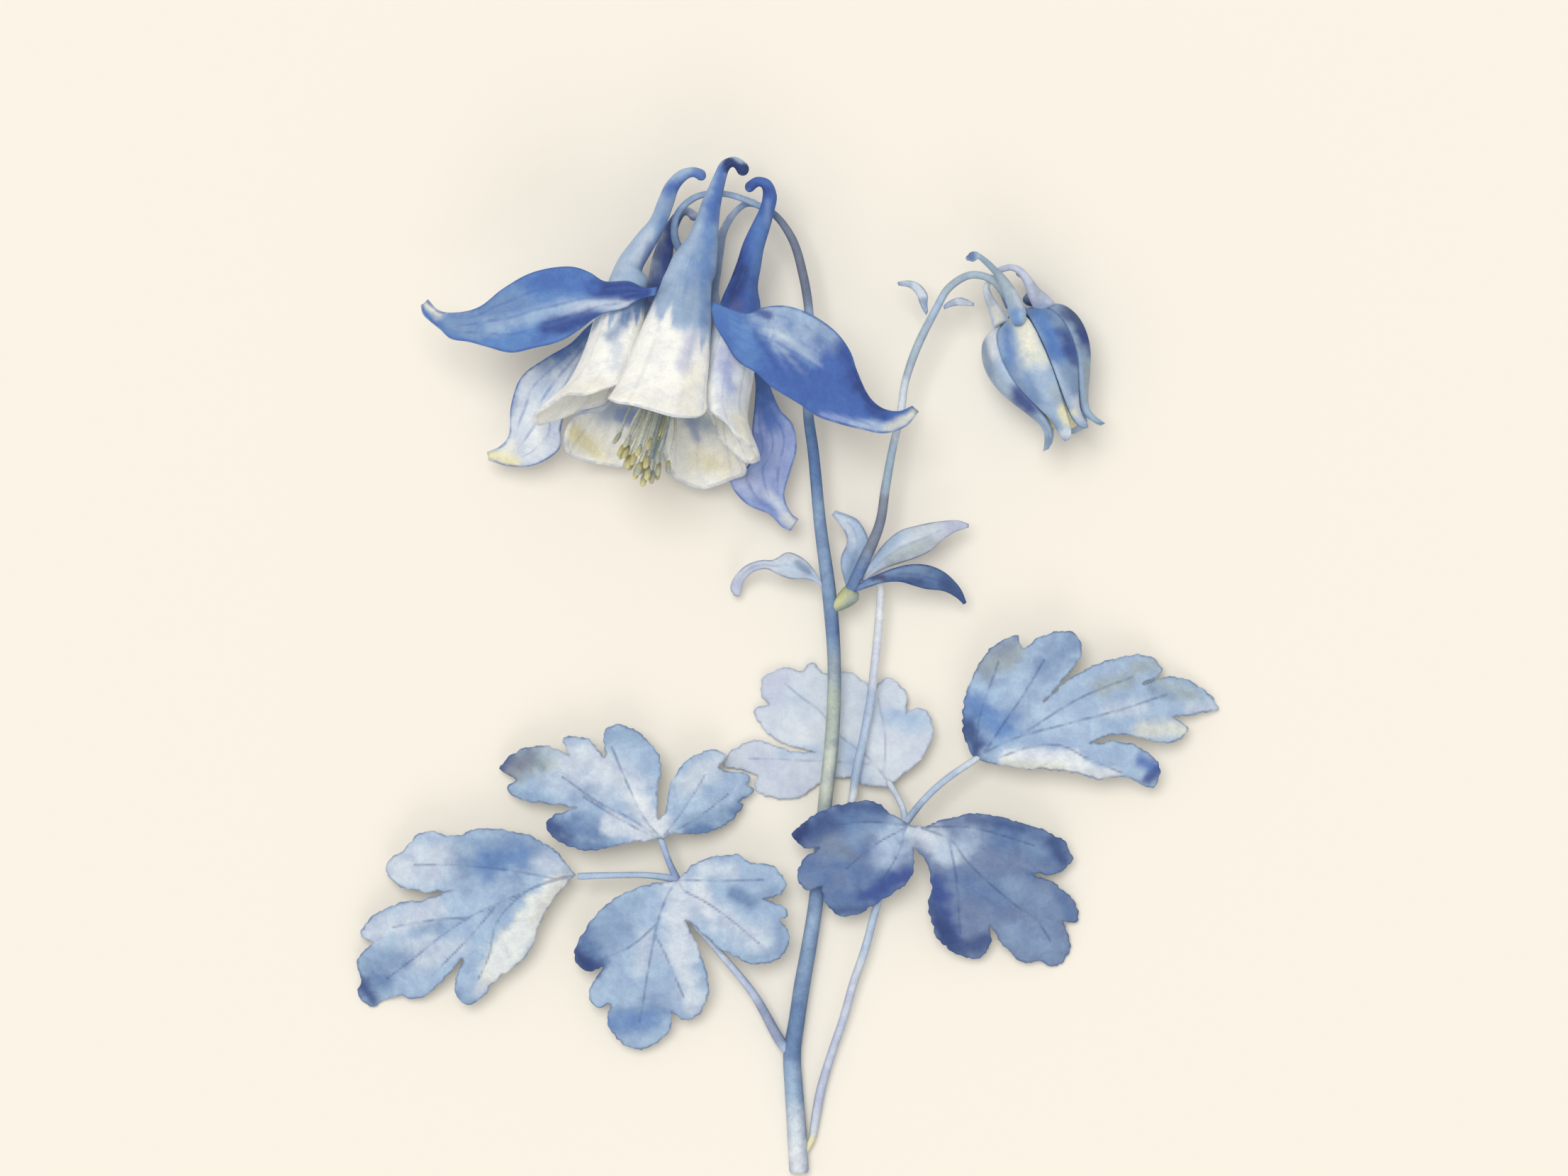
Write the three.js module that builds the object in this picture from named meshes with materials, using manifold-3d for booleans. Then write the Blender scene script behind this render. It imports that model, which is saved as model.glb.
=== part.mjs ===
// A cut sprig of columbine, lying on a surface: a nodding flower, a bud, bracts and two three-part
// leaves on one stem. Millimetres, +Z up. The resting plane is z = 0, +Y runs from the cut end of
// the stem to the flower, and the origin is under the middle of the sprig.
import * as THREE from 'three';
import { mergeVertices } from 'three/addons/utils/BufferGeometryUtils.js';
import Module from 'manifold-3d';

const wasm = await Module();
wasm.setup();

// ---------------------------------------------------------------- driving dimensions
const CLEARANCE = 0.3;          // gap left between a piece and the one that carries it
const LEAF_THICKNESS = 0.8;     // upright thickness of a leaflet's blade
const SEPAL_THICKNESS = 0.7;
const PETAL_WALL = 0.75;
const GRID_STEP = 4.2;          // cell of the waved plate that a leaflet is cut from
const OUTLINE_STEP = 1.7;       // spacing of the points along a leaflet's edge
const STALK_SIDES = 8;
const STEM_SIDES = 10;

// ---------------------------------------------------------------- finishes
const COLOURS = {
  stem: 0x6d8db5, sheath: 0xb6bf94, pale_stalk: 0xb9bfd9, leaf: 0x7f9cc6, dark_leaf: 0x46619f,
  pale_leaf: 0xc3cbe0, bract: 0xb4c5dc, dark_bract: 0x3d5a9b, petal: 0x7fa3d6, petal_dark: 0x33499c,
  sepal: 0x5d7ac0, stamen: 0xc9bd6c, pistil: 0xc7c99a,
};
const group = new THREE.Group();

/** Puts one named mesh with its own material into the sprig. */
function addPiece(name, geometry, colour, roughness = 0.75) {
  const material = new THREE.MeshStandardMaterial({ color: colour, roughness, metalness: 0 });
  const mesh = new THREE.Mesh(geometry, material);
  mesh.name = name;
  group.add(mesh);
}

// ---------------------------------------------------------------- curves
/** A smooth run of numbers: values spread evenly from 0 to 1, read at t. */
function blend(values, t) {
  const place = THREE.MathUtils.clamp(t, 0, 1) * (values.length - 1);
  const index = Math.min(Math.floor(place), values.length - 2);
  const at = (i) => values[THREE.MathUtils.clamp(i, 0, values.length - 1)];
  const f = place - index;
  const slopeIn = (at(index + 1) - at(index - 1)) / 2;
  const slopeOut = (at(index + 2) - at(index)) / 2;
  return at(index) * (2 * f ** 3 - 3 * f ** 2 + 1) + slopeIn * (f ** 3 - 2 * f ** 2 + f)
    + at(index + 1) * (3 * f ** 2 - 2 * f ** 3) + slopeOut * (f ** 3 - f ** 2);
}

/** A smooth curve through [x, y] or [x, y, z] points. */
function curveThrough(points) {
  const vectors = points.map(([x, y, z = 0]) => new THREE.Vector3(x, y, z));
  return new THREE.CatmullRomCurve3(vectors, false, 'centripetal');
}

/** An edge that is smooth between its sharp points (third entry 1), closed on its first point. */
function roundedOutline(points, spacing) {
  const outline = [];
  let stretch = [points[0]];
  const flush = () => {
    if (stretch.length > 1) {
      const curve = curveThrough(stretch.map(([x, y]) => [x, y]));
      const steps = Math.max(1, Math.round(curve.getLength() / spacing));
      curve.getSpacedPoints(steps).slice(0, -1).forEach((p) => outline.push(new THREE.Vector2(p.x, p.y)));
    }
  };
  points.slice(1).forEach((point) => {
    stretch.push(point);
    if (point[2]) {
      flush();
      stretch = [point];
    }
  });
  stretch.push(points[0]);
  flush();
  return outline;
}

// ---------------------------------------------------------------- solids
/** One closed mesh from rings of equal length, capped at both ends. */
function loft(rings) {
  const sides = rings[0].length;
  const positions = rings.flat().flatMap((p) => [p.x, p.y, p.z]);
  const indices = [];
  const addCap = (ring, base, flip) => {
    const centre = ring.reduce((sum, p) => sum.add(p), new THREE.Vector3()).divideScalar(sides);
    const hub = positions.length / 3;
    positions.push(centre.x, centre.y, centre.z);
    for (let i = 0; i < sides; i += 1) {
      const a = base + i;
      const b = base + ((i + 1) % sides);
      indices.push(...(flip ? [hub, b, a] : [hub, a, b]));
    }
  };
  for (let r = 0; r + 1 < rings.length; r += 1) {
    for (let i = 0; i < sides; i += 1) {
      const a = r * sides + i;
      const b = r * sides + ((i + 1) % sides);
      indices.push(a, b, b + sides, a, b + sides, a + sides);
    }
  }
  addCap(rings[0], 0, true);
  addCap(rings[rings.length - 1], (rings.length - 1) * sides, false);
  const geometry = new THREE.BufferGeometry();
  geometry.setAttribute('position', new THREE.Float32BufferAttribute(positions, 3));
  geometry.setIndex(indices);
  return outward(geometry);
}

/** Turns a closed mesh so that its faces point out. */
function outward(geometry) {
  const position = geometry.attributes.position;
  const index = geometry.index.array;
  const [a, b, c] = [new THREE.Vector3(), new THREE.Vector3(), new THREE.Vector3()];
  let volume = 0;
  for (let i = 0; i < index.length; i += 3) {
    a.fromBufferAttribute(position, index[i]);
    b.fromBufferAttribute(position, index[i + 1]);
    c.fromBufferAttribute(position, index[i + 2]);
    volume += a.dot(b.cross(c));
  }
  if (volume < 0) {
    for (let i = 0; i < index.length; i += 3) {
      [index[i + 1], index[i + 2]] = [index[i + 2], index[i + 1]];
    }
  }
  return geometry;
}

/** A round stalk along [x, y, z, width] stations, tapered as they say. */
function stalk(stations, spacing, sides = STALK_SIDES) {
  const curve = curveThrough(stations);
  const steps = Math.max(2, Math.round(curve.getLength() / spacing));
  const widths = stations.map((station) => station[3]);
  const frames = curve.computeFrenetFrames(steps, false);
  const rings = [];
  for (let s = 0; s <= steps; s += 1) {
    const t = curve.getUtoTmapping(s / steps);
    const centre = curve.getPoint(t);
    const radius = blend(widths, t) / 2;
    rings.push(Array.from({ length: sides }, (_, i) => {
      const angle = (i / sides) * Math.PI * 2;
      return centre.clone()
        .addScaledVector(frames.normals[s], Math.cos(angle) * radius)
        .addScaledVector(frames.binormals[s], Math.sin(angle) * radius);
    }));
  }
  return loft(rings);
}

/**
 * A narrow blade between two edges, each given from base to tip. At a place s along it and c
 * across it, from -1 to 1, its middle height and cup are smooth runs of numbers. Where the blade
 * is too narrow for its droop, the droop is eased, so that the underside doesn't cross itself.
 */
function ribbon({ left, right, spine, cup, steps = 12, across = 4 }) {
  const [leftCurve, rightCurve] = [curveThrough(left), curveThrough(right)];
  const place = (s, c) => {
    const point = leftCurve.getPointAt(s);
    const edge = rightCurve.getPointAt(s);
    const deepest = point.distanceToSquared(edge) / (12 * SEPAL_THICKNESS);
    point.lerp(edge, (c + 1) / 2);
    point.z = blend(spine, s) + Math.max(blend(cup, s), -deepest) * c * c;
    return point;
  };
  const nudge = 0.01;
  const rings = [];
  for (let i = 0; i <= steps; i += 1) {
    const s = i / steps;
    const top = [];
    const bottom = [];
    for (let j = 0; j <= across; j += 1) {
      const c = (j / across) * 2 - 1;
      const point = place(s, c);
      const lengthwise = place(Math.min(s + nudge, 1), c).sub(place(Math.max(s - nudge, 0), c));
      const crosswise = place(s, Math.min(c + nudge, 1)).sub(place(s, Math.max(c - nudge, -1)));
      const normal = lengthwise.cross(crosswise).normalize();
      normal.multiplyScalar(Math.sign(normal.z) || 1);
      top.push(point);
      bottom.unshift(point.clone().addScaledVector(normal, -SEPAL_THICKNESS));
    }
    rings.push([...top, ...bottom]);
  }
  return loft(rings);
}

/** A closed mesh as a solid that can be joined or cut. */
function toSolid(geometry) {
  const bare = geometry.clone();
  bare.deleteAttribute('normal');
  bare.deleteAttribute('uv');
  const merged = mergeVertices(bare, 1e-4);
  return new wasm.Manifold(new wasm.Mesh({
    numProp: 3,
    vertProperties: new Float32Array(merged.attributes.position.array),
    triVerts: new Uint32Array(merged.index.array),
  }));
}

/** A joined or cut solid as a mesh's geometry. */
function toGeometry(solid) {
  const mesh = solid.getMesh();
  const geometry = new THREE.BufferGeometry();
  geometry.setAttribute('position', new THREE.BufferAttribute(mesh.vertProperties, 3));
  geometry.setIndex(new THREE.BufferAttribute(mesh.triVerts, 1));
  return geometry;
}

/** Closed meshes that grow into each other, joined in one. */
function fuse(geometries) {
  return toGeometry(geometries.map(toSolid).reduce((whole, solid) => whole.add(solid)));
}

/** A leaflet: a plate that follows heightAt(x, y), cut to its outline. */
function leaflet(outlinePoints, heightAt) {
  const outline = roundedOutline(outlinePoints, OUTLINE_STEP);
  const box = new THREE.Box2().setFromPoints(outline).expandByScalar(GRID_STEP);
  const size = box.getSize(new THREE.Vector2());
  const columns = Math.ceil(size.x / GRID_STEP);
  const rows = Math.ceil(size.y / GRID_STEP);
  const plate = new THREE.BoxGeometry(size.x, size.y, LEAF_THICKNESS, columns, rows, 1);
  const middle = box.getCenter(new THREE.Vector2());
  plate.translate(middle.x, middle.y, -LEAF_THICKNESS / 2);
  const position = plate.attributes.position;
  for (let i = 0; i < position.count; i += 1) {
    const height = heightAt(position.getX(i), position.getY(i));
    position.setZ(i, position.getZ(i) + height);
  }
  const reach = 60;
  const cutter = new THREE.ExtrudeGeometry(new THREE.Shape(outline), { depth: reach, bevelEnabled: false });
  cutter.translate(0, 0, -reach / 2);
  return toGeometry(toSolid(plate).intersect(toSolid(cutter)));
}

/**
 * How high a leaflet lies: a midline that arches from base to tip, sides that droop (cup below
 * zero) or lift, shallow waves that run out from the base, and margins bent down along a fold.
 */
function leafHeight({ base, tip, rise, cup, ruffle = 0.5, waves = 6, folds = [] }) {
  const run = new THREE.Vector2(tip[0] - base[0], tip[1] - base[1]);
  const length = run.length();
  run.normalize();
  return (x, y) => {
    const [dx, dy] = [x - base[0], y - base[1]];
    const s = (dx * run.x + dy * run.y) / length;
    const c = (dx * run.y - dy * run.x) / length;
    const outward = Math.hypot(s, c);
    let height = base[2] + (tip[2] - base[2]) * s + rise * 4 * s * (1 - s) + cup * 4 * c * c
      + ruffle * outward * outward * Math.sin(Math.atan2(c, s) * waves);
    folds.forEach(({ from, to, slope }) => {
      const [fx, fy] = [to[0] - from[0], to[1] - from[1]];
      const beyond = ((x - from[0]) * fy - (y - from[1]) * fx) / Math.hypot(fx, fy);
      height -= Math.max(0, beyond) * slope;
    });
    return Math.max(height, LEAF_THICKNESS);
  };
}

// ---------------------------------------------------------------- flower frame
// The flower nods: its axis leaves the receptacle towards -Y and a little towards -X, and its
// mouth is turned up from the surface that the sprig lies on.
const RECEPTACLE = new THREE.Vector3(-14.5, 52.5, 8);
const NOD_LEFT = THREE.MathUtils.degToRad(11);
const NOD_UP = THREE.MathUtils.degToRad(22);
const AXIS = new THREE.Vector3(
  -Math.sin(NOD_LEFT) * Math.cos(NOD_UP), -Math.cos(NOD_LEFT) * Math.cos(NOD_UP), Math.sin(NOD_UP));
const FRONT = new THREE.Vector3(
  Math.sin(NOD_LEFT) * Math.sin(NOD_UP), Math.cos(NOD_LEFT) * Math.sin(NOD_UP), Math.cos(NOD_UP));
const SIDE = new THREE.Vector3().crossVectors(FRONT, AXIS);

/** A point of the flower: down its axis, away from it, and round it from the front (degrees). */
function flowerPoint(down, radius, degrees) {
  const angle = THREE.MathUtils.degToRad(degrees);
  return RECEPTACLE.clone()
    .addScaledVector(AXIS, down)
    .addScaledVector(FRONT, radius * Math.cos(angle))
    .addScaledVector(SIDE, radius * Math.sin(angle));
}

/** A stalk station on the flower's axis. */
const axisStation = (down, width) => [...flowerPoint(down, 0, 0).toArray(), width];

// ---------------------------------------------------------------- stems and stalks
const MAIN_STEM = [
  [1.45, -71.9, 1.4, 2.8], [1.05, -65, 1.45, 2.7], [0.7, -60, 1.5, 2.6], [0.45, -55, 1.7, 2.5],
  [1.15, -50, 2.0, 2.3], [1.9, -45, 2.2, 2.3], [2.8, -40, 2.4, 2.2], [3.6, -35, 2.6, 2.1],
  [4.1, -31, 2.8, 2.1], [5.05, -20, 3.1, 2.0], [6.1, -10, 3.5, 2.0], [6.4, 0, 4.3, 1.9],
  [5.7, 10, 5.0, 2.0], [4.4, 20, 5.5, 1.75], [3.45, 30, 6.0, 1.6], [2.7, 36, 6.3, 1.5],
  [3.0, 43, 6.6, 1.4], [2.8, 50, 7.0, 1.3], [2.0, 55, 7.4, 1.3], [0.5, 60, 7.8, 1.2],
  [-2.0, 63.5, 8.2, 1.0], [-4.5, 64.9, 8.5, 0.95], [-9.0, 66.4, 9.0, 0.9], [-13.0, 66.0, 9.1, 0.95],
  [-15.6, 63.7, 9.0, 1.0], [-16.1, 60.5, 8.4, 1.1],
  axisStation(-3.2, 1.5), axisStation(-1.4, 3.2), axisStation(0, 4.3), axisStation(1.6, 4.0),
];
const BUD_STEM = [
  [8.6, 11.2, 6.3, 1.3], [10.7, 15, 6.4, 1.7], [12.8, 20, 6.4, 1.4], [13.6, 25, 6.4, 1.3],
  [14.5, 30, 6.5, 1.15], [15.8, 36, 6.6, 1.1], [16.4, 40, 6.8, 1.1], [18.1, 45, 7.2, 1.2],
  [20.6, 50, 7.8, 1.1], [22.5, 53.2, 8.4, 1.1], [25.6, 55.0, 9.1, 1.1], [28.4, 54.4, 9.3, 1.1],
  [30.2, 52.6, 8.6, 1.2], [31.5, 51.0, 7.8, 1.6], [32.36, 49.8, 7.4, 2.6], [32.8, 48.8, 7.4, 2.2],
];
const BACK_STALK = [
  [12.9, 11.2, 4.3, 0.9], [12.6, 5, 3.9, 1.2], [12.1, 0, 3.5, 1.2], [11.5, -5, 3.1, 1.2],
  [10.6, -10, 2.9, 1.2], [9.5, -15, 2.9, 1.2], [8.9, -19, 3.0, 1.1], [7.4, -23.5, 3.0, 0.9],
  [6.1, -26.0, 3.0, 0.8],
];
const SHEATH = [
  [7.4, 8.7, 4.7, 1.1], [8.0, 9.0, 4.7, 2.0], [8.7, 9.5, 4.8, 2.4], [9.3, 10.3, 5.0, 2.1],
  [9.6, 10.9, 5.1, 1.5],
];
const LEFT_STALK = [
  [-1.35, -53.0, 1.9, 1.5], [-5.0, -46.5, 3.0, 1.2], [-10.0, -40.3, 4.2, 1.0], [-14.3, -35.0, 4.9, 1.0],
  [-15.7, -30.2, 5.1, 1.2],
];
const LEFT_TO_TOP = [[-15.7, -30.4, 5.1, 1.1], [-16.9, -27.8, 5.1, 0.9], [-17.8, -25.3, 5.0, 0.9]];
const LEFT_TO_OUTER = [
  [-15.5, -30.2, 5.1, 1.1], [-20.0, -29.6, 5.1, 0.9], [-25.0, -29.6, 5.0, 0.9], [-29.85, -29.75, 5.2, 1.0],
];
const RIGHT_STALK = [
  [3.3, -67.4, 1.0, 0.9], [3.8, -64, 1.1, 1.3], [4.55, -60, 1.3, 1.3], [6.0, -55, 1.7, 1.2],
  [7.7, -50, 2.1, 1.2], [9.1, -45, 2.5, 1.2], [10.8, -40, 2.8, 1.2], [12.4, -34, 3.3, 1.1],
  [14.5, -27.5, 4.6, 1.1], [16.4, -22.3, 5.6, 1.2],
];
const RIGHT_TO_BACK = [[16.4, -22.6, 5.6, 1.1], [16.2, -20.6, 5.0, 0.9], [15.2, -18.3, 3.9, 0.9],
  [14.75, -17.6, 3.5, 0.9]];
const RIGHT_TO_OUTER = [
  [16.2, -22.5, 5.6, 1.1], [19, -19, 5.6, 1.0], [22, -16.2, 5.4, 1.0], [25.9, -13.5, 5.3, 1.0],
];

const STEM_STEP = 4.4;
addPiece('main_stem', stalk(MAIN_STEM, STEM_STEP, STEM_SIDES), COLOURS.stem);
addPiece('bud_stem', stalk(BUD_STEM, STEM_STEP), COLOURS.pale_stalk);
addPiece('branch_sheath', stalk(SHEATH, 0.8), COLOURS.sheath);
addPiece('back_stalk', stalk(BACK_STALK, STEM_STEP), COLOURS.pale_stalk);
addPiece('left_leaf_stalk', fuse([
  stalk(LEFT_STALK, STEM_STEP), stalk(LEFT_TO_TOP, 2), stalk(LEFT_TO_OUTER, STEM_STEP)]), COLOURS.pale_stalk);
addPiece('right_leaf_stalk', fuse([
  stalk(RIGHT_STALK, STEM_STEP), stalk(RIGHT_TO_BACK, 2), stalk(RIGHT_TO_OUTER, STEM_STEP)]),
COLOURS.pale_stalk);

// ---------------------------------------------------------------- leaves
// Each outline starts at the leaflet's base; a third entry of 1 marks a notch or a sharp point.
const LEAFLETS = [
  {
    name: 'left_leaflet_top', colour: COLOURS.leaf,
    shape: { base: [-18.2, -24.3, 5.8], tip: [-38, -14, 3.2], rise: 1.6, cup: -1.2, ruffle: 0.6, waves: 7 },
    outline: [
      [-18.1, -24.5], [-16.3, -23.85], [-13.0, -23.75], [-9.8, -23.05], [-7.3, -21.0], [-6.5, -19.8],
      [-7.15, -19.35, 1], [-5.65, -18.5], [-4.85, -17.5], [-6.0, -16.75, 1], [-5.3, -15.9],
      [-6.3, -15.2], [-8.65, -14.95], [-9.8, -14.4, 1], [-9.0, -12.8], [-10.3, -11.8], [-13.3, -12.7],
      [-15.1, -14.1], [-16.9, -17.0], [-17.4, -20.2], [-18.5, -21.7, 1], [-18.6, -17.3],
      [-18.1, -14.9], [-18.4, -12.6], [-20.9, -9.7], [-24.0, -8.3], [-26.0, -9.2], [-26.0, -13.1, 1],
      [-28.6, -10.3], [-31.9, -10.3], [-31.1, -12.6, 1], [-34.8, -11.3], [-39.0, -12.5],
      [-40.9, -14.7], [-38.4, -16.15, 1], [-39.8, -17.2], [-38.5, -18.8], [-34.6, -19.5],
      [-30.0, -20.0, 1], [-33.9, -21.7], [-34.2, -23.2], [-31.6, -25.25], [-28.1, -26.1],
      [-23.5, -25.25], [-19.8, -24.6],
    ],
  },
  {
    name: 'left_leaflet_outer', colour: COLOURS.leaf,
    shape: {
      base: [-30.3, -29.6, 5.6], tip: [-59, -46, 1.0], rise: 2.2, cup: -1.3, ruffle: 0.8, waves: 8,
      folds: [{ from: [-43.9, -44.4], to: [-33.5, -30.2], slope: 0.5 }],
    },
    outline: [
      [-30.2, -29.6], [-33.4, -25.7], [-37.6, -23.7], [-43.7, -23.0], [-47.5, -24.05],
      [-51.5, -23.4], [-54.9, -26.3], [-57.1, -28.2], [-55.9, -30.6], [-51.9, -31.95],
      [-47.4, -31.7, 1], [-51.3, -32.95], [-54.9, -33.5], [-59.7, -36.2], [-60.6, -38.3],
      [-58.7, -39.2, 1], [-61.2, -41.8], [-60.5, -44.5, 1], [-61.0, -46.8], [-58.9, -48.4],
      [-57.9, -47.7], [-54.9, -46.6, 1], [-53.9, -47.2], [-51.7, -46.8], [-49.5, -45.0],
      [-46.1, -41.4, 1], [-47.3, -45.9], [-45.4, -48.1], [-43.7, -47.2], [-41.0, -44.1],
      [-38.3, -42.3], [-36.5, -40.1], [-35.2, -36.6], [-33.8, -33.8],
    ],
  },
  {
    name: 'left_leaflet_front', colour: COLOURS.leaf,
    shape: { base: [-15.6, -30.1, 6.8], tip: [-17.5, -54, 2.2], rise: 1.4, cup: -0.9, ruffle: 0.7, waves: 6 },
    outline: [
      [-15.6, -30.0], [-14.2, -28.6], [-12.1, -27.3], [-7.5, -26.65], [-5.2, -27.7], [-1.9, -28.5],
      [-0.4, -31.3], [-1.8, -32.6], [-3.7, -32.9, 1], [-0.8, -34.1], [-0.1, -35.5], [-1.4, -35.9, 1],
      [0.1, -38.0], [-0.3, -40.2], [-2.1, -41.8], [-5.1, -42.1], [-10.0, -39.8], [-12.5, -37.5],
      [-14.7, -35.9, 1], [-12.5, -40.5], [-11.3, -45.5], [-12.2, -48.6], [-14.3, -50.3],
      [-16.5, -49.1, 1], [-16.7, -51.3], [-18.6, -53.3], [-21.1, -54.4], [-23.8, -53.2],
      [-25.7, -50.4], [-25.35, -47.9, 1], [-27.4, -48.2], [-28.4, -46.6], [-26.2, -42.5, 1],
      [-28.8, -43.2], [-30.4, -40.8], [-28.8, -37.4], [-24.9, -33.0], [-19.8, -30.9], [-16.8, -30.4],
    ],
  },
  {
    name: 'right_leaflet_front', colour: COLOURS.dark_leaf,
    shape: { base: [17.0, -22.4, 7.6], tip: [20.5, -46, 1.6], rise: 0.9, cup: -0.9, ruffle: 0.6, waves: 7 },
    outline: [
      [17.0, -22.3], [15.4, -21.5], [12.2, -19.2], [8.0, -19.35], [3.0, -21.45], [0.5, -23.9],
      [1.8, -25.6], [4.4, -25.7, 1], [2.0, -27.4], [1.2, -29.7], [2.5, -31.8], [4.7, -31.1, 1],
      [5.2, -33.8], [8.1, -35.45], [13.2, -33.1], [17.2, -30.0], [17.6, -25.7, 1], [19.5, -27.9],
      [20.1, -31.5], [19.7, -34.0], [21.1, -38.75], [24.0, -40.9], [27.0, -41.4], [28.6, -39.3],
      [28.35, -36.7, 1], [30.4, -39.7], [33.2, -42.1], [35.1, -41.9, 1], [37.9, -42.6],
      [39.9, -40.0], [38.8, -36.3, 1], [40.8, -36.2], [40.8, -34.2], [38.2, -31.2],
      [33.5, -29.2, 1], [37.4, -29.5], [40.0, -27.6], [38.5, -24.55], [32.4, -22.05],
      [26.3, -20.8], [21.5, -21.8], [18.8, -22.7],
    ],
  },
  {
    name: 'right_leaflet_back', colour: COLOURS.pale_leaf,
    shape: { base: [14.5, -17.0, 3.0], tip: [-4, -3, 1.0], rise: -1.4, cup: 0, ruffle: 0, waves: 1 },
    outline: [
      [14.6, -16.7], [16.1, -15.4], [18.9, -13.1], [20.4, -8.9], [19.4, -6.4], [17.8, -6.1],
      [16.6, -6.8, 1], [16.6, -3.9], [14.0, -1.8], [11.8, -3.4, 1], [8.8, -1.0], [5.2, -1.1],
      [3.0, 0.25], [1.9, -0.9, 1], [-0.7, -0.3], [-3.6, -1.9], [-3.9, -4.3], [-2.8, -5.5, 1],
      [-4.9, -6.3], [-4.1, -8.5], [-0.9, -11.0], [3.6, -12.3, 1], [-0.4, -11.9], [-4.1, -10.7],
      [-7.5, -11.6], [-9.3, -14.3], [-6.5, -14.9], [-4.65, -15.8], [-4.9, -17.4], [-2.4, -18.8],
      [1.6, -18.6], [5.5, -16.2], [8.8, -16.0], [10.8, -17.0], [13.6, -17.2],
    ],
  },
  {
    name: 'right_leaflet_outer', colour: COLOURS.leaf,
    shape: {
      base: [26.3, -12.9, 5.8], tip: [58, -4, 1.6], rise: 2.6, cup: -1.5, ruffle: 0.8, waves: 7,
      folds: [{ from: [29.5, -12.9], to: [47.5, -15.2], slope: 0.6 }],
    },
    outline: [
      [26.1, -13.1], [24.5, -9.3], [24.8, -4.6], [26.7, 0.1], [29.2, 2.9], [32.1, 4.2],
      [33.05, 2.4, 1], [36.3, 4.4], [40.2, 4.7], [41.3, 1.6], [38.4, -2.3], [35.9, -5.1, 1],
      [41.0, -0.95], [47.2, 1.3], [51.6, 1.1], [52.8, -0.9], [50.1, -2.6, 1], [54.3, -1.6],
      [58.1, -2.9], [60.9, -6.2], [58.1, -6.8], [54.4, -7.3, 1], [56.5, -9.05], [54.0, -11.0],
      [50.4, -10.4], [46.3, -9.6], [42.4, -10.9, 1], [48.2, -11.0], [52.4, -14.2], [51.5, -17.4],
      [48.0, -15.9], [43.2, -16.0], [40.0, -15.0], [32.9, -14.5], [28.2, -13.7],
    ],
  },
];
LEAFLETS.forEach(({ name, colour, shape, outline }) => {
  addPiece(name, leaflet(outline, leafHeight(shape)), colour);
});

// ---------------------------------------------------------------- bracts
const BRACTS = [
  {
    name: 'bract_left', colour: COLOURS.bract, spine: [5.4, 6.6, 6.2, 4.2, 2.0],
    cup: [-0.3, -1.0, -1.0, -0.6],
    left: [[4.0, 12.1], [3.4, 13.7], [1.9, 15.2], [-0.2, 16.0], [-2.2, 14.95], [-3.9, 14.9],
      [-6.0, 14.2], [-7.8, 12.4], [-8.3, 10.9], [-7.8, 9.9]],
    right: [[4.1, 11.5], [2.4, 12.2], [0.4, 12.2], [-1.4, 12.8], [-3.2, 13.6], [-5.0, 13.2],
      [-6.4, 11.8], [-6.75, 10.4], [-7.2, 9.7]],
  },
  {
    name: 'bract_upper', colour: COLOURS.bract, spine: [5.1, 4.9, 4.6, 4.8, 5.6], cup: [0, 0.3, 0.3, 0.2],
    left: [[8.0, 12.2], [7.4, 14.2], [7.5, 15.5], [8.3, 17.3], [8.0, 18.8], [7.0, 20.3], [6.2, 21.4]],
    right: [[8.9, 12.1], [10.6, 15.0], [11.2, 17.2], [10.6, 19.1], [9.6, 20.5], [8.05, 21.2], [6.5, 21.7]],
  },
  {
    name: 'bract_right_pale', colour: COLOURS.bract, spine: [5.6, 7.4, 8.0, 6.8, 4.4],
    cup: [0.2, -1.2, -1.2, -0.3],
    left: [[10.6, 13.0], [11.9, 15.2], [13.7, 17.5], [15.7, 19.05], [18.25, 19.8], [20.8, 20.3],
      [23.9, 20.5], [25.4, 20.0]],
    right: [[11.2, 12.9], [13.1, 13.5], [16.2, 14.6], [18.25, 15.3], [20.0, 16.2], [21.8, 17.8],
      [23.6, 18.9], [25.4, 19.5]],
  },
  {
    name: 'bract_right_dark', colour: COLOURS.dark_bract, spine: [6.3, 7.6, 8.2, 7.0, 3.6],
    cup: [-0.1, -1.4, -1.6, -0.6],
    left: [[9.7, 11.3], [10.9, 12.2], [12.4, 12.85], [14.9, 13.8], [17.2, 14.3], [19.5, 14.2],
      [21.6, 13.4], [23.1, 12.2], [24.4, 10.6], [25.1, 8.9]],
    right: [[9.7, 10.8], [11.1, 11.0], [13.4, 11.7], [15.7, 11.8], [17.5, 11.3], [19.3, 10.8],
      [21.8, 10.5], [23.6, 9.6], [24.7, 8.6]],
  },
  {
    name: 'bractlet_left', colour: COLOURS.bract, spine: [7.7, 8.3, 7.8, 6.8], cup: [0, -0.4, -0.3],
    steps: 7, across: 2,
    left: [[19.35, 49.4], [18.9, 50.0], [18.4, 51.1], [17.95, 52.3], [17.1, 53.2], [15.4, 53.6]],
    right: [[19.6, 49.9], [19.5, 50.9], [19.5, 52.3], [18.2, 53.9], [16.7, 54.3], [15.3, 54.1]],
  },
  {
    name: 'bractlet_right', colour: COLOURS.bract, spine: [7.9, 8.0, 7.4, 6.6], cup: [0, -0.3, -0.2],
    steps: 6, across: 2,
    left: [[21.75, 50.7], [22.6, 51.4], [24.1, 51.9], [25.4, 51.5], [26.1, 51.1]],
    right: [[21.85, 50.2], [22.4, 50.4], [23.5, 50.7], [25.1, 50.7], [26.1, 50.7]],
  },
];
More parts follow.
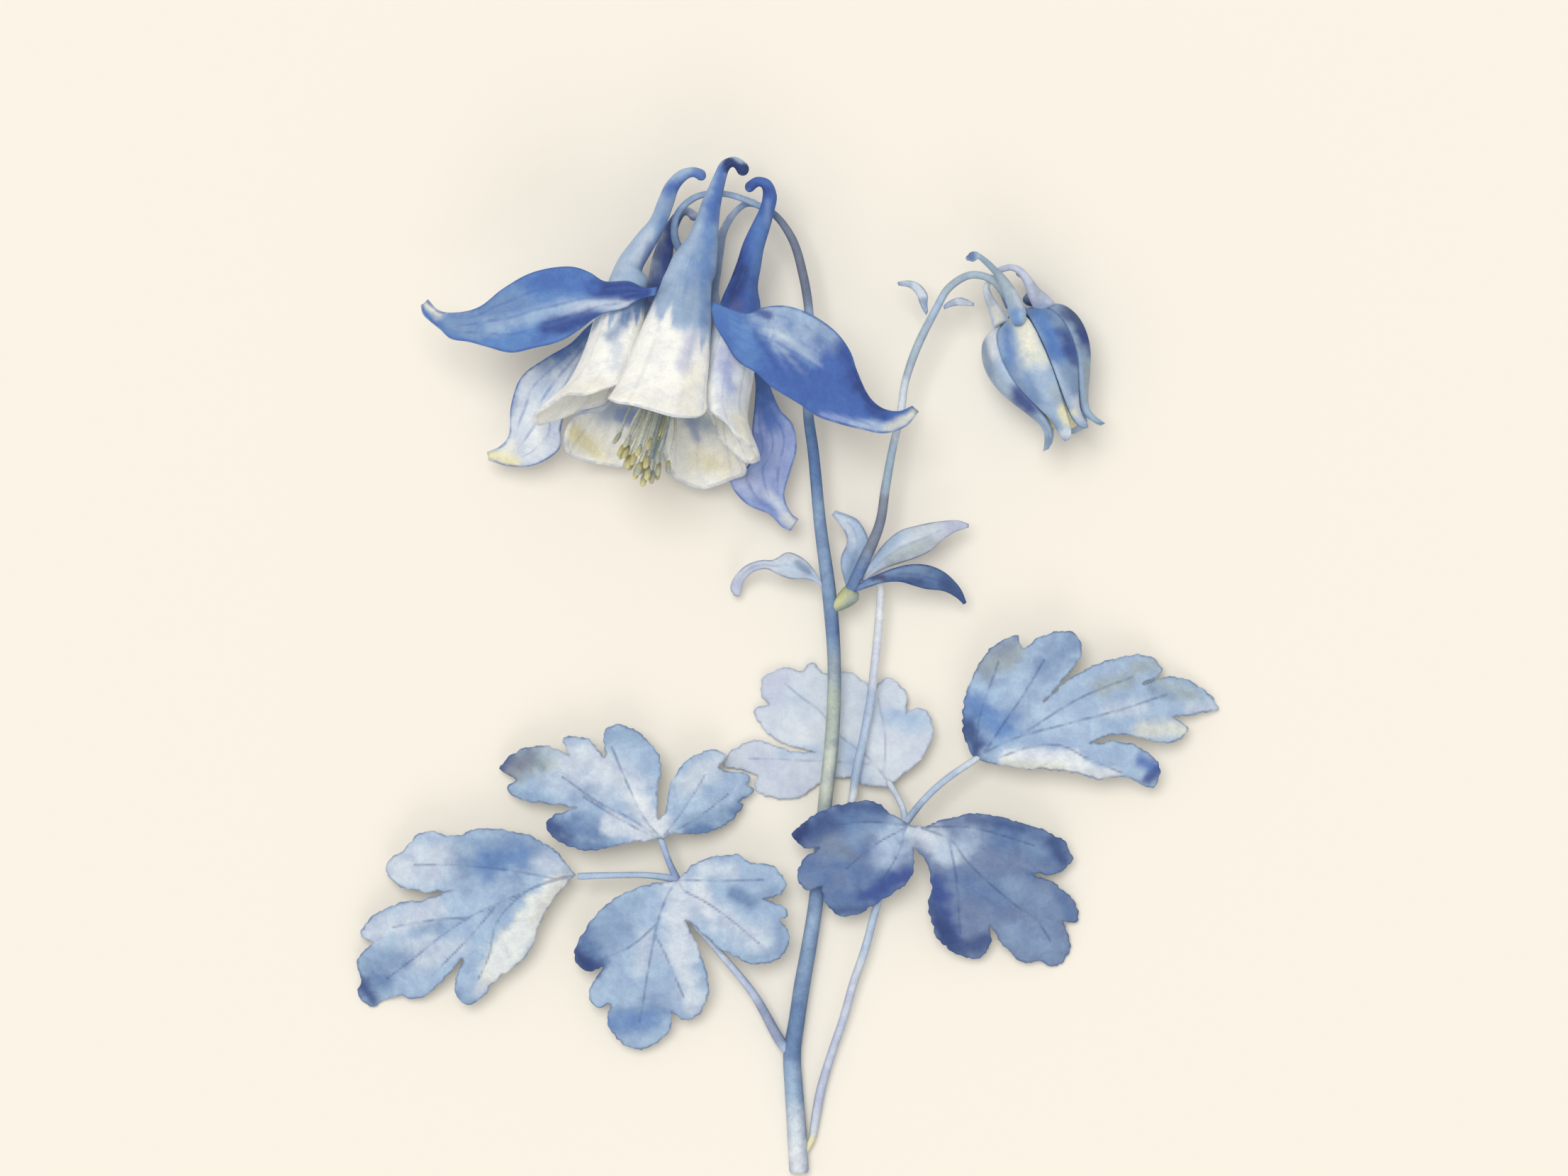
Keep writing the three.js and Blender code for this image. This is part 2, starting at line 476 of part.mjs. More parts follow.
BRACTS.forEach(({ name, colour, steps = 10, ...shape }) => {
  addPiece(name, ribbon({ ...shape, steps }), colour);
});

// ---------------------------------------------------------------- open flower: petals
const PETAL_SIDES = 14;
const THROAT = 1;               // where a trumpet begins, down the axis from the receptacle
const HOLLOW = 3.5;             // how far up a trumpet is hollow
const INNER_SHARE = 0.5;        // length of a trumpet's side next to the axis, against its outer side
const TRUMPET_DEPTH = [2.6, 3.3, 3.7, 4.1, 4.9];
const FLARE = { depth: 0.5, sharpness: 9 };         // how far, and how suddenly, a lip curls outwards
const SPUR_FLATNESS = [0.74, 0.82, 0.92, 1];        // depth of the spur's first rings, of their width
const TRUMPET_RINGS = 6;
const HOLLOW_RINGS = 4;

/** Squares up a circle's sine or cosine a little, so that neighbouring trumpets fill the bell. */
const squared = (value) => Math.sign(value) * Math.abs(value) ** 0.8;

/** A ring of a trumpet, a share u of the way from throat to lip; inset draws it inside the wall. */
function trumpetRing({ round, width, length, middle, narrow, slant, swing }, u, start, inset) {
  return Array.from({ length: PETAL_SIDES }, (_, i) => {
    const turn = (i / PETAL_SIDES) * Math.PI * 2;
    const outer = (1 + Math.cos(turn)) / 2;
    const end = length * (INNER_SHARE + (1 - INNER_SHARE) * outer ** slant);
    const down = start + (end - start) * u;
    const share = (down - THROAT) / (length - THROAT);
    const depth = blend(TRUMPET_DEPTH, share) - inset;
    const radius = blend(middle, share) + depth * squared(Math.cos(turn))
      + FLARE.depth * u ** FLARE.sharpness;
    const halfWidth = width * blend([narrow, 0.3 * narrow + 0.7, 1, 1, 1], share)
      - THREE.MathUtils.radToDeg(inset / radius);
    return flowerPoint(down, radius, round + swing * share ** 2 + halfWidth * squared(Math.sin(turn)));
  });
}

/** Round rings along a spur, from its throat to its hooked tip, kept in step with the trumpet. */
function spurRings(round, stations) {
  const curve = curveThrough(stations);
  let outwards = flowerPoint(0, 1, round).sub(RECEPTACLE);
  return stations.map(([, , , width], k) => {
    const t = k / (stations.length - 1);
    const along = curve.getTangent(t).negate();
    outwards = outwards.clone().addScaledVector(along, -outwards.dot(along)).normalize();
    const sideways = new THREE.Vector3().crossVectors(outwards, along);
    const centre = curve.getPoint(t);
    const depth = width * SPUR_FLATNESS[Math.min(k, SPUR_FLATNESS.length - 1)];
    return Array.from({ length: PETAL_SIDES }, (_, i) => {
      const turn = (i / PETAL_SIDES) * Math.PI * 2;
      return centre.clone()
        .addScaledVector(outwards, Math.cos(turn) * depth / 2)
        .addScaledVector(sideways, Math.sin(turn) * width / 2);
    });
  });
}

/** A petal: a hooked spur that widens into a hollow trumpet with a slanting lip. */
function petal(shape) {
  const rings = spurRings(shape.round, shape.spur).reverse();
  for (let k = 0; k < TRUMPET_RINGS; k += 1) {
    rings.push(trumpetRing(shape, k / (TRUMPET_RINGS - 1), THROAT, 0));
  }
  for (let k = 0; k < HOLLOW_RINGS; k += 1) {
    rings.push(trumpetRing(shape, 1 - k / (HOLLOW_RINGS - 1), HOLLOW, PETAL_WALL));
  }
  return loft(rings);
}

const PETALS = [
  {
    name: 'petal_front', colour: COLOURS.petal, round: 0, width: 36.4, length: 25,
    narrow: 0.92, middle: [5.5, 6.6, 7.8, 9.0, 10.2], slant: 0.85, swing: -4.5,
    spur: [
      [-13.4, 56, 12.5, 6.6], [-12.6, 58.2, 12.1, 5.4], [-12.0, 60, 11.9, 4.3], [-11.5, 62.2, 11.8, 3.4],
      [-11.0, 64.5, 11.9, 2.8], [-10.4, 66.4, 12.3, 2.3], [-9.65, 68.7, 12.1, 1.8],
      [-8.9, 70.3, 12.0, 1.6], [-7.6, 70.75, 11.9, 1.5], [-6.5, 69.8, 11.8, 1.9],
    ],
  },
  {
    name: 'petal_left', colour: COLOURS.petal, round: -72, width: 33.2, length: 24,
    narrow: 0.7, middle: [8.6, 8.7, 8.9, 9.9, 12.2], slant: 0.7, swing: 0,
    spur: [
      [-22.3, 56.4, 10.0, 5.0], [-21.1, 58.4, 9.7, 4.0], [-19.8, 60.3, 9.7, 3.2], [-18.4, 62.4, 10.1, 2.4],
      [-17.3, 65.2, 10.2, 2.3], [-16.4, 67.4, 10.4, 2.0], [-15.0, 68.9, 10.6, 1.7],
      [-13.5, 69.4, 10.8, 1.4], [-12.4, 69.0, 10.9, 1.6],
    ],
  },
  {
    name: 'petal_right', colour: COLOURS.petal_dark, round: 72, width: 33.2, length: 24,
    narrow: 0.7, middle: [8.4, 8.5, 8.6, 8.8, 10.1], slant: 0.6, swing: 0,
    spur: [
      [-6.3, 53.8, 10.1, 5.2], [-5.6, 56.5, 9.8, 4.1], [-5.0, 59, 10.1, 3.3], [-4.0, 61.6, 10.7, 2.6],
      [-3.1, 64, 11.3, 2.1], [-2.7, 66, 11.7, 2.0], [-3.2, 67.6, 11.7, 1.6], [-4.4, 68.0, 11.7, 1.4],
      [-5.5, 67.3, 11.6, 1.5],
    ],
  },
  {
    name: 'petal_back_left', colour: COLOURS.petal_dark, round: -144, width: 33.2, length: 23,
    narrow: 0.85, middle: [5.5, 6.6, 7.8, 9.0, 10.2], slant: 0.6, swing: 0,
    spur: [
      [-18.1, 54.4, 4.4, 4.0], [-17.9, 57.4, 4.3, 3.1], [-17.2, 60.2, 4.5, 2.3], [-16.3, 62.4, 4.9, 1.7],
      [-15.3, 63.8, 5.4, 1.3], [-14.3, 64.1, 5.7, 1.2], [-13.5, 63.5, 5.8, 1.4],
    ],
  },
  {
    name: 'petal_back_right', colour: COLOURS.petal, round: 144, width: 33.2, length: 23,
    narrow: 0.85, middle: [5.5, 6.6, 7.8, 9.0, 10.2], slant: 0.6, swing: 0,
    spur: [
      [-11.6, 53.0, 4.4, 4.0], [-10.8, 56, 4.7, 2.8], [-10.0, 58.8, 5.2, 1.8], [-9.3, 61.2, 5.8, 1.2],
      [-8.0, 63.5, 6.4, 1.0], [-6.3, 65.0, 6.8, 0.9], [-5.0, 65.2, 6.8, 1.2],
    ],
  },
];
PETALS.forEach((shape) => addPiece(shape.name, petal(shape), shape.colour));

// ---------------------------------------------------------------- open flower: sepals
const SEPALS = [
  {
    name: 'sepal_left', spine: [17.6, 19.6, 19.4, 18.2, 16.8, 14.8, 13.0],
    cup: [0, -0.8, 0.6, 0.8, 0.6, 0.4],
    left: [[-18.6, 51.9], [-20.8, 51.3], [-23.3, 49.8], [-26.3, 49.1], [-29.5, 46.8], [-32, 45.4],
      [-35.7, 44.5], [-38.9, 43.9], [-42.1, 44.7], [-44.8, 45.5], [-47.4, 46.0], [-48.8, 47.3],
      [-50.0, 48.3], [-51.2, 49.5], [-51.4, 50.7]],
    right: [[-18.4, 53.0], [-20.1, 52.9], [-22.3, 53.8], [-25.8, 53.8], [-27.8, 55.0], [-30.2, 55.75],
      [-35.7, 55.0], [-39.9, 52.8], [-43.6, 50.1], [-47.6, 49.4], [-49.3, 49.8], [-50.8, 51.3]],
  },
  {
    name: 'sepal_right', spine: [18.8, 21.4, 20.6, 18.4, 16.6, 14.7, 13.2],
    cup: [0, -0.8, 0.8, 0.8, 0.4, 0.2],
    left: [[-10.6, 50.9], [-8.2, 49.9], [-5.6, 49.3], [-3.7, 50.05], [-0.6, 50.3], [2.1, 49.5],
      [5, 47.9], [7.1, 46.1], [8.7, 43.7], [9.5, 41.4], [11.3, 37.7], [13.2, 36.1], [15.5, 35.7],
      [17.4, 36.4]],
    right: [[-10.9, 50.0], [-10.3, 47.6], [-8.9, 45.2], [-7.2, 42.6], [-4.4, 40.8], [-2.4, 39.0],
      [1.6, 36.6], [3.9, 35.05], [6.9, 34.0], [10.3, 33.2], [13.4, 32.7], [16.4, 33.7], [18.1, 35.8]],
  },
  {
    name: 'sepal_lower_left', spine: [6.3, 6.8, 7.4, 7.4, 6.6, 5.4, 4.6], cup: [0, 0.3, 0.4, 0.3],
    left: [[-21.3, 52.6], [-25.2, 50.4], [-28.5, 47.6], [-30.7, 45.4], [-34.2, 43.3], [-37.7, 40.7],
      [-39.2, 36.7], [-39.5, 32.5], [-40.6, 31.0], [-42.6, 29.9]],
    right: [[-20.9, 51.6], [-25.4, 47.5], [-29.0, 42.5], [-31.0, 37.5], [-32.2, 33.5], [-32.4, 30.6],
      [-35.7, 28.4], [-39.4, 28.2], [-42.4, 29.2]],
  },
  {
    name: 'sepal_lower_right', spine: [6.2, 7.0, 7.6, 7.2, 6.6, 5.6, 4.8], cup: [0, 0.2, 0.3, 0.2],
    left: [[-7.0, 47.6], [-5.6, 43.8], [-4.7, 40.0], [-4.8, 36.4], [-5.1, 33.0], [-5.0, 30.0],
      [-6.2, 27.4], [-8.2, 26.3], [-7.9, 25.0], [-5.8, 22.7], [-2.6, 21.3], [-0.9, 19.6], [0.3, 19.1]],
    right: [[-6.4, 48.2], [-4.1, 44.6], [-3.0, 40.3], [-1.3, 36.1], [0.5, 34.0], [1.05, 30.6],
      [0.1, 27.1], [-0.7, 23.9], [0.3, 21.4], [1.3, 20.6]],
  },
  {
    name: 'sepal_behind', spine: [1.5, 0.95, 0.72, 0.7, 0.7, 0.72, 0.95, 1.3], cup: [0, 0],
    left: [[-16.8, 50.6], [-20.2, 47], [-23.0, 42], [-23.6, 37], [-21.8, 32], [-20.0, 29.4]],
    right: [[-14.0, 50.3], [-12.6, 47], [-11.4, 42], [-12.6, 37], [-16.4, 32], [-19.0, 29.2]],
  },
];
SEPALS.forEach(({ name, ...shape }) => addPiece(name, ribbon({ ...shape, steps: 14 }), COLOURS.sepal));

// ---------------------------------------------------------------- open flower: stamens and pistils
const FILAMENTS = 14;
const FILAMENT_WIDTH = 0.62;
const ANTHER_LENGTH = 1.9;
const ANTHER_WIDTH = 1.1;
const GOLDEN_TURN = 137.5;      // degrees from one filament to the next
const SHEATH_RADIUS = { outside: 1.75, inside: 1.0 };
const SHEATH_SPAN = { from: 2.0, to: 12 };

/** A ring of points round the flower's axis. */
function axisRing(down, radius, sides) {
  return Array.from({ length: sides }, (_, i) => flowerPoint(down, radius, (i / sides) * 360));
}

/** The cup at the foot of the stamens, open towards the mouth, with the pistils inside it. */
function stamenSheath() {
  const { from, to } = SHEATH_SPAN;
  return loft([
    axisRing(from, SHEATH_RADIUS.outside, STALK_SIDES), axisRing(to, SHEATH_RADIUS.outside, STALK_SIDES),
    axisRing(to, SHEATH_RADIUS.inside, STALK_SIDES), axisRing(from + 1, SHEATH_RADIUS.inside, STALK_SIDES),
  ]);
}

/** One filament, from the sheath's wall to its place in the brush, with the anther on its end. */
function stamen(index) {
  const share = (index + 0.5) / FILAMENTS;
  const turn = index * GOLDEN_TURN;
  const spread = 1.5 + 2.1 * Math.sqrt(share);
  const end = 27.2 - 3.2 * share + 1.2 * Math.sin(index * 2.4);
  const wall = (SHEATH_RADIUS.outside + SHEATH_RADIUS.inside) / 2;
  const station = (down, radius, width) => [...flowerPoint(down, radius, turn).toArray(), width];
  const filament = stalk([
    station(SHEATH_SPAN.to - 1.2, wall, FILAMENT_WIDTH),
    station(SHEATH_SPAN.to + 4, wall + (spread - wall) * 0.25, FILAMENT_WIDTH),
    station(end, spread, FILAMENT_WIDTH),
  ], 6, 4);
  const anther = stalk([
    station(end - 0.5, spread, ANTHER_WIDTH * 0.5),
    station(end + ANTHER_LENGTH * 0.3, spread * 1.06, ANTHER_WIDTH),
    station(end + ANTHER_LENGTH, spread * 1.14, ANTHER_WIDTH * 0.45),
  ], ANTHER_LENGTH / 1.6, 5);
  return [filament, anther];
}
const stamens = Array.from({ length: FILAMENTS }, (_, i) => stamen(i)).flat();
addPiece('stamens', fuse([stamenSheath(), ...stamens]), COLOURS.stamen);

const STYLES = 5;
const PISTIL_FOOT = SHEATH_SPAN.from + 1 + CLEARANCE;
const pistilCore = stalk([
  [...flowerPoint(PISTIL_FOOT, 0, 0).toArray(), 1.2], [...flowerPoint(13, 0, 0).toArray(), 1.2],
], 5, 6);
const styles = Array.from({ length: STYLES }, (_, i) => {
  const turn = ((i + 0.3) / STYLES) * 360;
  const station = (down, radius, width) => [...flowerPoint(down, radius, turn).toArray(), width];
  return stalk([station(12, 0.1, 0.65), station(16, 0.35, 0.65), station(22.5, 0.7, 0.62)], 5, 5);
});
addPiece('pistils', fuse([pistilCore, ...styles]), COLOURS.pistil);

// ---------------------------------------------------------------- bud
const BUD_FOOT = new THREE.Vector3(32.36, 49.8, 7.42);
const BUD_TILT = THREE.MathUtils.degToRad(24.2);    // of the bud's axis, from -Y towards +X
const BUD_AXIS = new THREE.Vector3(Math.sin(BUD_TILT), -Math.cos(BUD_TILT), 0);
const BUD_RIGHT = new THREE.Vector3(Math.cos(BUD_TILT), Math.sin(BUD_TILT), 0);
const BUD_LENGTH = 19.3;
const BUD_RADIUS = [2.4, 5.6, 6.9, 7.4, 7.35, 6.8, 5.7, 4.4, 3.4, 3.4];
const BUD_COVER = [0.7, 0.95, 1, 1, 1, 1, 0.95, 0.8, 0.55, 0.35];
const BUD_WALL = 0.7;
const SEAM = 1.5;               // half of the gap between two bud sepals, in degrees

/** A point of the bud, a share s along it, at a radius and at degrees round from the top. */
function budPoint(s, radius, degrees) {
  const angle = THREE.MathUtils.degToRad(degrees);
  const point = BUD_FOOT.clone()
    .addScaledVector(BUD_AXIS, BUD_LENGTH * s ** 1.25)
    .addScaledVector(BUD_RIGHT, radius * Math.sin(angle));
  point.z += radius * Math.cos(angle);
  return point;
}

/** One sepal of the bud: a strip of its egg-shaped shell, narrow at both ends. */
function budSepal({ from, to, reach = 1 }) {
  const steps = 11;
  const across = 3;
  const rings = [];
  for (let i = 0; i <= steps; i += 1) {
    const s = (i / steps) * reach;
    const radius = blend(BUD_RADIUS, s);
    const half = ((to - from) / 2) * blend(BUD_COVER, s) - SEAM;
    const ring = [];
    for (let j = 0; j <= across; j += 1) {
      const degrees = (from + to) / 2 + half * ((j / across) * 2 - 1);
      ring.push(budPoint(s, radius, degrees));
    }
    for (let j = across; j >= 0; j -= 1) {
      const degrees = (from + to) / 2 + half * ((j / across) * 2 - 1);
      ring.push(budPoint(s, radius - BUD_WALL, degrees));
    }
    rings.push(ring);
  }
  return loft(rings);
}
const BUD_SEPALS = [
  { from: -44, to: 8 }, { from: 8, to: 45, reach: 0.99 }, { from: 47, to: 118 },
  { from: 118, to: 216, reach: 0.98 }, { from: 216, to: 316 },
];
BUD_SEPALS.forEach((shape, i) => addPiece(`bud_sepal_${i + 1}`, budSepal(shape), COLOURS.sepal));

const BUD_SPURS = [
  [[31.9, 48.0, 14.6, 1.6], [31.9, 49.0, 14.0, 3.0], [31.6, 50.6, 13.2, 2.8], [31.0, 52.2, 12.8, 2.0],
    [30.1, 54.0, 12.5, 1.5], [28.8, 55.6, 12.2, 1.1], [27.7, 56.7, 12.0, 1.0], [26.7, 57.5, 11.8, 0.9],
    [26.2, 57.6, 11.7, 1.5], [25.6, 57.4, 11.6, 1.6], [25.2, 57.3, 11.6, 1.0]],
  [[35.2, 51.15, 9.7, 2.7], [34.6, 52.3, 9.6, 2.1], [34.0, 53.4, 9.6, 1.6], [33.3, 54.6, 9.6, 1.3],
    [32.4, 55.6, 9.6, 1.1], [31.2, 56.05, 9.7, 0.9], [29.7, 55.7, 10.2, 0.9]],
  [[29.2, 48.7, 8.3, 1.9], [28.5, 50.4, 8.1, 1.6], [28.0, 51.9, 7.9, 1.2], [27.9, 53.2, 7.7, 0.9],
    [28.1, 54.0, 7.5, 0.7]],
  [[33.8, 51.3, 5.6, 2.0], [34.4, 52.6, 4.7, 1.6], [33.9, 54.0, 4.2, 1.2], [33.2, 54.9, 4.1, 0.9],
    [32.5, 55.4, 4.3, 0.9]],
  [[31.5, 50.8, 5.6, 2.0], [30.6, 52.6, 4.4, 1.6], [29.9, 53.9, 4.0, 1.2], [29.2, 54.6, 3.9, 0.9],
    [28.5, 54.8, 4.0, 0.9]],
];
BUD_SPURS.forEach((stations, i) => addPiece(`bud_petal_${i + 1}`, stalk(stations, 1.3, 7), COLOURS.petal));

const HEART_SIDES = 10;
const HEART_CLEARANCE = BUD_WALL + CLEARANCE + 0.1;
const heartRings = [0.17, 0.25, 0.38, 0.52, 0.66, 0.78, 0.9, 0.97].map((s) => (
  Array.from({ length: HEART_SIDES }, (_, i) => {
    const fold = i % 2 ? 0.86 : 1;
    return budPoint(s, (blend(BUD_RADIUS, s) - HEART_CLEARANCE) * fold, (i / HEART_SIDES) * 360);
  })));
addPiece('bud_heart', loft(heartRings), COLOURS.pistil);

export default group;
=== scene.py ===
"""A cut sprig of columbine, dressed for a render.

The sprig lies on a pale surface: a nodding flower, a closed bud, bracts and two three-part leaves on
one stem. Its leaves, petals and stems are finished in washes of blue, with darker lines where the
colour settles along their edges and veins. All working sizes are in millimetres, in the part's own
frame, and are turned to metres when a mesh is finished.
"""
import logging
import math
from dataclasses import dataclass
from enum import Enum
from typing import Sequence

import bmesh
import bpy
import numpy as np
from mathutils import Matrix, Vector


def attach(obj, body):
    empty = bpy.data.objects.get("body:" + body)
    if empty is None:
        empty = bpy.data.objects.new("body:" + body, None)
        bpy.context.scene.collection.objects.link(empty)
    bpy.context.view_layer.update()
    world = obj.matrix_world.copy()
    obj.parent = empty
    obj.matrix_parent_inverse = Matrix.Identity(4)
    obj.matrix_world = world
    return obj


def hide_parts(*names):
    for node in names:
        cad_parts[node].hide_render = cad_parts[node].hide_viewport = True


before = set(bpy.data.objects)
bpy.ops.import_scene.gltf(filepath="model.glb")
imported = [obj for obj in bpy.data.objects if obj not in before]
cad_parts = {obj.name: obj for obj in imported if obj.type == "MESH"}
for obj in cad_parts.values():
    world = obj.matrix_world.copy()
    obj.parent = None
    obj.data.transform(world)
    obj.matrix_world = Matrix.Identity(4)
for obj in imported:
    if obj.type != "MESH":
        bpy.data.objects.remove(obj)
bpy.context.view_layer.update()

LOG = logging.getLogger("columbine")
MM = 0.001                      # metres in a millimetre
FAR = 9.0                       # millimetres from a rim or a vein at which it no longer shows
BODY = "root"

Point = tuple[float, ...]


# ------------------------------------------------------------------ tones
class Tone(Enum):
    """The colours that are mixed on the sprig, as sRGB bytes."""

    INK = (50, 66, 114)
    NAVY = (66, 86, 132)
    INDIGO = (58, 78, 142)
    DENIM = (92, 120, 164)
    PEWTER = (118, 132, 150)
    COBALT = (76, 108, 176)
    AZURE = (96, 134, 190)
    STEEL = (130, 154, 186)
    BLUE = (160, 183, 210)
    SKY = (174, 194, 218)
    PERIWINKLE = (148, 164, 208)
    SLATE = (116, 134, 168)
    ASH = (124, 131, 146)
    DUSK = (126, 130, 160)
    LAVENDER = (186, 192, 218)
    MIST = (202, 211, 223)
    PEARL = (222, 227, 232)
    WHITE = (247, 247, 243)
    CREAM = (242, 237, 216)
    PRIMROSE = (230, 222, 172)
    OLIVE = (164, 158, 104)
    SAGE = (160, 172, 176)
    GREY_GREEN = (136, 156, 162)
    DEW = (213, 216, 207)
    CELADON = (178, 188, 176)
    LIME = (184, 190, 146)
    PLUM = (104, 106, 148)
    UMBER = (72, 58, 74)

    def linear(self) -> np.ndarray:
        """The tone as linear light."""
        share = np.array(self.value, dtype=float) / 255.0
        return np.where(share <= 0.04045, share / 12.92, ((share + 0.055) / 1.055) ** 2.4)


(INK, NAVY, INDIGO, DENIM, PEWTER, COBALT, AZURE, STEEL, BLUE, SKY, PERIWINKLE, SLATE, ASH, DUSK,
 LAVENDER, MIST, PEARL, WHITE, CREAM, PRIMROSE, OLIVE, SAGE, GREY_GREEN, DEW, CELADON, LIME, PLUM,
 UMBER) = Tone


@dataclass(frozen=True)
class Wash:
    """A patch or a stroke of one tone, laid over a piece as seen from above.

    Attributes:
        tone: the colour.
        ends: one point, or the two ends of a stroke.
        reach: how far it spreads from the point or the stroke.
        strength: how much of what is under it it covers, from 0 to 1.
        softness: the share of its reach over which it fades.
    """

    tone: Tone
    ends: tuple[Point, ...]
    reach: float
    strength: float = 0.85
    softness: float = 0.95

    def cover(self, places: np.ndarray) -> np.ndarray:
        """How much of each place the wash covers.

        Args:
            places: x and y of each vertex.

        Returns:
            One number from 0 to 1 for each place.
        """
        away = distance_to_line(places, self.ends)
        for size, phase, share in ((2.9, 11.0, 0.16), (1.2, 5.0, 0.08), (0.5, 3.0, 0.03)):
            away = away + ripple(places, size, phase) * share * self.reach
        inner = self.reach * (1.0 - self.softness)
        share = np.clip((self.reach - away) / max(self.reach - inner, 1e-6), 0.0, 1.0)
        return self.strength * share * share * (3.0 - 2.0 * share)


@dataclass(frozen=True)
class Rays:
    """Fine strokes of one tone that fan out from a point.

    Attributes:
        tone: the colour.
        origin: where they start from.
        heading: of the middle stroke, in degrees from +X towards +Y.
        spread: from the middle stroke to the outermost one, in degrees.
        near: how far from the origin they begin to show.
        far: where they have faded.
        strength: how much of what is under them they cover.
        pitch: from one stroke to the next, in degrees.
    """

    tone: Tone
    origin: Point
    heading: float
    spread: float
    near: float
    far: float
    strength: float = 0.5
    pitch: float = 7.0

    def cover(self, places: np.ndarray) -> np.ndarray:
        """How much of each place the strokes cover, from 0 to 1."""
        away = places[:, :2] - np.array(self.origin)
        distance = np.hypot(away[:, 0], away[:, 1])
        angle = (np.degrees(np.arctan2(away[:, 1], away[:, 0])) - self.heading + 180) % 360 - 180
        inside = np.clip(1.6 * (1 - np.abs(angle) / self.spread), 0.0, 1.0)
        turn = angle / self.pitch * 2 * math.pi
        strokes = 0.5 + 0.3 * np.sin(turn + 0.12 * distance) + 0.2 * np.sin(turn * 0.37 + 1.3)
        length = (self.far - self.near) * (0.75 + 0.25 * np.sin(turn * 0.61 + 2.0))
        share = np.clip((distance - self.near) / np.maximum(length, 1e-6), 0.0, 1.0)
        return self.strength * inside * strokes * np.minimum(share * 5, 1.0) * (1 - share) ** 0.7


def laid(*strokes: tuple | Rays) -> tuple[Wash | Rays, ...]:
    """Washes written as plain rows.

    Args:
        strokes: each a tone, x and y of both its ends, its reach and, if it needs them, its strength
            and softness; rays stand as they are.

    Returns:
        The washes, in the order in which they are laid.
    """
    return tuple(s if isinstance(s, Rays) else Wash(s[0], (s[1:3], s[3:5]), *s[5:]) for s in strokes)


def ripple(places: np.ndarray, size: float, phase: float) -> np.ndarray:
    """A smooth wandering number from about -1 to 1, the same on each run.

    Args:
        places: x and y of each vertex.
        size: about how far apart its highs are.
        phase: where it starts, so that two ripples differ.

    Returns:
        One number for each place.
    """
    total = np.zeros(len(places))
    for k in range(5):
        angle = phase + k * 2.4
        pitch = 2 * math.pi / (size * (0.8 + 0.33 * k))
        run = places[:, 0] * math.cos(angle) + places[:, 1] * math.sin(angle)
        across = places[:, 1] * math.cos(angle) - places[:, 0] * math.sin(angle)
        total += np.sin(run * pitch + phase * (k + 1) + 0.9 * np.sin(across * pitch * 0.7 + k))
    return total / 3.0


def distance_to_line(places: np.ndarray, line: Sequence[Point], closed: bool = False) -> np.ndarray:
    """The distance of each place from a line of straight pieces, as seen from above.

    Args:
        places: of the vertices.
        line: the line's points; a single point is a line of no length.
        closed: whether the last point joins the first.

    Returns:
        One distance for each place.
    """
    places = places[:, :2]
    points = [np.array(p[:2], dtype=float) for p in line]
    pairs = list(zip(points, points[1:] + ([points[0]] if closed else [])))
    if len(points) == 1:
        pairs = [(points[0], points[0])]
    nearest = np.full(len(places), 1e9)
    for start, end in pairs:
        step = end - start
        share = np.clip(((places - start) @ step) / max(float(step @ step), 1e-9), 0.0, 1.0)
        nearest = np.minimum(nearest, np.hypot(*(places - start - share[:, None] * step).T))
    return nearest


def blend(values: Sequence[float], t: float) -> float:
    """A smooth run of numbers: values spread evenly from 0 to 1, read at t."""
    place = min(max(t, 0.0), 1.0) * (len(values) - 1)
    index = min(int(place), len(values) - 2)
    at = [values[min(max(index + k, 0), len(values) - 1)] for k in (-1, 0, 1, 2)]
    f = place - index
    slope_in, slope_out = (at[2] - at[0]) / 2, (at[3] - at[1]) / 2
    return (at[1] * (2 * f**3 - 3 * f**2 + 1) + slope_in * (f**3 - 2 * f**2 + f)
            + at[2] * (3 * f**2 - 2 * f**3) + slope_out * (f**3 - f**2))


def into_end(share: float, span: float) -> float:
    """How far a share of a length is into the last span of it: 0 before it and 1 at the very end."""
    return max(0.0, (share - (1 - span)) / span)


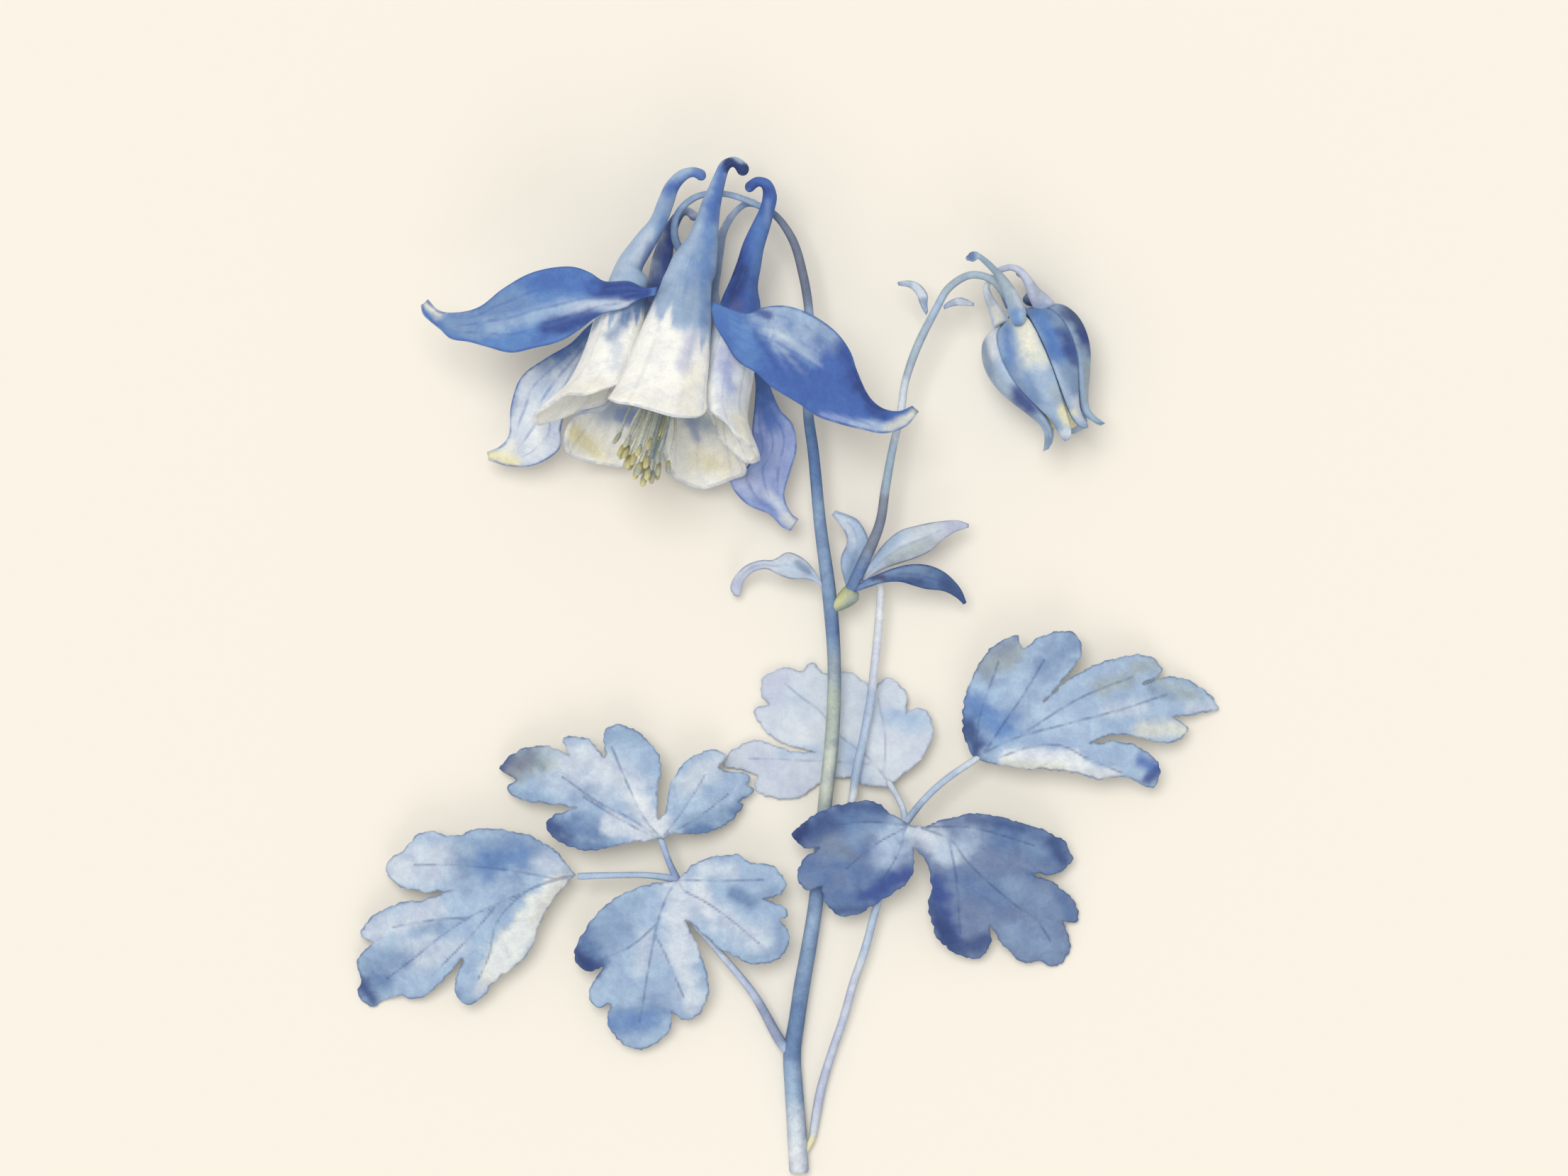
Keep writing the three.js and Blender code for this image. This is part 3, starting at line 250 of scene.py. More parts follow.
class Curve:
    """A smooth curve through points, read by its share of points or of its length."""

    SAMPLES = 24

    def __init__(self, points: Sequence[Point]) -> None:
        """Args:
            points: two or three numbers each.
        """
        self.points = [Vector((*p, 0.0)[:3]) for p in points]
        count = (len(self.points) - 1) * self.SAMPLES
        self.shares = [i / count for i in range(count + 1)]
        places = [self.at(t) for t in self.shares]
        steps = [(b - a).length for a, b in zip(places, places[1:])]
        self.lengths = np.concatenate([[0.0], np.cumsum(steps)])

    @property
    def length(self) -> float:
        """Its length along the curve."""
        return float(self.lengths[-1])

    def at(self, t: float) -> Vector:
        """The place at t, where each span between two points has the same share of t."""
        last = len(self.points) - 1
        place = min(max(t, 0.0), 1.0) * last
        k = min(int(place), last - 1)
        p1, p2 = self.points[k], self.points[k + 1]
        p0 = self.points[k - 1] if k > 0 else p1 * 2 - p2
        p3 = self.points[k + 2] if k + 2 <= last else p2 * 2 - p1
        gaps = [max((b - a).length ** 0.5, 1e-4) for a, b in ((p0, p1), (p1, p2), (p2, p3))]
        m1 = ((p1 - p0) / gaps[0] - (p2 - p0) / (gaps[0] + gaps[1]) + (p2 - p1) / gaps[1]) * gaps[1]
        m2 = ((p2 - p1) / gaps[1] - (p3 - p1) / (gaps[1] + gaps[2]) + (p3 - p2) / gaps[2]) * gaps[1]
        f = place - k
        return (p1 * (2 * f**3 - 3 * f**2 + 1) + m1 * (f**3 - 2 * f**2 + f)
                + p2 * (3 * f**2 - 2 * f**3) + m2 * (f**3 - f**2))

    def share_at_length(self, u: float) -> float:
        """The t at a share u of the curve's length."""
        return float(np.interp(u * self.length, self.lengths, self.shares))

    def along(self, u: float) -> Vector:
        """The place at a share u of the curve's length."""
        return self.at(self.share_at_length(u))

    def spaced(self, spacing: float) -> list[Vector]:
        """Places at even steps of about spacing, with both ends."""
        steps = max(1, round(self.length / spacing))
        return [self.along(i / steps) for i in range(steps + 1)]


def rounded_outline(points: Sequence[Point], spacing: float) -> list[Point]:
    """An edge that is smooth between its sharp points, closed on its first point.

    Args:
        points: x, y and, at a notch or a sharp point, a third entry of 1.
        spacing: the distance between the points that come back.

    Returns:
        x and y of each point of the edge.
    """
    outline: list[Point] = []
    stretch = [points[0]]
    for point in [*points[1:], (*points[0][:2], 1)]:
        stretch.append(point)
        if len(point) > 2:
            places = Curve([p[:2] for p in stretch]).spaced(spacing)
            outline.extend((p.x, p.y) for p in places[:-1])
            stretch = [point]
    return outline


# ------------------------------------------------------------------ finishes
class Graph:
    """A short way to write a material's nodes."""

    def __init__(self, name: str) -> None:
        """Args:
            name: the material's name.
        """
        self.material = bpy.data.materials.new(name)
        self.material.use_nodes = True
        self.tree = self.material.node_tree
        self.shader = self.tree.nodes["Principled BSDF"]
        self.place = self.tree.nodes.new("ShaderNodeTexCoord").outputs["Object"]

    def link(self, source: bpy.types.NodeSocket, target: bpy.types.NodeSocket) -> None:
        """Joins an output to an input."""
        self.tree.links.new(source, target)

    def attribute(self, name: str, socket: str = "Fac") -> bpy.types.NodeSocket:
        """A number or colour that the mesh carries at each vertex."""
        node = self.tree.nodes.new("ShaderNodeAttribute")
        node.attribute_name = name
        return node.outputs[socket]

    def noise(self, size: float, detail: float = 2.0, distortion: float = 0.0) -> bpy.types.NodeSocket:
        """A soft random pattern.

        Args:
            size: of its patches, in millimetres.
            detail: how many finer layers it has.
            distortion: how much it is stirred.

        Returns:
            The pattern's value, about 0.5 on average.
        """
        node = self.tree.nodes.new("ShaderNodeTexNoise")
        node.inputs["Scale"].default_value = 1.0 / (size * MM)
        node.inputs["Detail"].default_value = detail
        node.inputs["Distortion"].default_value = distortion
        self.link(self.place, node.inputs["Vector"])
        return node.outputs["Fac"]

    def spread(self, value: bpy.types.NodeSocket, source: Point, target: Point) -> bpy.types.NodeSocket:
        """The value stretched smoothly from one range to another, and kept inside it."""
        node = self.tree.nodes.new("ShaderNodeMapRange")
        node.interpolation_type = "SMOOTHSTEP"
        self.link(value, node.inputs["Value"])
        for socket, number in zip(("From Min", "From Max", "To Min", "To Max"), (*source, *target)):
            node.inputs[socket].default_value = number
        return node.outputs["Result"]

    def maths(self, kind: str, a: bpy.types.NodeSocket,
              b: bpy.types.NodeSocket | float) -> bpy.types.NodeSocket:
        """Two numbers added or multiplied."""
        node = self.tree.nodes.new("ShaderNodeMath")
        node.operation = kind
        self.link(a, node.inputs[0])
        if isinstance(b, (int, float)):
            node.inputs[1].default_value = b
        else:
            self.link(b, node.inputs[1])
        return node.outputs[0]

    def layer(self, kind: str, share: bpy.types.NodeSocket | float, below: bpy.types.NodeSocket,
              above: bpy.types.NodeSocket | Sequence[float]) -> bpy.types.NodeSocket:
        """One colour laid over another.

        Args:
            kind: how the two are mixed, MIX or MULTIPLY.
            share: how much of the upper one counts.
            below: the lower colour.
            above: the upper colour.

        Returns:
            The mixed colour.
        """
        node = self.tree.nodes.new("ShaderNodeMix")
        node.data_type = "RGBA"
        node.blend_type = kind
        for socket, value in ((node.inputs[0], share), (node.inputs[6], below), (node.inputs[7], above)):
            if isinstance(value, bpy.types.NodeSocket):
                self.link(value, socket)
            elif isinstance(value, (int, float)):
                socket.default_value = value
            else:
                socket.default_value = (*value, 1.0)
        return node.outputs[2]


@dataclass(frozen=True)
class Finish:
    """A matt plant surface, coloured by its washes, with darker lines where the colour settles.

    Attributes:
        name: of the material.
        rim_width: width of the line along an edge, in millimetres.
        rim_strength: how dark that line is, from 0 to 1.
        vein_width: half width of a vein's line, in millimetres.
        vein_strength: how dark a vein's line is.
        line_tone: what the lines are mixed towards.
        pooling: how uneven the wash is over a few millimetres.
        grain: how uneven it is over tenths of a millimetre.
        roughness: of the surface.
    """

    name: str
    rim_width: float = 0.5
    rim_strength: float = 0.7
    vein_width: float = 0.2
    vein_strength: float = 0.6
    line_tone: Tone = INDIGO
    pooling: float = 0.2
    grain: float = 0.12
    roughness: float = 0.82

    def material(self) -> bpy.types.Material:
        """The finish as a material, made once and then reused."""
        known = bpy.data.materials.get(self.name)
        if known:
            return known
        graph = Graph(self.name)
        colour = graph.attribute("wash", "Color")
        for size, amount, detail in ((3.2, self.pooling, 3.0), (1.1, self.pooling * 0.6, 2.0),
                                     (0.28, self.grain, 2.0)):
            uneven = graph.spread(graph.noise(size, detail, 0.6), (0.36, 0.64), (1.0 - amount, 1.0 + amount))
            shade = graph.tree.nodes.new("ShaderNodeCombineColor")
            for socket in shade.inputs[:2]:
                graph.link(uneven, socket)
            graph.link(graph.maths("POWER", uneven, 0.6), shade.inputs[2])
            colour = graph.layer("MULTIPLY", 1.0, colour, shade.outputs[0])
        patchy = graph.spread(graph.noise(1.9, 2.0), (0.34, 0.6), (0.25, 1.0))
        line = self.line_tone.linear()
        wobble = graph.maths("MULTIPLY", graph.noise(0.7, 2.0), self.rim_width * 0.9)
        rim = graph.maths("ADD", graph.attribute("rim"), wobble)
        rim = graph.spread(rim, (self.rim_width * 0.45, self.rim_width * 1.3), (self.rim_strength, 0.0))
        colour = graph.layer("MIX", graph.maths("MULTIPLY", rim, patchy), colour, line)
        vein = graph.spread(graph.attribute("vein"), (self.vein_width * 0.4, self.vein_width * 1.5),
                            (self.vein_strength, 0.0))
        colour = graph.layer("MIX", graph.maths("MULTIPLY", vein, patchy), colour, line)
        graph.link(colour, graph.shader.inputs["Base Color"])
        graph.shader.inputs["Roughness"].default_value = self.roughness
        graph.shader.inputs["Specular IOR Level"].default_value = 0.25
        return graph.material


# ------------------------------------------------------------------ pieces
Layers = dict[str, np.ndarray]
END_SHARE = 0.86                # width of a stalk's end ring, as a share of the stalk's width
RIB_STEP = 4                    # points of a ring from one shallow groove of a stalk to the next
GROOVE_SHARE = 0.93             # distance of a groove from the stalk's middle, as a share


@dataclass
class Piece:
    """One finished piece: a mesh in millimetres that becomes an object of the scene.

    Attributes:
        name: of the object.
        node: the solid that it stands for.
        slot: the record's material slot; it is not used.
        finish: how it is dressed.
        mesh: its shape, in millimetres.
    """

    name: str
    node: str
    slot: str
    finish: Finish
    mesh: bmesh.types.BMesh

    def places(self) -> np.ndarray:
        """Where each vertex is, in millimetres."""
        return np.array([v.co[:] for v in self.mesh.verts])

    def values(self, layer: str) -> np.ndarray:
        """The number that a layer holds at each vertex."""
        held = self.mesh.verts.layers.float[layer]
        return np.array([v[held] for v in self.mesh.verts])

    def complete(self, colours: np.ndarray, rim: np.ndarray | None = None,
                 vein: np.ndarray | None = None) -> None:
        """Turns the mesh to an object in its place, and joins it to the frame.

        Args:
            colours: linear red, green and blue of each vertex.
            rim: the distance of each vertex from an edge, in millimetres, where it has one.
            vein: the distance of each vertex from a vein, where it has any.
        """
        bmesh.ops.recalc_face_normals(self.mesh, faces=self.mesh.faces[:])
        if self.mesh.calc_volume(signed=True) < 0:
            bmesh.ops.reverse_faces(self.mesh, faces=self.mesh.faces[:])
        bmesh.ops.scale(self.mesh, vec=(MM, MM, MM), verts=self.mesh.verts[:])
        data = bpy.data.meshes.new(self.name)
        self.mesh.to_mesh(data)
        self.mesh.free()
        data.polygons.foreach_set("use_smooth", [True] * len(data.polygons))
        wash = data.attributes.new("wash", "FLOAT_COLOR", "POINT")
        wash.data.foreach_set("color", np.column_stack([colours, np.ones(len(colours))]).ravel())
        for label, away in (("rim", rim), ("vein", vein)):
            away = np.full(len(colours), FAR) if away is None else away
            data.attributes.new(label, "FLOAT", "POINT").data.foreach_set("value", away)
        data.materials.append(self.finish.material())
        piece = bpy.data.objects.new(self.name, data)
        bpy.context.scene.collection.objects.link(piece)
        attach(piece, BODY)
        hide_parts(self.node)
        LOG.info("%s: %d faces", self.name, len(data.polygons))


def painted(places: np.ndarray, base: Tone, washes: Sequence[Wash | Rays], under: Tone | None = None,
            below: np.ndarray | None = None) -> np.ndarray:
    """The colour of each place: its base with the washes laid over it in order.

    Args:
        places: x, y and z of each vertex, in millimetres.
        base: the first tone.
        washes: what is laid over it.
        under: the tone of the lower face, where it has its own.
        below: from 0 on the upper face to 1 on the lower one.

    Returns:
        Linear red, green and blue for each place.
    """
    colours = np.tile(base.linear(), (len(places), 1))
    for wash in washes:
        cover = wash.cover(places[:, :2])[:, None]
        colours = colours * (1 - cover) + wash.tone.linear() * cover
    if under is not None and below is not None:
        share = 0.75 * below[:, None]
        colours = colours * (1 - share) + under.linear() * share
    return colours


def grid_skin(rings: Sequence[Sequence[Vector]], layers: Layers) -> bmesh.types.BMesh:
    """A closed skin through rings of places, made from a grid and capped at both ends.

    Args:
        rings: each with the same number of places.
        layers: a number for each place, ring by ring, under the name of its layer.

    Returns:
        The mesh, with its layers filled in.
    """
    width = len(rings[0])
    columns = width + 1
    mesh = bmesh.new()
    held = {label: mesh.verts.layers.float.new(label) for label in layers}
    bmesh.ops.create_grid(mesh, x_segments=width, y_segments=len(rings) - 1, size=1.0)
    mesh.verts.ensure_lookup_table()
    for r, ring in enumerate(rings):
        for i in range(columns):
            vertex = mesh.verts[r * columns + i]
            vertex.co = ring[i % width]
            for label, layer in held.items():
                vertex[layer] = float(layers[label][r, i % width])
    seam = [mesh.verts[r * columns + i] for r in range(len(rings)) for i in (0, width)]
    bmesh.ops.remove_doubles(mesh, verts=seam, dist=1e-5)
    ends = [e for e in mesh.edges if len(e.link_faces) == 1]
    caps = bmesh.ops.holes_fill(mesh, edges=ends, sides=0)["faces"]
    bmesh.ops.triangulate(mesh, faces=caps)
    return mesh


def refined(rings: Sequence[Sequence[Vector]], parts: int) -> list[list[Vector]]:
    """More rings between the given ones, on smooth lines through their points."""
    fine: list[list[Vector]] = []
    count = len(rings)
    for k in range(count - 1):
        before, start, end, after = (rings[min(max(k + d, 0), count - 1)] for d in (-1, 0, 1, 2))
        for part in range(parts):
            f = part / parts
            weights = (-0.5 * f**3 + f**2 - 0.5 * f, 1.5 * f**3 - 2.5 * f**2 + 1,
                       -1.5 * f**3 + 2 * f**2 + 0.5 * f, 0.5 * f**3 - 0.5 * f**2)
            fine.append([a * weights[0] + b * weights[1] + c * weights[2] + d * weights[3]
                         for a, b, c, d in zip(before, start, end, after)])
    fine.append(list(rings[-1]))
    return fine


def round_rings(stations: Sequence[Point], spacing: float, sides: int) -> list[list[Vector]]:
    """Rings along a stalk through x, y, z and width stations.

    Args:
        stations: from foot to tip.
        spacing: between rings.
        sides: points in a ring.

    Returns:
        The rings, without twist from one to the next.
    """
    curve = Curve([s[:3] for s in stations])
    widths = [s[3] for s in stations]
    steps = max(3, round(curve.length / spacing))
    shares = [curve.share_at_length(i / steps) for i in range(steps + 1)]
    centres = [curve.at(t) for t in shares]
    rings = []
    side = Vector((0.0, 0.0, 1.0))
    for i, (t, centre) in enumerate(zip(shares, centres)):
        run = (centres[min(i + 1, steps)] - centres[max(i - 1, 0)]).normalized()
        side = (side - run * side.dot(run)).normalized()
        across = run.cross(side)
        radius = blend(widths, t) / 2
        rings.append([centre + side * (radius * math.cos(2 * math.pi * k / sides))
                      + across * (radius * math.sin(2 * math.pi * k / sides)) for k in range(sides)])
    return rings


def dome(ring: Sequence[Vector], before: Sequence[Vector]) -> list[list[Vector]]:
    """Rings that round off an end.

    Args:
        ring: the last ring.
        before: a ring a little before it.

    Returns:
        Three smaller rings beyond the last one.
    """
    middle, behind = (sum(r, Vector()) / len(r) for r in (ring, before))
    ahead = (middle - behind).normalized() * (ring[0] - middle).length
    turns = [math.radians(degrees) for degrees in (30, 56, 78)]
    return [[middle + (p - middle) * math.cos(t) + ahead * math.sin(t) for p in ring] for t in turns]


def stalk_mesh(stations: Sequence[Point], spacing: float = 0.5, sides: int = 20,
               domed: bool = False) -> bmesh.types.BMesh:
    """A round stalk with shallow lengthwise ribs, its end domed or only softened."""
    rings = round_rings(stations, spacing, sides)
    if domed:
        rings.extend(dome(rings[-1], rings[-3]))
    for r in (0, len(rings) - 1):
        middle = sum(rings[r], Vector()) / sides
        rings[r] = [middle.lerp(p, END_SHARE) for p in rings[r]]
    for ring in rings[1:-1]:
        middle = sum(ring, Vector()) / sides
        for k in range(0, sides, RIB_STEP):
            ring[k] = middle.lerp(ring[k], GROOVE_SHARE)
    return grid_skin(rings, {})


def joined(meshes: Sequence[bmesh.types.BMesh]) -> bmesh.types.BMesh:
    """Several meshes in one, each kept whole."""
    whole = meshes[0]
    for other in meshes[1:]:
        data = bpy.data.meshes.new("joining")
        other.to_mesh(data)
        other.free()
        whole.from_mesh(data)
        bpy.data.meshes.remove(data)
    return whole


# ------------------------------------------------------------------ stems and stalks
STEM_FINISH = Finish("stem skin", pooling=0.09, grain=0.06)
STALK_FINISH = Finish("stalk skin", pooling=0.07, grain=0.05)
RECEPTACLE = Vector((-14.5, 52.5, 8.0))


@dataclass(frozen=True)
class FlowerFrame:
    """The nodding flower's own directions.

    Attributes:
        left: how far its axis leans towards -X, in degrees.
        up: how far its mouth is lifted from the ground, in degrees.
    """

    left: float = 11.0
    up: float = 22.0

    @property
    def axis(self) -> Vector:
        """From the receptacle to the mouth."""
        left, up = math.radians(self.left), math.radians(self.up)
        return Vector((-math.sin(left) * math.cos(up), -math.cos(left) * math.cos(up), math.sin(up)))

    @property
    def front(self) -> Vector:
        """Across the axis, towards the sky."""
        left, up = math.radians(self.left), math.radians(self.up)
        return Vector((math.sin(left) * math.sin(up), math.cos(left) * math.sin(up), math.cos(up)))

    @property
    def side(self) -> Vector:
        """Across both."""
        return self.front.cross(self.axis)

    def at(self, down: float, radius: float, degrees: float) -> Vector:
        """A place: down the axis, away from it, and round it from the front."""
        angle = math.radians(degrees)
        return (RECEPTACLE + self.axis * down + self.front * (radius * math.cos(angle))
                + self.side * (radius * math.sin(angle)))

    def station(self, down: float, width: float, radius: float = 0.0, degrees: float = 0.0) -> Point:
        """A stalk's station at such a place."""
        return (*self.at(down, radius, degrees), width)


FLOWER = FlowerFrame()


@dataclass
class Stalks:
    """The main stem and everything that is round and thin and carries the leaves and the bud."""

    main: tuple[Point, ...] = (
        (1.45, -71.9, 1.4, 2.8), (1.05, -65, 1.45, 2.7), (0.7, -60, 1.5, 2.6), (0.45, -55, 1.7, 2.5),
        (1.15, -50, 2, 2.3), (1.9, -45, 2.2, 2.3), (2.8, -40, 2.4, 2.2), (3.6, -35, 2.6, 2.1),
        (4.1, -31, 2.8, 2.1), (5.05, -20, 3.1, 2), (6.1, -10, 3.5, 2), (6.4, 0, 4.3, 1.9), (5.7, 10, 5, 2),
        (4.4, 20, 5.5, 1.75), (3.45, 30, 6, 1.6), (2.7, 36, 6.3, 1.5), (3, 43, 6.6, 1.4), (2.8, 50, 7, 1.3),
        (2, 55, 7.4, 1.3), (0.5, 60, 7.8, 1.2), (-2, 63.5, 8.2, 1), (-4.5, 64.9, 8.5, 0.95),
        (-9, 66.4, 9, 0.9), (-13, 66, 9.1, 0.95), (-15.6, 63.7, 9, 1), (-16.1, 60.5, 8.4, 1.1),
        FLOWER.station(-3.2, 1.5), FLOWER.station(-1.4, 3.2), FLOWER.station(0, 4.3), FLOWER.station(1.6, 4))
    bud: tuple[Point, ...] = (
        (7.9, 9.4, 5.6, 1.2), (8.9, 11.2, 6.2, 1.6), (10.7, 15, 6.4, 1.7), (12.8, 20, 6.4, 1.4),
        (13.6, 25, 6.4, 1.3), (14.5, 30, 6.5, 1.15), (15.8, 36, 6.6, 1.1), (16.4, 40, 6.8, 1.1),
        (18.1, 45, 7.2, 1.2), (20.6, 50, 7.8, 1.1), (22.5, 53.2, 8.4, 1.1), (25.6, 55, 9.1, 1.1),
        (28.4, 54.4, 9.3, 1.1), (30.2, 52.6, 8.6, 1.2), (31.5, 51, 7.8, 1.6), (32.36, 49.8, 7.4, 2.6),
        (32.8, 48.8, 7.4, 2.2))
    back: tuple[Point, ...] = (
        (9.3, 10.7, 5.7, 0.9), (11.1, 11.6, 5.5, 0.9), (12.6, 11.8, 4.9, 0.9), (12.9, 10.6, 4.3, 1),
        (12.6, 5, 3.9, 1.2), (12.1, 0, 3.5, 1.2), (11.5, -5, 3.1, 1.2), (10.6, -10, 2.9, 1.2),
        (9.5, -15, 2.9, 1.2), (8.9, -19, 3, 1.1), (7.4, -23.5, 3, 0.9), (6.1, -26, 3, 0.8),
        (4.8, -28.8, 2.9, 0.8))
    sheath: tuple[Point, ...] = (
        (6.1, 7.9, 5.1, 0.9), (6.8, 8.4, 5.2, 1.7), (7.5, 9, 5.4, 2.3), (8.2, 9.6, 5.6, 2.7),
        (8.8, 10.2, 5.8, 2.8), (9.2, 10.6, 6, 2.2))
    left: tuple[tuple[Point, ...], ...] = (
        ((-0.2, -54.6, 1.75, 1.3), (-1.35, -53, 1.9, 1.5), (-5, -46.5, 3, 1.2), (-10, -40.3, 4.2, 1),
         (-14.3, -35, 4.9, 1), (-15.7, -30.2, 5.1, 1.2)),
        ((-15.7, -30.4, 5.1, 1.1), (-16.9, -27.8, 5.1, 0.9), (-17.8, -25.3, 5, 0.9),
         (-18.3, -24.1, 4.8, 0.8)),
        ((-15.5, -30.2, 5.1, 1.1), (-20, -29.6, 5.1, 0.9), (-25, -29.6, 5, 0.9), (-29.85, -29.75, 5.2, 1)))
    right: tuple[tuple[Point, ...], ...] = (
        ((2.1, -69.2, 1.2, 0.8), (3.2, -67.2, 1.1, 1), (3.8, -64, 1.1, 1.3), (4.55, -60, 1.3, 1.3),
         (6, -55, 1.7, 1.2), (7.7, -50, 2.1, 1.2), (9.1, -45, 2.5, 1.2), (10.8, -40, 2.8, 1.2),
         (12.4, -34, 3.3, 1.1), (14.5, -27.5, 4.6, 1.1), (16.4, -22.3, 5.6, 1.2)),
        ((16.4, -22.6, 5.6, 1.1), (16.2, -20.6, 5, 0.9), (15.2, -18.3, 3.9, 0.9), (14.75, -17.6, 3.5, 0.9),
         (14, -16.3, 2.8, 0.8)),
        ((16.2, -22.5, 5.6, 1.1), (19, -19, 5.6, 1), (22, -16.2, 5.4, 1), (25.9, -13.5, 5.3, 1),
         (26.9, -12.8, 5, 0.9)))
    # painted shade: how strongly each stalk's right-hand side, away from the light, is darkened towards
    # steel blue, and the step, width and reach that place it
    painted_shade_strength: float = 0.3
    shade_step: float = 1.5
    shade_width: float = 0.8
    shade_reach: float = 3.0

    def dressed(self, name: str, slot: str, finish: Finish, runs: Sequence[Sequence[Point]], base: Tone,
                washes: Sequence[Wash | Rays]) -> None:
        """Builds one stalk or a fork of stalks, lays its colours on and paints shade down each stalk's right
        side.

        Args:
            name: the node's name.
            slot: its material slot.
            finish: its surface.
            runs: the stations of each stalk in it.
            base: its first tone.
            washes: what is laid over it.
        """
        mesh = joined([stalk_mesh(run) for run in runs])
        piece = Piece(f"{name}_skin", name, slot, finish, mesh)
        places = piece.places()
        colours = painted(places, base, washes)
        # painted shade: the side of each stalk to the right of its run, away from the light, is darkened
        # towards steel blue
        for run in runs:
            line = [tuple(p) for p in Curve([s[:3] for s in run]).spaced(self.shade_step)]
            offset = self.sideways(places, line)
            shade = np.clip(offset, 0.0, 1.0)[:, None] * self.painted_shade_strength
            colours = colours * (1 - shade) + colours * STEEL.linear() * shade
        piece.complete(colours)

    def sideways(self, places: np.ndarray, line: Sequence[Point]) -> np.ndarray:
        """How far each place near a line lies to its right, as a share of the painted shade's width."""
        points = np.array([p[:2] for p in line])
        nearest = np.argmin(((places[:, None, :2] - points[None]) ** 2).sum(axis=2), axis=1)
        ahead = np.clip(nearest + 1, 0, len(points) - 1)
        behind = np.clip(nearest - 1, 0, len(points) - 1)
        run = points[ahead] - points[behind]
        away = places[:, :2] - points[nearest]
        offset = (away[:, 0] * run[:, 1] - away[:, 1] * run[:, 0]) / np.hypot(*run.T)
        return np.where(np.hypot(*away.T) < self.shade_reach, offset / self.shade_width, 0.0)

    def build(self) -> None:
        """Makes and dresses every stem and stalk."""
        self.dressed(
            "main_stem", "stem", STEM_FINISH, [self.main], STEEL,
            laid(
                (SKY, 2.9, 36, 3, 50, 3, 0.4), (ASH, 2.4, 53, 0.6, 59.6, 4, 0.95),
                (ASH, 0, 61, -2, 63.4, 2, 0.7), (SKY, -6, 65.8, -13, 66, 4, 0.7),
                (DENIM, 3.5, 33, 3.6, 27, 4, 0.95), (STEEL, 4.4, 20, 6.2, 5, 5, 0.6),
                (DENIM, 5.6, 9, 6.2, 5, 2.4, 0.4), (NAVY, 7.1, 6.8, 7.2, 4.8, 0.9, 0.7),
                (SAGE, 6.4, 0, 6.2, -4, 3, 0.8), (CELADON, 6.2, -5, 5.1, -19, 4, 0.95),
                (DEW, 6, -12, 5.4, -18, 1.6, 0.5), (DENIM, 4.3, -29, 4, -31, 3, 0.7),
                (BLUE, 3.4, -36, 3, -38, 2.4, 0.4), (DENIM, 1.2, -49, 0.6, -54, 4, 0.7),
                (BLUE, 0.5, -58, 0.7, -61, 3, 0.7), (MIST, 1, -64, 1.2, -67, 3.4, 0.9),
                (PEARL, 1.2, -69, 1.4, -72, 3, 0.95), (INDIGO, -14.6, 52.4, -14.6, 52.4, 4, 0.5)))
        self.dressed(
            "bud_stem", "stalk", STALK_FINISH, [self.bud], SKY,
            laid(
                (DENIM, 8.6, 11.2, 10.4, 15, 3, 0.9), (ASH, 11.4, 17, 13.2, 23, 3.5, 0.95),
                (DUSK, 12.4, 19.5, 12.4, 19.5, 2.4, 0.4), (GREY_GREEN, 13.8, 26, 14.2, 29, 3, 0.5),
                (PEARL, 15.2, 34, 16.2, 39, 4, 0.75), (SAGE, 17, 42, 19, 48, 3, 0.5),
                (SAGE, 23, 53.6, 30, 53, 4, 0.6)))
        self.dressed(
            "branch_sheath", "sheath", STALK_FINISH, [self.sheath], LIME,
            laid(
                (STEEL, 6, 7.4, 6, 7.4, 1.1, 0.8), (CELADON, 8.4, 8.8, 10.2, 10.4, 1.5, 0.9),
                (PRIMROSE, 6.8, 8.8, 7.6, 9.8, 0.8, 0.45), (GREY_GREEN, 7.2, 7.9, 8.4, 8.5, 0.6, 0.6)))
        self.dressed(
            "back_stalk", "stalk", STALK_FINISH, [self.back], PEARL,
            laid(
                (LAVENDER, 12.4, 2, 12, -1, 3, 0.5), (SKY, 11.5, -5, 9.5, -15, 4, 0.9),
                (BLUE, 9.9, -13, 9.4, -16, 2, 0.6)))
        self.dressed(
            "left_leaf_stalk", "stalk", STALK_FINISH, self.left, SKY,
            laid(
                (DUSK, -1.6, -52.6, -4, -48.4, 2.4, 0.6), (LAVENDER, -5, -46, -8, -42, 2.4, 0.6),
                (MIST, -9, -41, -13, -37, 3, 0.6), (PERIWINKLE, -16, -29.6, -17.6, -26, 1.6, 0.5)))
        self.dressed(
            "right_leaf_stalk", "stalk", STALK_FINISH, self.right, MIST,
            laid(
                (PRIMROSE, 3.2, -67.9, 3.2, -67.9, 2.6, 0.9), (LAVENDER, 4.5, -61, 8.4, -47, 3, 0.6),
                (SKY, 10.8, -40, 16, -24, 2.4, 0.8), (SKY, 17, -21, 23, -15.4, 2.4, 0.7)))


# ------------------------------------------------------------------ leaves
LEAF_FINISH = Finish("leaf face", pooling=0.08, grain=0.04, vein_strength=0.5, rim_strength=0.6,
                     line_tone=NAVY)
PALE_LEAF_FINISH = Finish("pale leaf face", pooling=0.05, grain=0.03, vein_strength=0.4, rim_strength=0.5,
                          line_tone=SLATE)


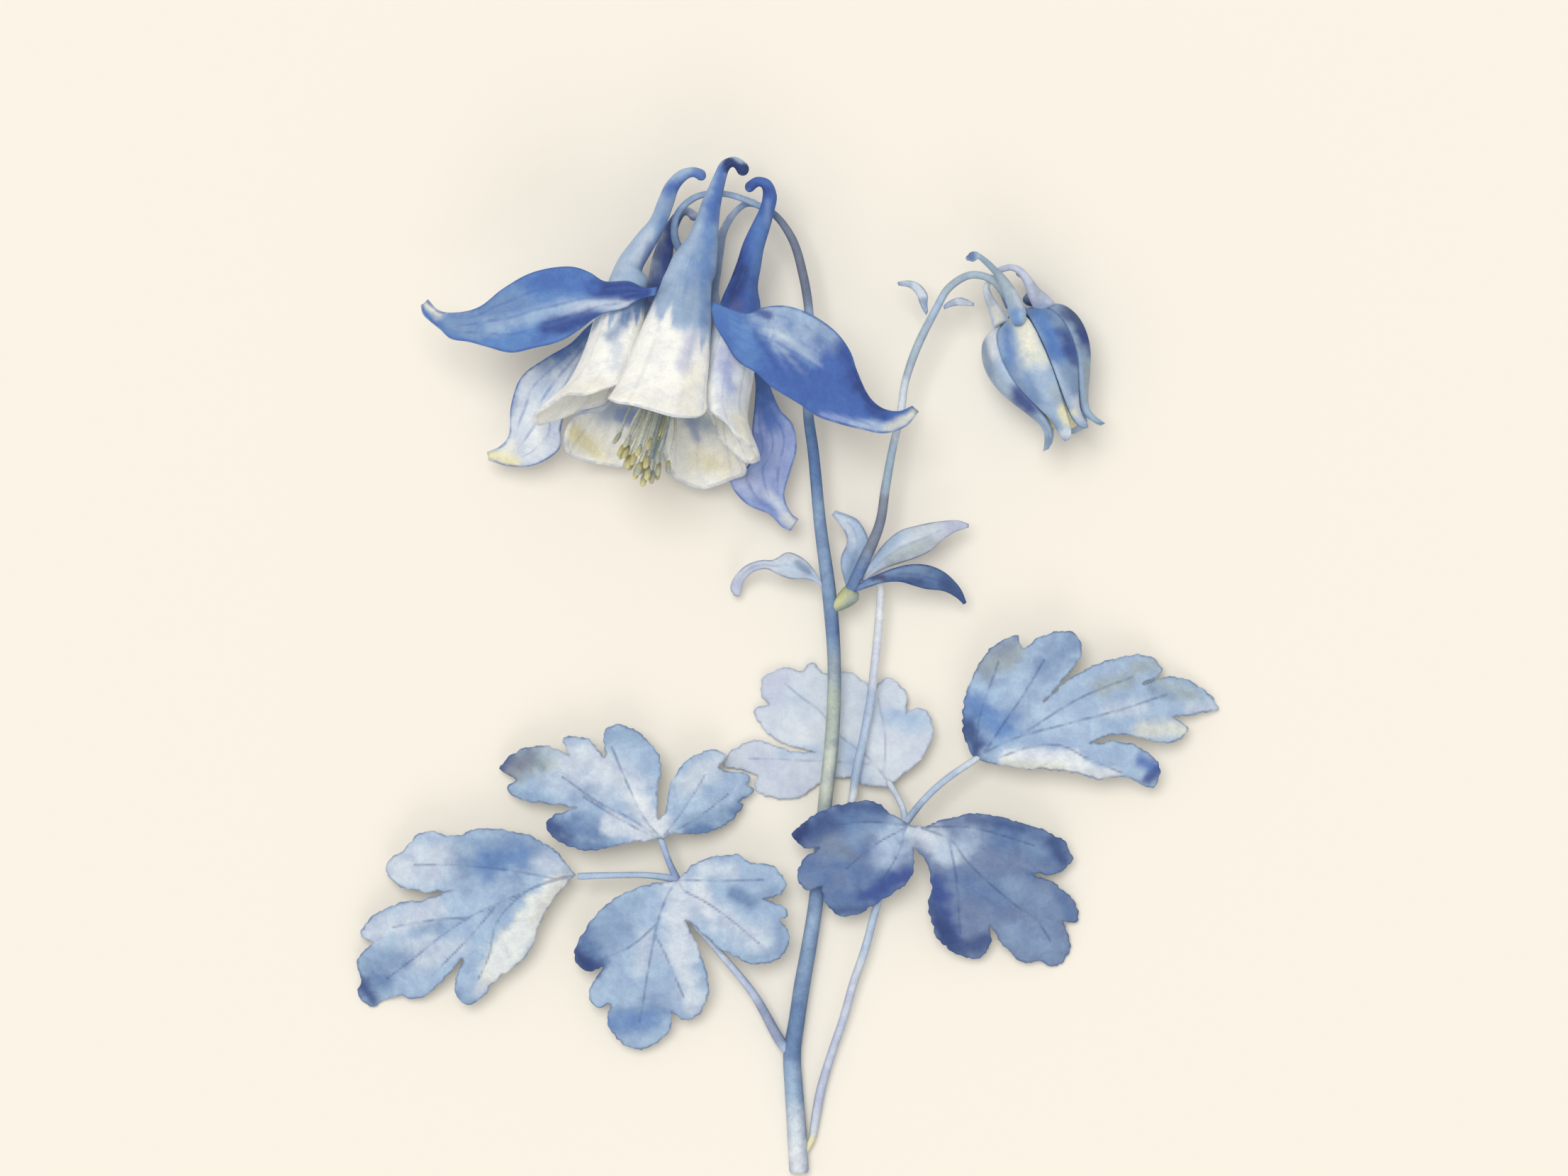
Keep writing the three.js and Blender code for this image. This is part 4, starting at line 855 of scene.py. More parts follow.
@dataclass(frozen=True)
class LeafForm:
    """How a leaflet lies.

    Attributes:
        base: where its midline starts.
        tip: where it ends.
        rise: how far the midline arches.
        cup: how far its sides lift, or droop below zero.
        ruffle: depth of the waves that run out from the base.
        waves: how close they are.
        fold: two ends of a line and the slope of the margin beyond it.
        lowest: the least height of its upper face.
    """

    base: Point
    tip: Point
    rise: float
    cup: float
    ruffle: float
    waves: int
    fold: tuple[Point, Point, float] | None = None
    lowest: float = 0.8

    def height(self, places: np.ndarray) -> np.ndarray:
        """The height of the upper face at each x and y."""
        run = np.array([self.tip[0] - self.base[0], self.tip[1] - self.base[1]])
        length = float(np.hypot(*run))
        run = run / length
        dx, dy = places[:, 0] - self.base[0], places[:, 1] - self.base[1]
        s = (dx * run[0] + dy * run[1]) / length
        c = (dx * run[1] - dy * run[0]) / length
        waves = self.ruffle * (s * s + c * c) * np.sin(np.arctan2(c, s) * self.waves)
        height = (self.base[2] + (self.tip[2] - self.base[2]) * s + self.rise * 4 * s * (1 - s)
                  + self.cup * 4 * c * c + waves)
        if self.fold:
            height = height - np.maximum(0.0, self.beyond_fold(places)) * self.fold[2]
        return np.maximum(height, self.lowest)

    def beyond_fold(self, places: np.ndarray) -> np.ndarray:
        """How far each place is beyond the fold's line."""
        start, end, _ = self.fold
        fx, fy = end[0] - start[0], end[1] - start[1]
        return ((places[:, 0] - start[0]) * fy - (places[:, 1] - start[1]) * fx) / math.hypot(fx, fy)


@dataclass(frozen=True)
class Leaflet:
    """One leaflet: its outline, its form, its veins and the washes on it.

    Attributes:
        cell: of the grid that its faces are cut to.
        edge_step: between two points of its edge.
        crinkle: depth of the small nicks of its edge.
        thickness: of the blade, which its edge has a share of.
        margin: how wide the thinner edge is.
        edge_drop: how far the upper face goes down at the edge.
        groove: depth of the furrow along a vein.
        groove_width: from the middle of a furrow to its side.
        lowest: the least height of its lower face.
    """

    name: str
    slot: str
    finish: Finish
    form: LeafForm
    outline: tuple[Point, ...]
    veins: tuple[tuple[Point, ...], ...]
    base: Tone
    washes: tuple[Wash | Rays, ...]
    cell: float = 0.34
    edge_step: float = 0.38
    crinkle: float = 0.13
    thickness: float = 0.62
    edge_share: float = 0.55
    margin: float = 0.8
    edge_drop: float = 0.12
    groove: float = 0.16
    groove_width: float = 0.45
    lowest: float = 0.02

    def crinkled(self, edge: Sequence[Point]) -> list[Point]:
        """The edge with the small, uneven nicks of a leaf's margin."""
        points = np.array(edge, dtype=float)
        run = np.roll(points, -1, axis=0) - np.roll(points, 1, axis=0)
        run /= np.hypot(*run.T)[:, None]
        depth = self.crinkle * (ripple(points, 1.6, 2.0) + 0.8 * ripple(points, 0.8, 7.0))
        points += np.stack([run[:, 1], -run[:, 0]], axis=1) * depth[:, None]
        return [tuple(point) for point in points.tolist()]

    def blade(self) -> tuple[bmesh.types.BMesh, list[Point]]:
        """The blade as a flat outline, cut to a fine grid and given a lower face.

        Returns:
            The mesh and the points of its edge.
        """
        edge = self.crinkled(rounded_outline(self.outline, self.edge_step))
        mesh = bmesh.new()
        under = mesh.verts.layers.float.new("under")
        mesh.faces.new([mesh.verts.new((x, y, 0.0)) for x, y in edge])
        for axis in (0, 1):
            low, high = min(p[axis] for p in edge), max(p[axis] for p in edge)
            cuts = int((high - low) / self.cell)
            normal = (1.0, 0.0, 0.0) if axis == 0 else (0.0, 1.0, 0.0)
            for k in range(1, cuts):
                at = low + (high - low) * k / cuts
                bmesh.ops.bisect_plane(mesh, geom=[*mesh.verts, *mesh.edges, *mesh.faces],
                                       plane_co=[at * n for n in normal], plane_no=normal)
        lower = bmesh.ops.extrude_face_region(mesh, geom=mesh.faces[:], use_keep_orig=True)["geom"]
        for item in lower:
            if isinstance(item, bmesh.types.BMVert):
                item[under] = 1.0
        return mesh, edge

    def build(self) -> None:
        """Makes the leaflet and dresses it."""
        mesh, edge = self.blade()
        piece = Piece(f"{self.name}_blade", self.name, self.slot, self.finish, mesh)
        places = piece.places()
        below = piece.values("under")
        rim = distance_to_line(places, edge, closed=True)
        vein = np.full(len(places), FAR)
        for line in self.veins:
            smooth = [tuple(p) for p in Curve(line).spaced(1.0)]
            vein = np.minimum(vein, distance_to_line(places, smooth))
        inward = np.clip(rim / self.margin, 0.0, 1.0)
        heights = self.form.height(places) - self.groove * np.exp(-(vein / self.groove_width) ** 2)
        heights -= below * (self.thickness * (self.edge_share + (1 - self.edge_share) * inward))
        heights -= (1 - below) * self.edge_drop * (1 - inward)
        for vertex, z in zip(mesh.verts, heights):
            vertex.co.z = max(float(z), self.lowest)
        colours = painted(places, self.base, self.washes, MIST, below)
        piece.complete(colours, rim, vein)


@dataclass
class Leaves:
    """The six leaflets of the two leaves, painted from pale to very dark."""

    leaflets: tuple[Leaflet, ...] = (
        Leaflet(
            "left_leaflet_top", "leaf", LEAF_FINISH,
            LeafForm((-18.2, -24.3, 5.8), (-38, -14, 3.2), 1.6, -1.2, 0.6, 7),
            outline=(
                (-18.1, -24.5), (-16.3, -23.85), (-13, -23.75), (-9.8, -23.05), (-7.3, -21), (-6.5, -19.8),
                (-7.15, -19.35, 1), (-5.65, -18.5), (-4.85, -17.5), (-6, -16.75, 1), (-5.3, -15.9),
                (-6.3, -15.2), (-8.65, -14.95), (-9.8, -14.4, 1), (-9, -12.8), (-10.3, -11.8),
                (-13.3, -12.7), (-15.1, -14.1), (-16.9, -17), (-17.4, -20.2), (-18.5, -21.7, 1),
                (-18.6, -17.3), (-18.1, -14.9), (-18.4, -12.6), (-20.9, -9.7), (-24, -8.3), (-26, -9.2),
                (-26, -13.1, 1), (-28.6, -10.3), (-31.9, -10.3), (-31.1, -12.6, 1), (-34.8, -11.3),
                (-39, -12.5), (-40.9, -14.7), (-38.4, -16.15, 1), (-39.8, -17.2), (-38.5, -18.8),
                (-34.6, -19.5), (-30, -20, 1), (-33.9, -21.7), (-34.2, -23.2), (-31.6, -25.25),
                (-28.1, -26.1), (-23.5, -25.25), (-19.8, -24.6)),
            veins=(((-18.3, -24.2), (-20.5, -21.4), (-22, -18.5), (-25, -11.5)),
                   ((-18.3, -24.3), (-22.5, -21.5), (-26.5, -19.5), (-32, -15.7)),
                   ((-18.6, -24.4), (-24, -21.6), (-29, -18.5)),
                   ((-17.6, -24), (-14.5, -19.8), (-11.8, -15.4)),
                   ((-17.4, -24), (-13, -21.6), (-8.6, -18.2))),
            base=BLUE,
            washes=laid(
                (MIST, -24, -16, -31, -14, 6, 0.85), (PEARL, -18.6, -23, -21, -19, 3.4, 0.8),
                (PEARL, -26, -13.6, -29, -12, 2, 0.35), (STEEL, -25.4, -10, -21, -9.8, 2.4, 0.6),
                (BLUE, -23, -12, -20, -14, 2.6, 0.6), (STEEL, -28, -17.4, -30, -18.4, 1.8, 0.6),
                (STEEL, -33, -22.4, -26, -24.8, 3.4, 0.95), (DENIM, -33, -22, -28, -23.4, 2.4, 0.6),
                (DENIM, -30, -21.6, -26.8, -22, 1.8, 0.45), (NAVY, -34.2, -22.4, -31.4, -25, 2.2, 0.95),
                (DENIM, -31, -25.6, -26.4, -25.8, 1.3, 0.7), (MIST, -25.4, -22.2, -20.6, -24, 2, 0.85, 0.6),
                (SAGE, -37.6, -15, -34.6, -13.6, 3, 0.8), (ASH, -39.8, -14.8, -37, -13, 2.8, 0.85),
                (PEWTER, -36.6, -12.6, -35, -14.4, 1.2, 0.6), (NAVY, -40.8, -14.6, -39.4, -12.8, 1, 0.7),
                (STEEL, -39.4, -17.8, -34, -19.4, 1.4, 0.6), (SKY, -13, -20.6, -8, -18.4, 3.6, 0.6),
                (MIST, -14.6, -17, -10, -13.6, 3, 0.85), (STEEL, -14.6, -22.6, -8, -21, 2.2, 0.85),
                (DENIM, -14.4, -23.6, -11, -23, 1.4, 0.9), (DENIM, -7.6, -20.6, -6.4, -19, 1.3, 0.7))),
        Leaflet(
            "left_leaflet_outer", "leaf", LEAF_FINISH,
            LeafForm(
                (-30.3, -29.6, 5.6), (-59, -46, 1), 2.2, -1.3, 0.8, 8,
                ((-43.9, -44.4), (-33.5, -30.2), 0.5)),
            outline=(
                (-30.2, -29.6), (-33.4, -25.7), (-37.6, -23.7), (-43.7, -23), (-47.5, -24.05),
                (-51.5, -23.4), (-54.9, -26.3), (-57.1, -28.2), (-55.9, -30.6), (-51.9, -31.95),
                (-47.4, -31.7, 1), (-51.3, -32.95), (-54.9, -33.5), (-59.7, -36.2), (-60.6, -38.3),
                (-58.7, -39.2, 1), (-61.2, -41.8), (-60.5, -44.5, 1), (-61, -46.8), (-58.9, -48.4),
                (-57.9, -47.7), (-54.9, -46.6, 1), (-53.9, -47.2), (-51.7, -46.8), (-49.5, -45),
                (-46.1, -41.4, 1), (-47.3, -45.9), (-45.4, -48.1), (-43.7, -47.2), (-41, -44.1),
                (-38.3, -42.3), (-36.5, -40.1), (-35.2, -36.6), (-33.8, -33.8)),
            veins=(((-30.6, -29.8), (-34, -30.6), (-37, -31.8), (-45, -35.5), (-50, -38.9), (-53, -41.4),
                    (-57, -44.4)),
                   ((-31.3, -29.7), (-35.5, -31), (-38.7, -33.2), (-41.4, -36.6), (-42.3, -40.8),
                    (-43.95, -44.4)),
                   ((-33.4, -30), (-40, -28.8), (-47, -28.2), (-53, -28.2)),
                   ((-45, -35.5), (-50.5, -36), (-56, -37)), ((-41.4, -34), (-45, -38.2), (-50.4, -43.8))),
            base=BLUE,
            washes=laid(
                (MIST, -49, -27.6, -55, -28.4, 6, 0.9), (MIST, -50, -34.6, -59, -37.6, 3, 0.85),
                (SKY, -36, -30, -44, -34, 4, 0.6), (STEEL, -37.4, -32, -42, -35, 2.4, 0.55),
                (STEEL, -36.6, -26.4, -45, -28.4, 5.4, 0.95), (AZURE, -38.4, -26.4, -42.6, -28, 3.2, 0.75),
                (DENIM, -39.6, -27, -41.8, -27.8, 2, 0.7), (STEEL, -38.6, -25.4, -46.8, -24.6, 1.4, 0.6),
                (MIST, -32, -28.6, -34.6, -27.8, 2.4, 0.7), (STEEL, -49.6, -36.8, -51.4, -37.6, 1.6, 0.8),
                (MIST, -47, -39.6, -52, -42, 2.6, 0.7), (MIST, -51, -38.8, -54.6, -40, 1.9, 0.65),
                (STEEL, -55, -41.4, -59, -43, 3, 0.9), (DENIM, -57, -44.8, -60.4, -45.6, 2.2, 0.85),
                (NAVY, -59, -47.4, -60.6, -45, 1.7, 0.9), (BLUE, -55, -45.6, -51, -45, 1.8, 0.8),
                (STEEL, -46.6, -46.6, -45.4, -47.6, 1.6, 0.8), (MIST, -41.6, -43, -43.6, -45.6, 1.8, 0.85),
                (BLUE, -42, -36, -43, -41, 1.2, 0.6), (DEW, -32.4, -31.2, -36.6, -36, 2.9, 0.95, 0.6),
                (DEW, -37, -36.6, -41.6, -43, 3.1, 0.95, 0.6), (PEARL, -33, -32, -41, -42.6, 2.8, 0.8, 0.6),
                (PRIMROSE, -32.6, -31.6, -36, -36, 1.6, 0.2))),
        Leaflet(
            "left_leaflet_front", "leaf", LEAF_FINISH,
            LeafForm((-15.6, -30.1, 6.8), (-17.5, -54, 2.2), 1.4, -0.9, 0.7, 6),
            outline=(
                (-15.6, -30), (-14.2, -28.6), (-12.1, -27.3), (-7.5, -26.65), (-5.2, -27.7), (-1.9, -28.5),
                (-0.4, -31.3), (-1.8, -32.6), (-3.7, -32.9, 1), (-0.8, -34.1), (-0.1, -35.5),
                (-1.4, -35.9, 1), (0.1, -38), (-0.3, -40.2), (-2.1, -41.8), (-5.1, -42.1), (-10, -39.8),
                (-12.5, -37.5), (-14.7, -35.9, 1), (-12.5, -40.5), (-11.3, -45.5), (-12.2, -48.6),
                (-14.3, -50.3), (-16.5, -49.1, 1), (-16.7, -51.3), (-18.6, -53.3), (-21.1, -54.4),
                (-23.8, -53.2), (-25.7, -50.4), (-25.35, -47.9, 1), (-27.4, -48.2), (-28.4, -46.6),
                (-26.2, -42.5, 1), (-28.8, -43.2), (-30.4, -40.8), (-28.8, -37.4), (-24.9, -33),
                (-19.8, -30.9), (-16.8, -30.4)),
            veins=(((-15.7, -30.2), (-17, -32.1), (-18.5, -36), (-19.5, -41), (-21.1, -50.3)),
                   ((-18.9, -38), (-18, -39.5), (-16.5, -43), (-14.8, -47)),
                   ((-18.6, -36.4), (-22.6, -39.8), (-27.4, -41.8)),
                   ((-15.6, -30.3), (-15, -31.5), (-12, -33.2), (-9.3, -35), (-4.2, -39.2)),
                   ((-15.2, -30.2), (-10, -30.4), (-3.6, -30.2))),
            base=BLUE,
            washes=laid(
                (MIST, -15.6, -31, -15.4, -40, 4.2, 0.95), (PEARL, -12.6, -31.6, -11, -35, 2.4, 0.75),
                (STEEL, -22, -33.4, -27, -36, 2.6, 0.6), (STEEL, -25.4, -37.6, -28.6, -41, 4.6, 0.9),
                (DENIM, -29, -38.4, -27.6, -42, 2.8, 0.9), (NAVY, -30, -40.4, -27.2, -42.9, 2, 0.95),
                (INK, -29.8, -41.2, -28.2, -42.8, 1.7, 0.85), (STEEL, -23.4, -36.4, -22, -38.4, 1.3, 0.7),
                (MIST, -20.4, -38, -21, -43, 2, 0.6), (STEEL, -19, -49, -24.4, -51, 4, 0.85),
                (AZURE, -19.6, -50, -25, -50.6, 2.6, 0.65), (MIST, -15, -42, -13.4, -47.6, 2.8, 0.85),
                (BLUE, -16.6, -51, -20, -53.6, 1.6, 0.5), (BLUE, -8, -28.4, -2, -30.2, 3.6, 0.85),
                (MIST, -12.4, -28.6, -8, -29.2, 2, 0.75), (STEEL, -2, -31.4, -5, -33.4, 1.6, 0.7),
                (DENIM, -7.8, -32, -5.6, -33.4, 1.7, 0.75), (MIST, -9, -36, -4, -39, 3.2, 0.7),
                (STEEL, -1, -37, -1.4, -40, 1.6, 0.7), (STEEL, -3, -41, -6, -41.4, 1.3, 0.6))),
        Leaflet(
            "right_leaflet_front", "dark_leaf", LEAF_FINISH,
            LeafForm((17, -22.4, 7.6), (20.5, -46, 1.6), 0.9, -0.9, 0.6, 7),
            outline=(
                (17, -22.3), (15.4, -21.5), (12.2, -19.2), (8, -19.35), (3, -21.45), (0.5, -23.9),
                (1.8, -25.6), (4.4, -25.7, 1), (2, -27.4), (1.2, -29.7), (2.5, -31.8), (4.7, -31.1, 1),
                (5.2, -33.8), (8.1, -35.45), (13.2, -33.1), (17.2, -30), (17.6, -25.7, 1), (19.5, -27.9),
                (20.1, -31.5), (19.7, -34), (21.1, -38.75), (24, -40.9), (27, -41.4), (28.6, -39.3),
                (28.35, -36.7, 1), (30.4, -39.7), (33.2, -42.1), (35.1, -41.9, 1), (37.9, -42.6),
                (39.9, -40), (38.8, -36.3, 1), (40.8, -36.2), (40.8, -34.2), (38.2, -31.2), (33.5, -29.2, 1),
                (37.4, -29.5), (40, -27.6), (38.5, -24.55), (32.4, -22.05), (26.3, -20.8), (21.5, -21.8),
                (18.8, -22.7)),
            veins=(((16.6, -22.6), (15.3, -23.4), (12, -25.3), (8, -28.7)),
                   ((16.4, -22.4), (11, -22), (5, -22.6)), ((16.4, -22.8), (15.6, -26), (13, -30.6)),
                   ((17.6, -22.6), (19.6, -23.2), (23, -24.7), (25, -27.5), (31.5, -33.5), (35, -36),
                    (37, -39)),
                   ((18, -22.7), (26, -22.9), (34.6, -25.4)), ((22.6, -24.6), (23.6, -30), (24.2, -38))),
            base=SLATE,
            washes=laid(
                (SKY, 15, -23.4, 14, -27, 4, 0.9), (DENIM, 8.4, -22.6, 10.4, -26, 2.2, 0.6),
                (DENIM, 10.4, -29.4, 14, -30, 2.2, 0.7), (STEEL, 12, -21.6, 9, -24.6, 2.6, 0.7),
                (DENIM, 4, -22, 12.6, -20, 3, 0.9), (NAVY, 1.4, -24.2, 5.6, -21.8, 3, 0.95),
                (INK, 1, -24.8, 2.4, -22.6, 1.5, 0.9), (NAVY, 7, -19.6, 13.6, -20, 1.3, 0.8),
                (DENIM, 2.2, -28, 5, -30.6, 2.6, 0.7), (PEWTER, 6, -25, 8.4, -27, 2.2, 0.5),
                (DENIM, 6.6, -28.2, 9, -28.8, 2.4, 0.7), (DENIM, 6, -33.6, 14, -31.6, 3, 0.85),
                (INDIGO, 11, -32.6, 16.4, -29.4, 2.4, 0.9), (NAVY, 6, -34.6, 10.6, -34.4, 1.3, 0.7),
                (MIST, 18.6, -23.6, 23, -26.4, 3, 0.95), (SKY, 22, -26, 26, -24, 3.2, 0.6),
                (DENIM, 30, -23, 37, -26, 4.2, 0.85), (STEEL, 33.4, -25, 36.4, -26, 2, 0.55),
                (NAVY, 37, -24.9, 38.8, -27.6, 1.7, 0.85), (NAVY, 25.4, -21.6, 33, -22.8, 1.2, 0.7),
                (DENIM, 24, -30, 30, -32.6, 3.4, 0.6), (INDIGO, 20.6, -31, 22.6, -38.6, 3, 0.9),
                (NAVY, 20.2, -34, 23.4, -40, 1.8, 0.95), (INK, 20.8, -36.4, 23, -39.4, 1.5, 0.5),
                (NAVY, 24, -40.4, 28, -39, 2.2, 0.85), (STEEL, 32, -31, 37, -34.4, 3, 0.8),
                (STEEL, 32, -38, 37, -40, 3.4, 0.85), (DENIM, 38.4, -32.2, 40, -35.4, 1.6, 0.7),
                (DENIM, 34.6, -29.6, 39, -29.2, 1.4, 0.7))),
        Leaflet(
            "right_leaflet_back", "pale_leaf", PALE_LEAF_FINISH,
            LeafForm((14.5, -17, 3), (-4, -3, 1), -1.4, 0, 0, 1),
            outline=(
                (14.6, -16.7), (16.1, -15.4), (18.9, -13.1), (20.4, -8.9), (19.4, -6.4), (17.8, -6.1),
                (16.6, -6.8, 1), (16.6, -3.9), (14, -1.8), (11.8, -3.4, 1), (8.8, -1), (5.2, -1.1),
                (3, 0.25), (1.9, -0.9, 1), (-0.7, -0.3), (-3.6, -1.9), (-3.9, -4.3), (-2.8, -5.5, 1),
                (-4.9, -6.3), (-4.1, -8.5), (-0.9, -11), (3.6, -12.3, 1), (-0.4, -11.9), (-4.1, -10.7),
                (-7.5, -11.6), (-9.3, -14.3), (-6.5, -14.9), (-4.65, -15.8), (-4.9, -17.4), (-2.4, -18.8),
                (1.6, -18.6), (5.5, -16.2), (8.8, -16), (10.8, -17), (13.6, -17.2)),
            veins=(((14.25, -16.7), (12.9, -15), (10.6, -12.5), (7.7, -10.4), (4.4, -6.5), (1.6, -4.4),
                    (-0.5, -2.6)),
                   ((13.4, -15.8), (13.6, -10), (12.6, -4.6)), ((12, -14), (5, -13.6), (-5.6, -13.2))),
            base=MIST,
            washes=laid(
                (PEARL, 12, -12, 2, -9, 6, 0.5), (LAVENDER, -4, -14, 2, -17, 4.2, 0.3),
                (SKY, 0, -4.6, 2, -7, 2.6, 0.3), (SKY, 14.6, -7.4, 18.4, -8, 2.8, 0.9),
                (BLUE, 15.6, -6.8, 17.4, -7.6, 1.4, 0.7), (SKY, 8.4, -12, 10, -16.4, 2.4, 0.8),
                (LAVENDER, -1, -2, -3.4, -5, 2, 0.6), (SKY, -1, -12.4, 4, -12.2, 1.4, 0.7))),
        Leaflet(
            "right_leaflet_outer", "leaf", LEAF_FINISH,
            LeafForm(
                (26.3, -12.9, 5.8), (58, -4, 1.6), 2.6, -1.5, 0.8, 7, ((29.5, -12.9), (47.5, -15.2), 0.6)),
            outline=(
                (26.1, -13.1), (24.5, -9.3), (24.8, -4.6), (26.7, 0.1), (29.2, 2.9), (32.1, 4.2),
                (33.05, 2.4, 1), (36.3, 4.4), (40.2, 4.7), (41.3, 1.6), (38.4, -2.3), (35.9, -5.1, 1),
                (41, -0.95), (47.2, 1.3), (51.6, 1.1), (52.8, -0.9), (50.1, -2.6, 1), (54.3, -1.6),
                (58.1, -2.9), (60.9, -6.2), (58.1, -6.8), (54.4, -7.3, 1), (56.5, -9.05), (54, -11),
                (50.4, -10.4), (46.3, -9.6), (42.4, -10.9, 1), (48.2, -11), (52.4, -14.2), (51.5, -17.4),
                (48, -15.9), (43.2, -16), (40, -15), (32.9, -14.5), (28.2, -13.7)),
            veins=(((26.4, -13), (27.5, -12.2), (30.2, -8.3), (33, -4.2), (36, 0.8)),
                   ((27, -12.6), (31.5, -10.4), (40, -8), (46.5, -6.3), (53.5, -4.1)),
                   ((26.3, -12.6), (27, -7), (29.6, 0.6)), ((33, -9.6), (41, -4.6), (48.6, -1.6)),
                   ((29.8, -12.9), (34.5, -11.3), (38.5, -11.3), (41.9, -13), (46.9, -15.1))),
            base=BLUE,
            washes=laid(
                (SKY, 34, -5, 41, -8.6, 4.6, 0.9), (STEEL, 36, 0, 39.6, 3.4, 3.4, 0.9),
                (STEEL, 31.4, -7.4, 34, -4.6, 2.6, 0.5), (ASH, 28, 0, 31, 2.2, 3.4, 0.75),
                (SAGE, 29, 0.6, 32, 1.4, 2.4, 0.7), (AZURE, 25.6, -5.6, 30, -9, 4, 0.85),
                (DENIM, 24.8, -7.6, 27, -11.6, 2.8, 0.9), (NAVY, 25, -9, 26.6, -12.2, 2.1, 0.95, 0.8),
                (SKY, 43, -2, 49, 0, 2.6, 0.6), (SAGE, 44, -3, 47.6, -2, 2.2, 0.8),
                (SAGE, 48.6, -0.4, 51.6, 0.2, 1.8, 0.7), (MIST, 45, -6.4, 50, -6, 2, 0.6),
                (SAGE, 52, -3, 57, -4.4, 2.2, 0.7), (STEEL, 51.4, -3.2, 54, -4.6, 1.4, 0.7),
                (MIST, 57, -5.8, 60, -6, 1.8, 0.7), (DEW, 50, -9, 55.6, -9, 2.4, 0.85),
                (BLUE, 27.6, -12.4, 34, -11, 1.4, 0.8), (PEARL, 31, -13.2, 40, -13.4, 1.9, 0.9, 0.5),
                (DEW, 31, -14, 39, -14.4, 1.6, 0.8), (PEARL, 40, -14.2, 45.6, -15.4, 1.4, 0.9, 0.6),
                (BLUE, 44.6, -12.4, 48.6, -13.4, 2.4, 0.9), (COBALT, 49.6, -13.4, 51.6, -14.4, 1.6, 0.8),
                (INDIGO, 50.8, -16, 52, -15, 1.4, 0.85))))

    def build(self) -> None:
        """Makes and dresses every leaflet."""
        for leaflet in self.leaflets:
            leaflet.build()


# ------------------------------------------------------------------ bracts and sepals
BRACT_FINISH = Finish("bract face", pooling=0.06, grain=0.04, rim_width=0.35, rim_strength=0.5,
                      vein_strength=0.3, line_tone=SLATE)
DARK_BRACT_FINISH = Finish("dark bract face", pooling=0.08, grain=0.05, vein_strength=0.3)
SEPAL_FINISH = Finish("sepal face", pooling=0.07, grain=0.04, rim_width=0.45, vein_width=0.24,
                      vein_strength=0.4, line_tone=COBALT)


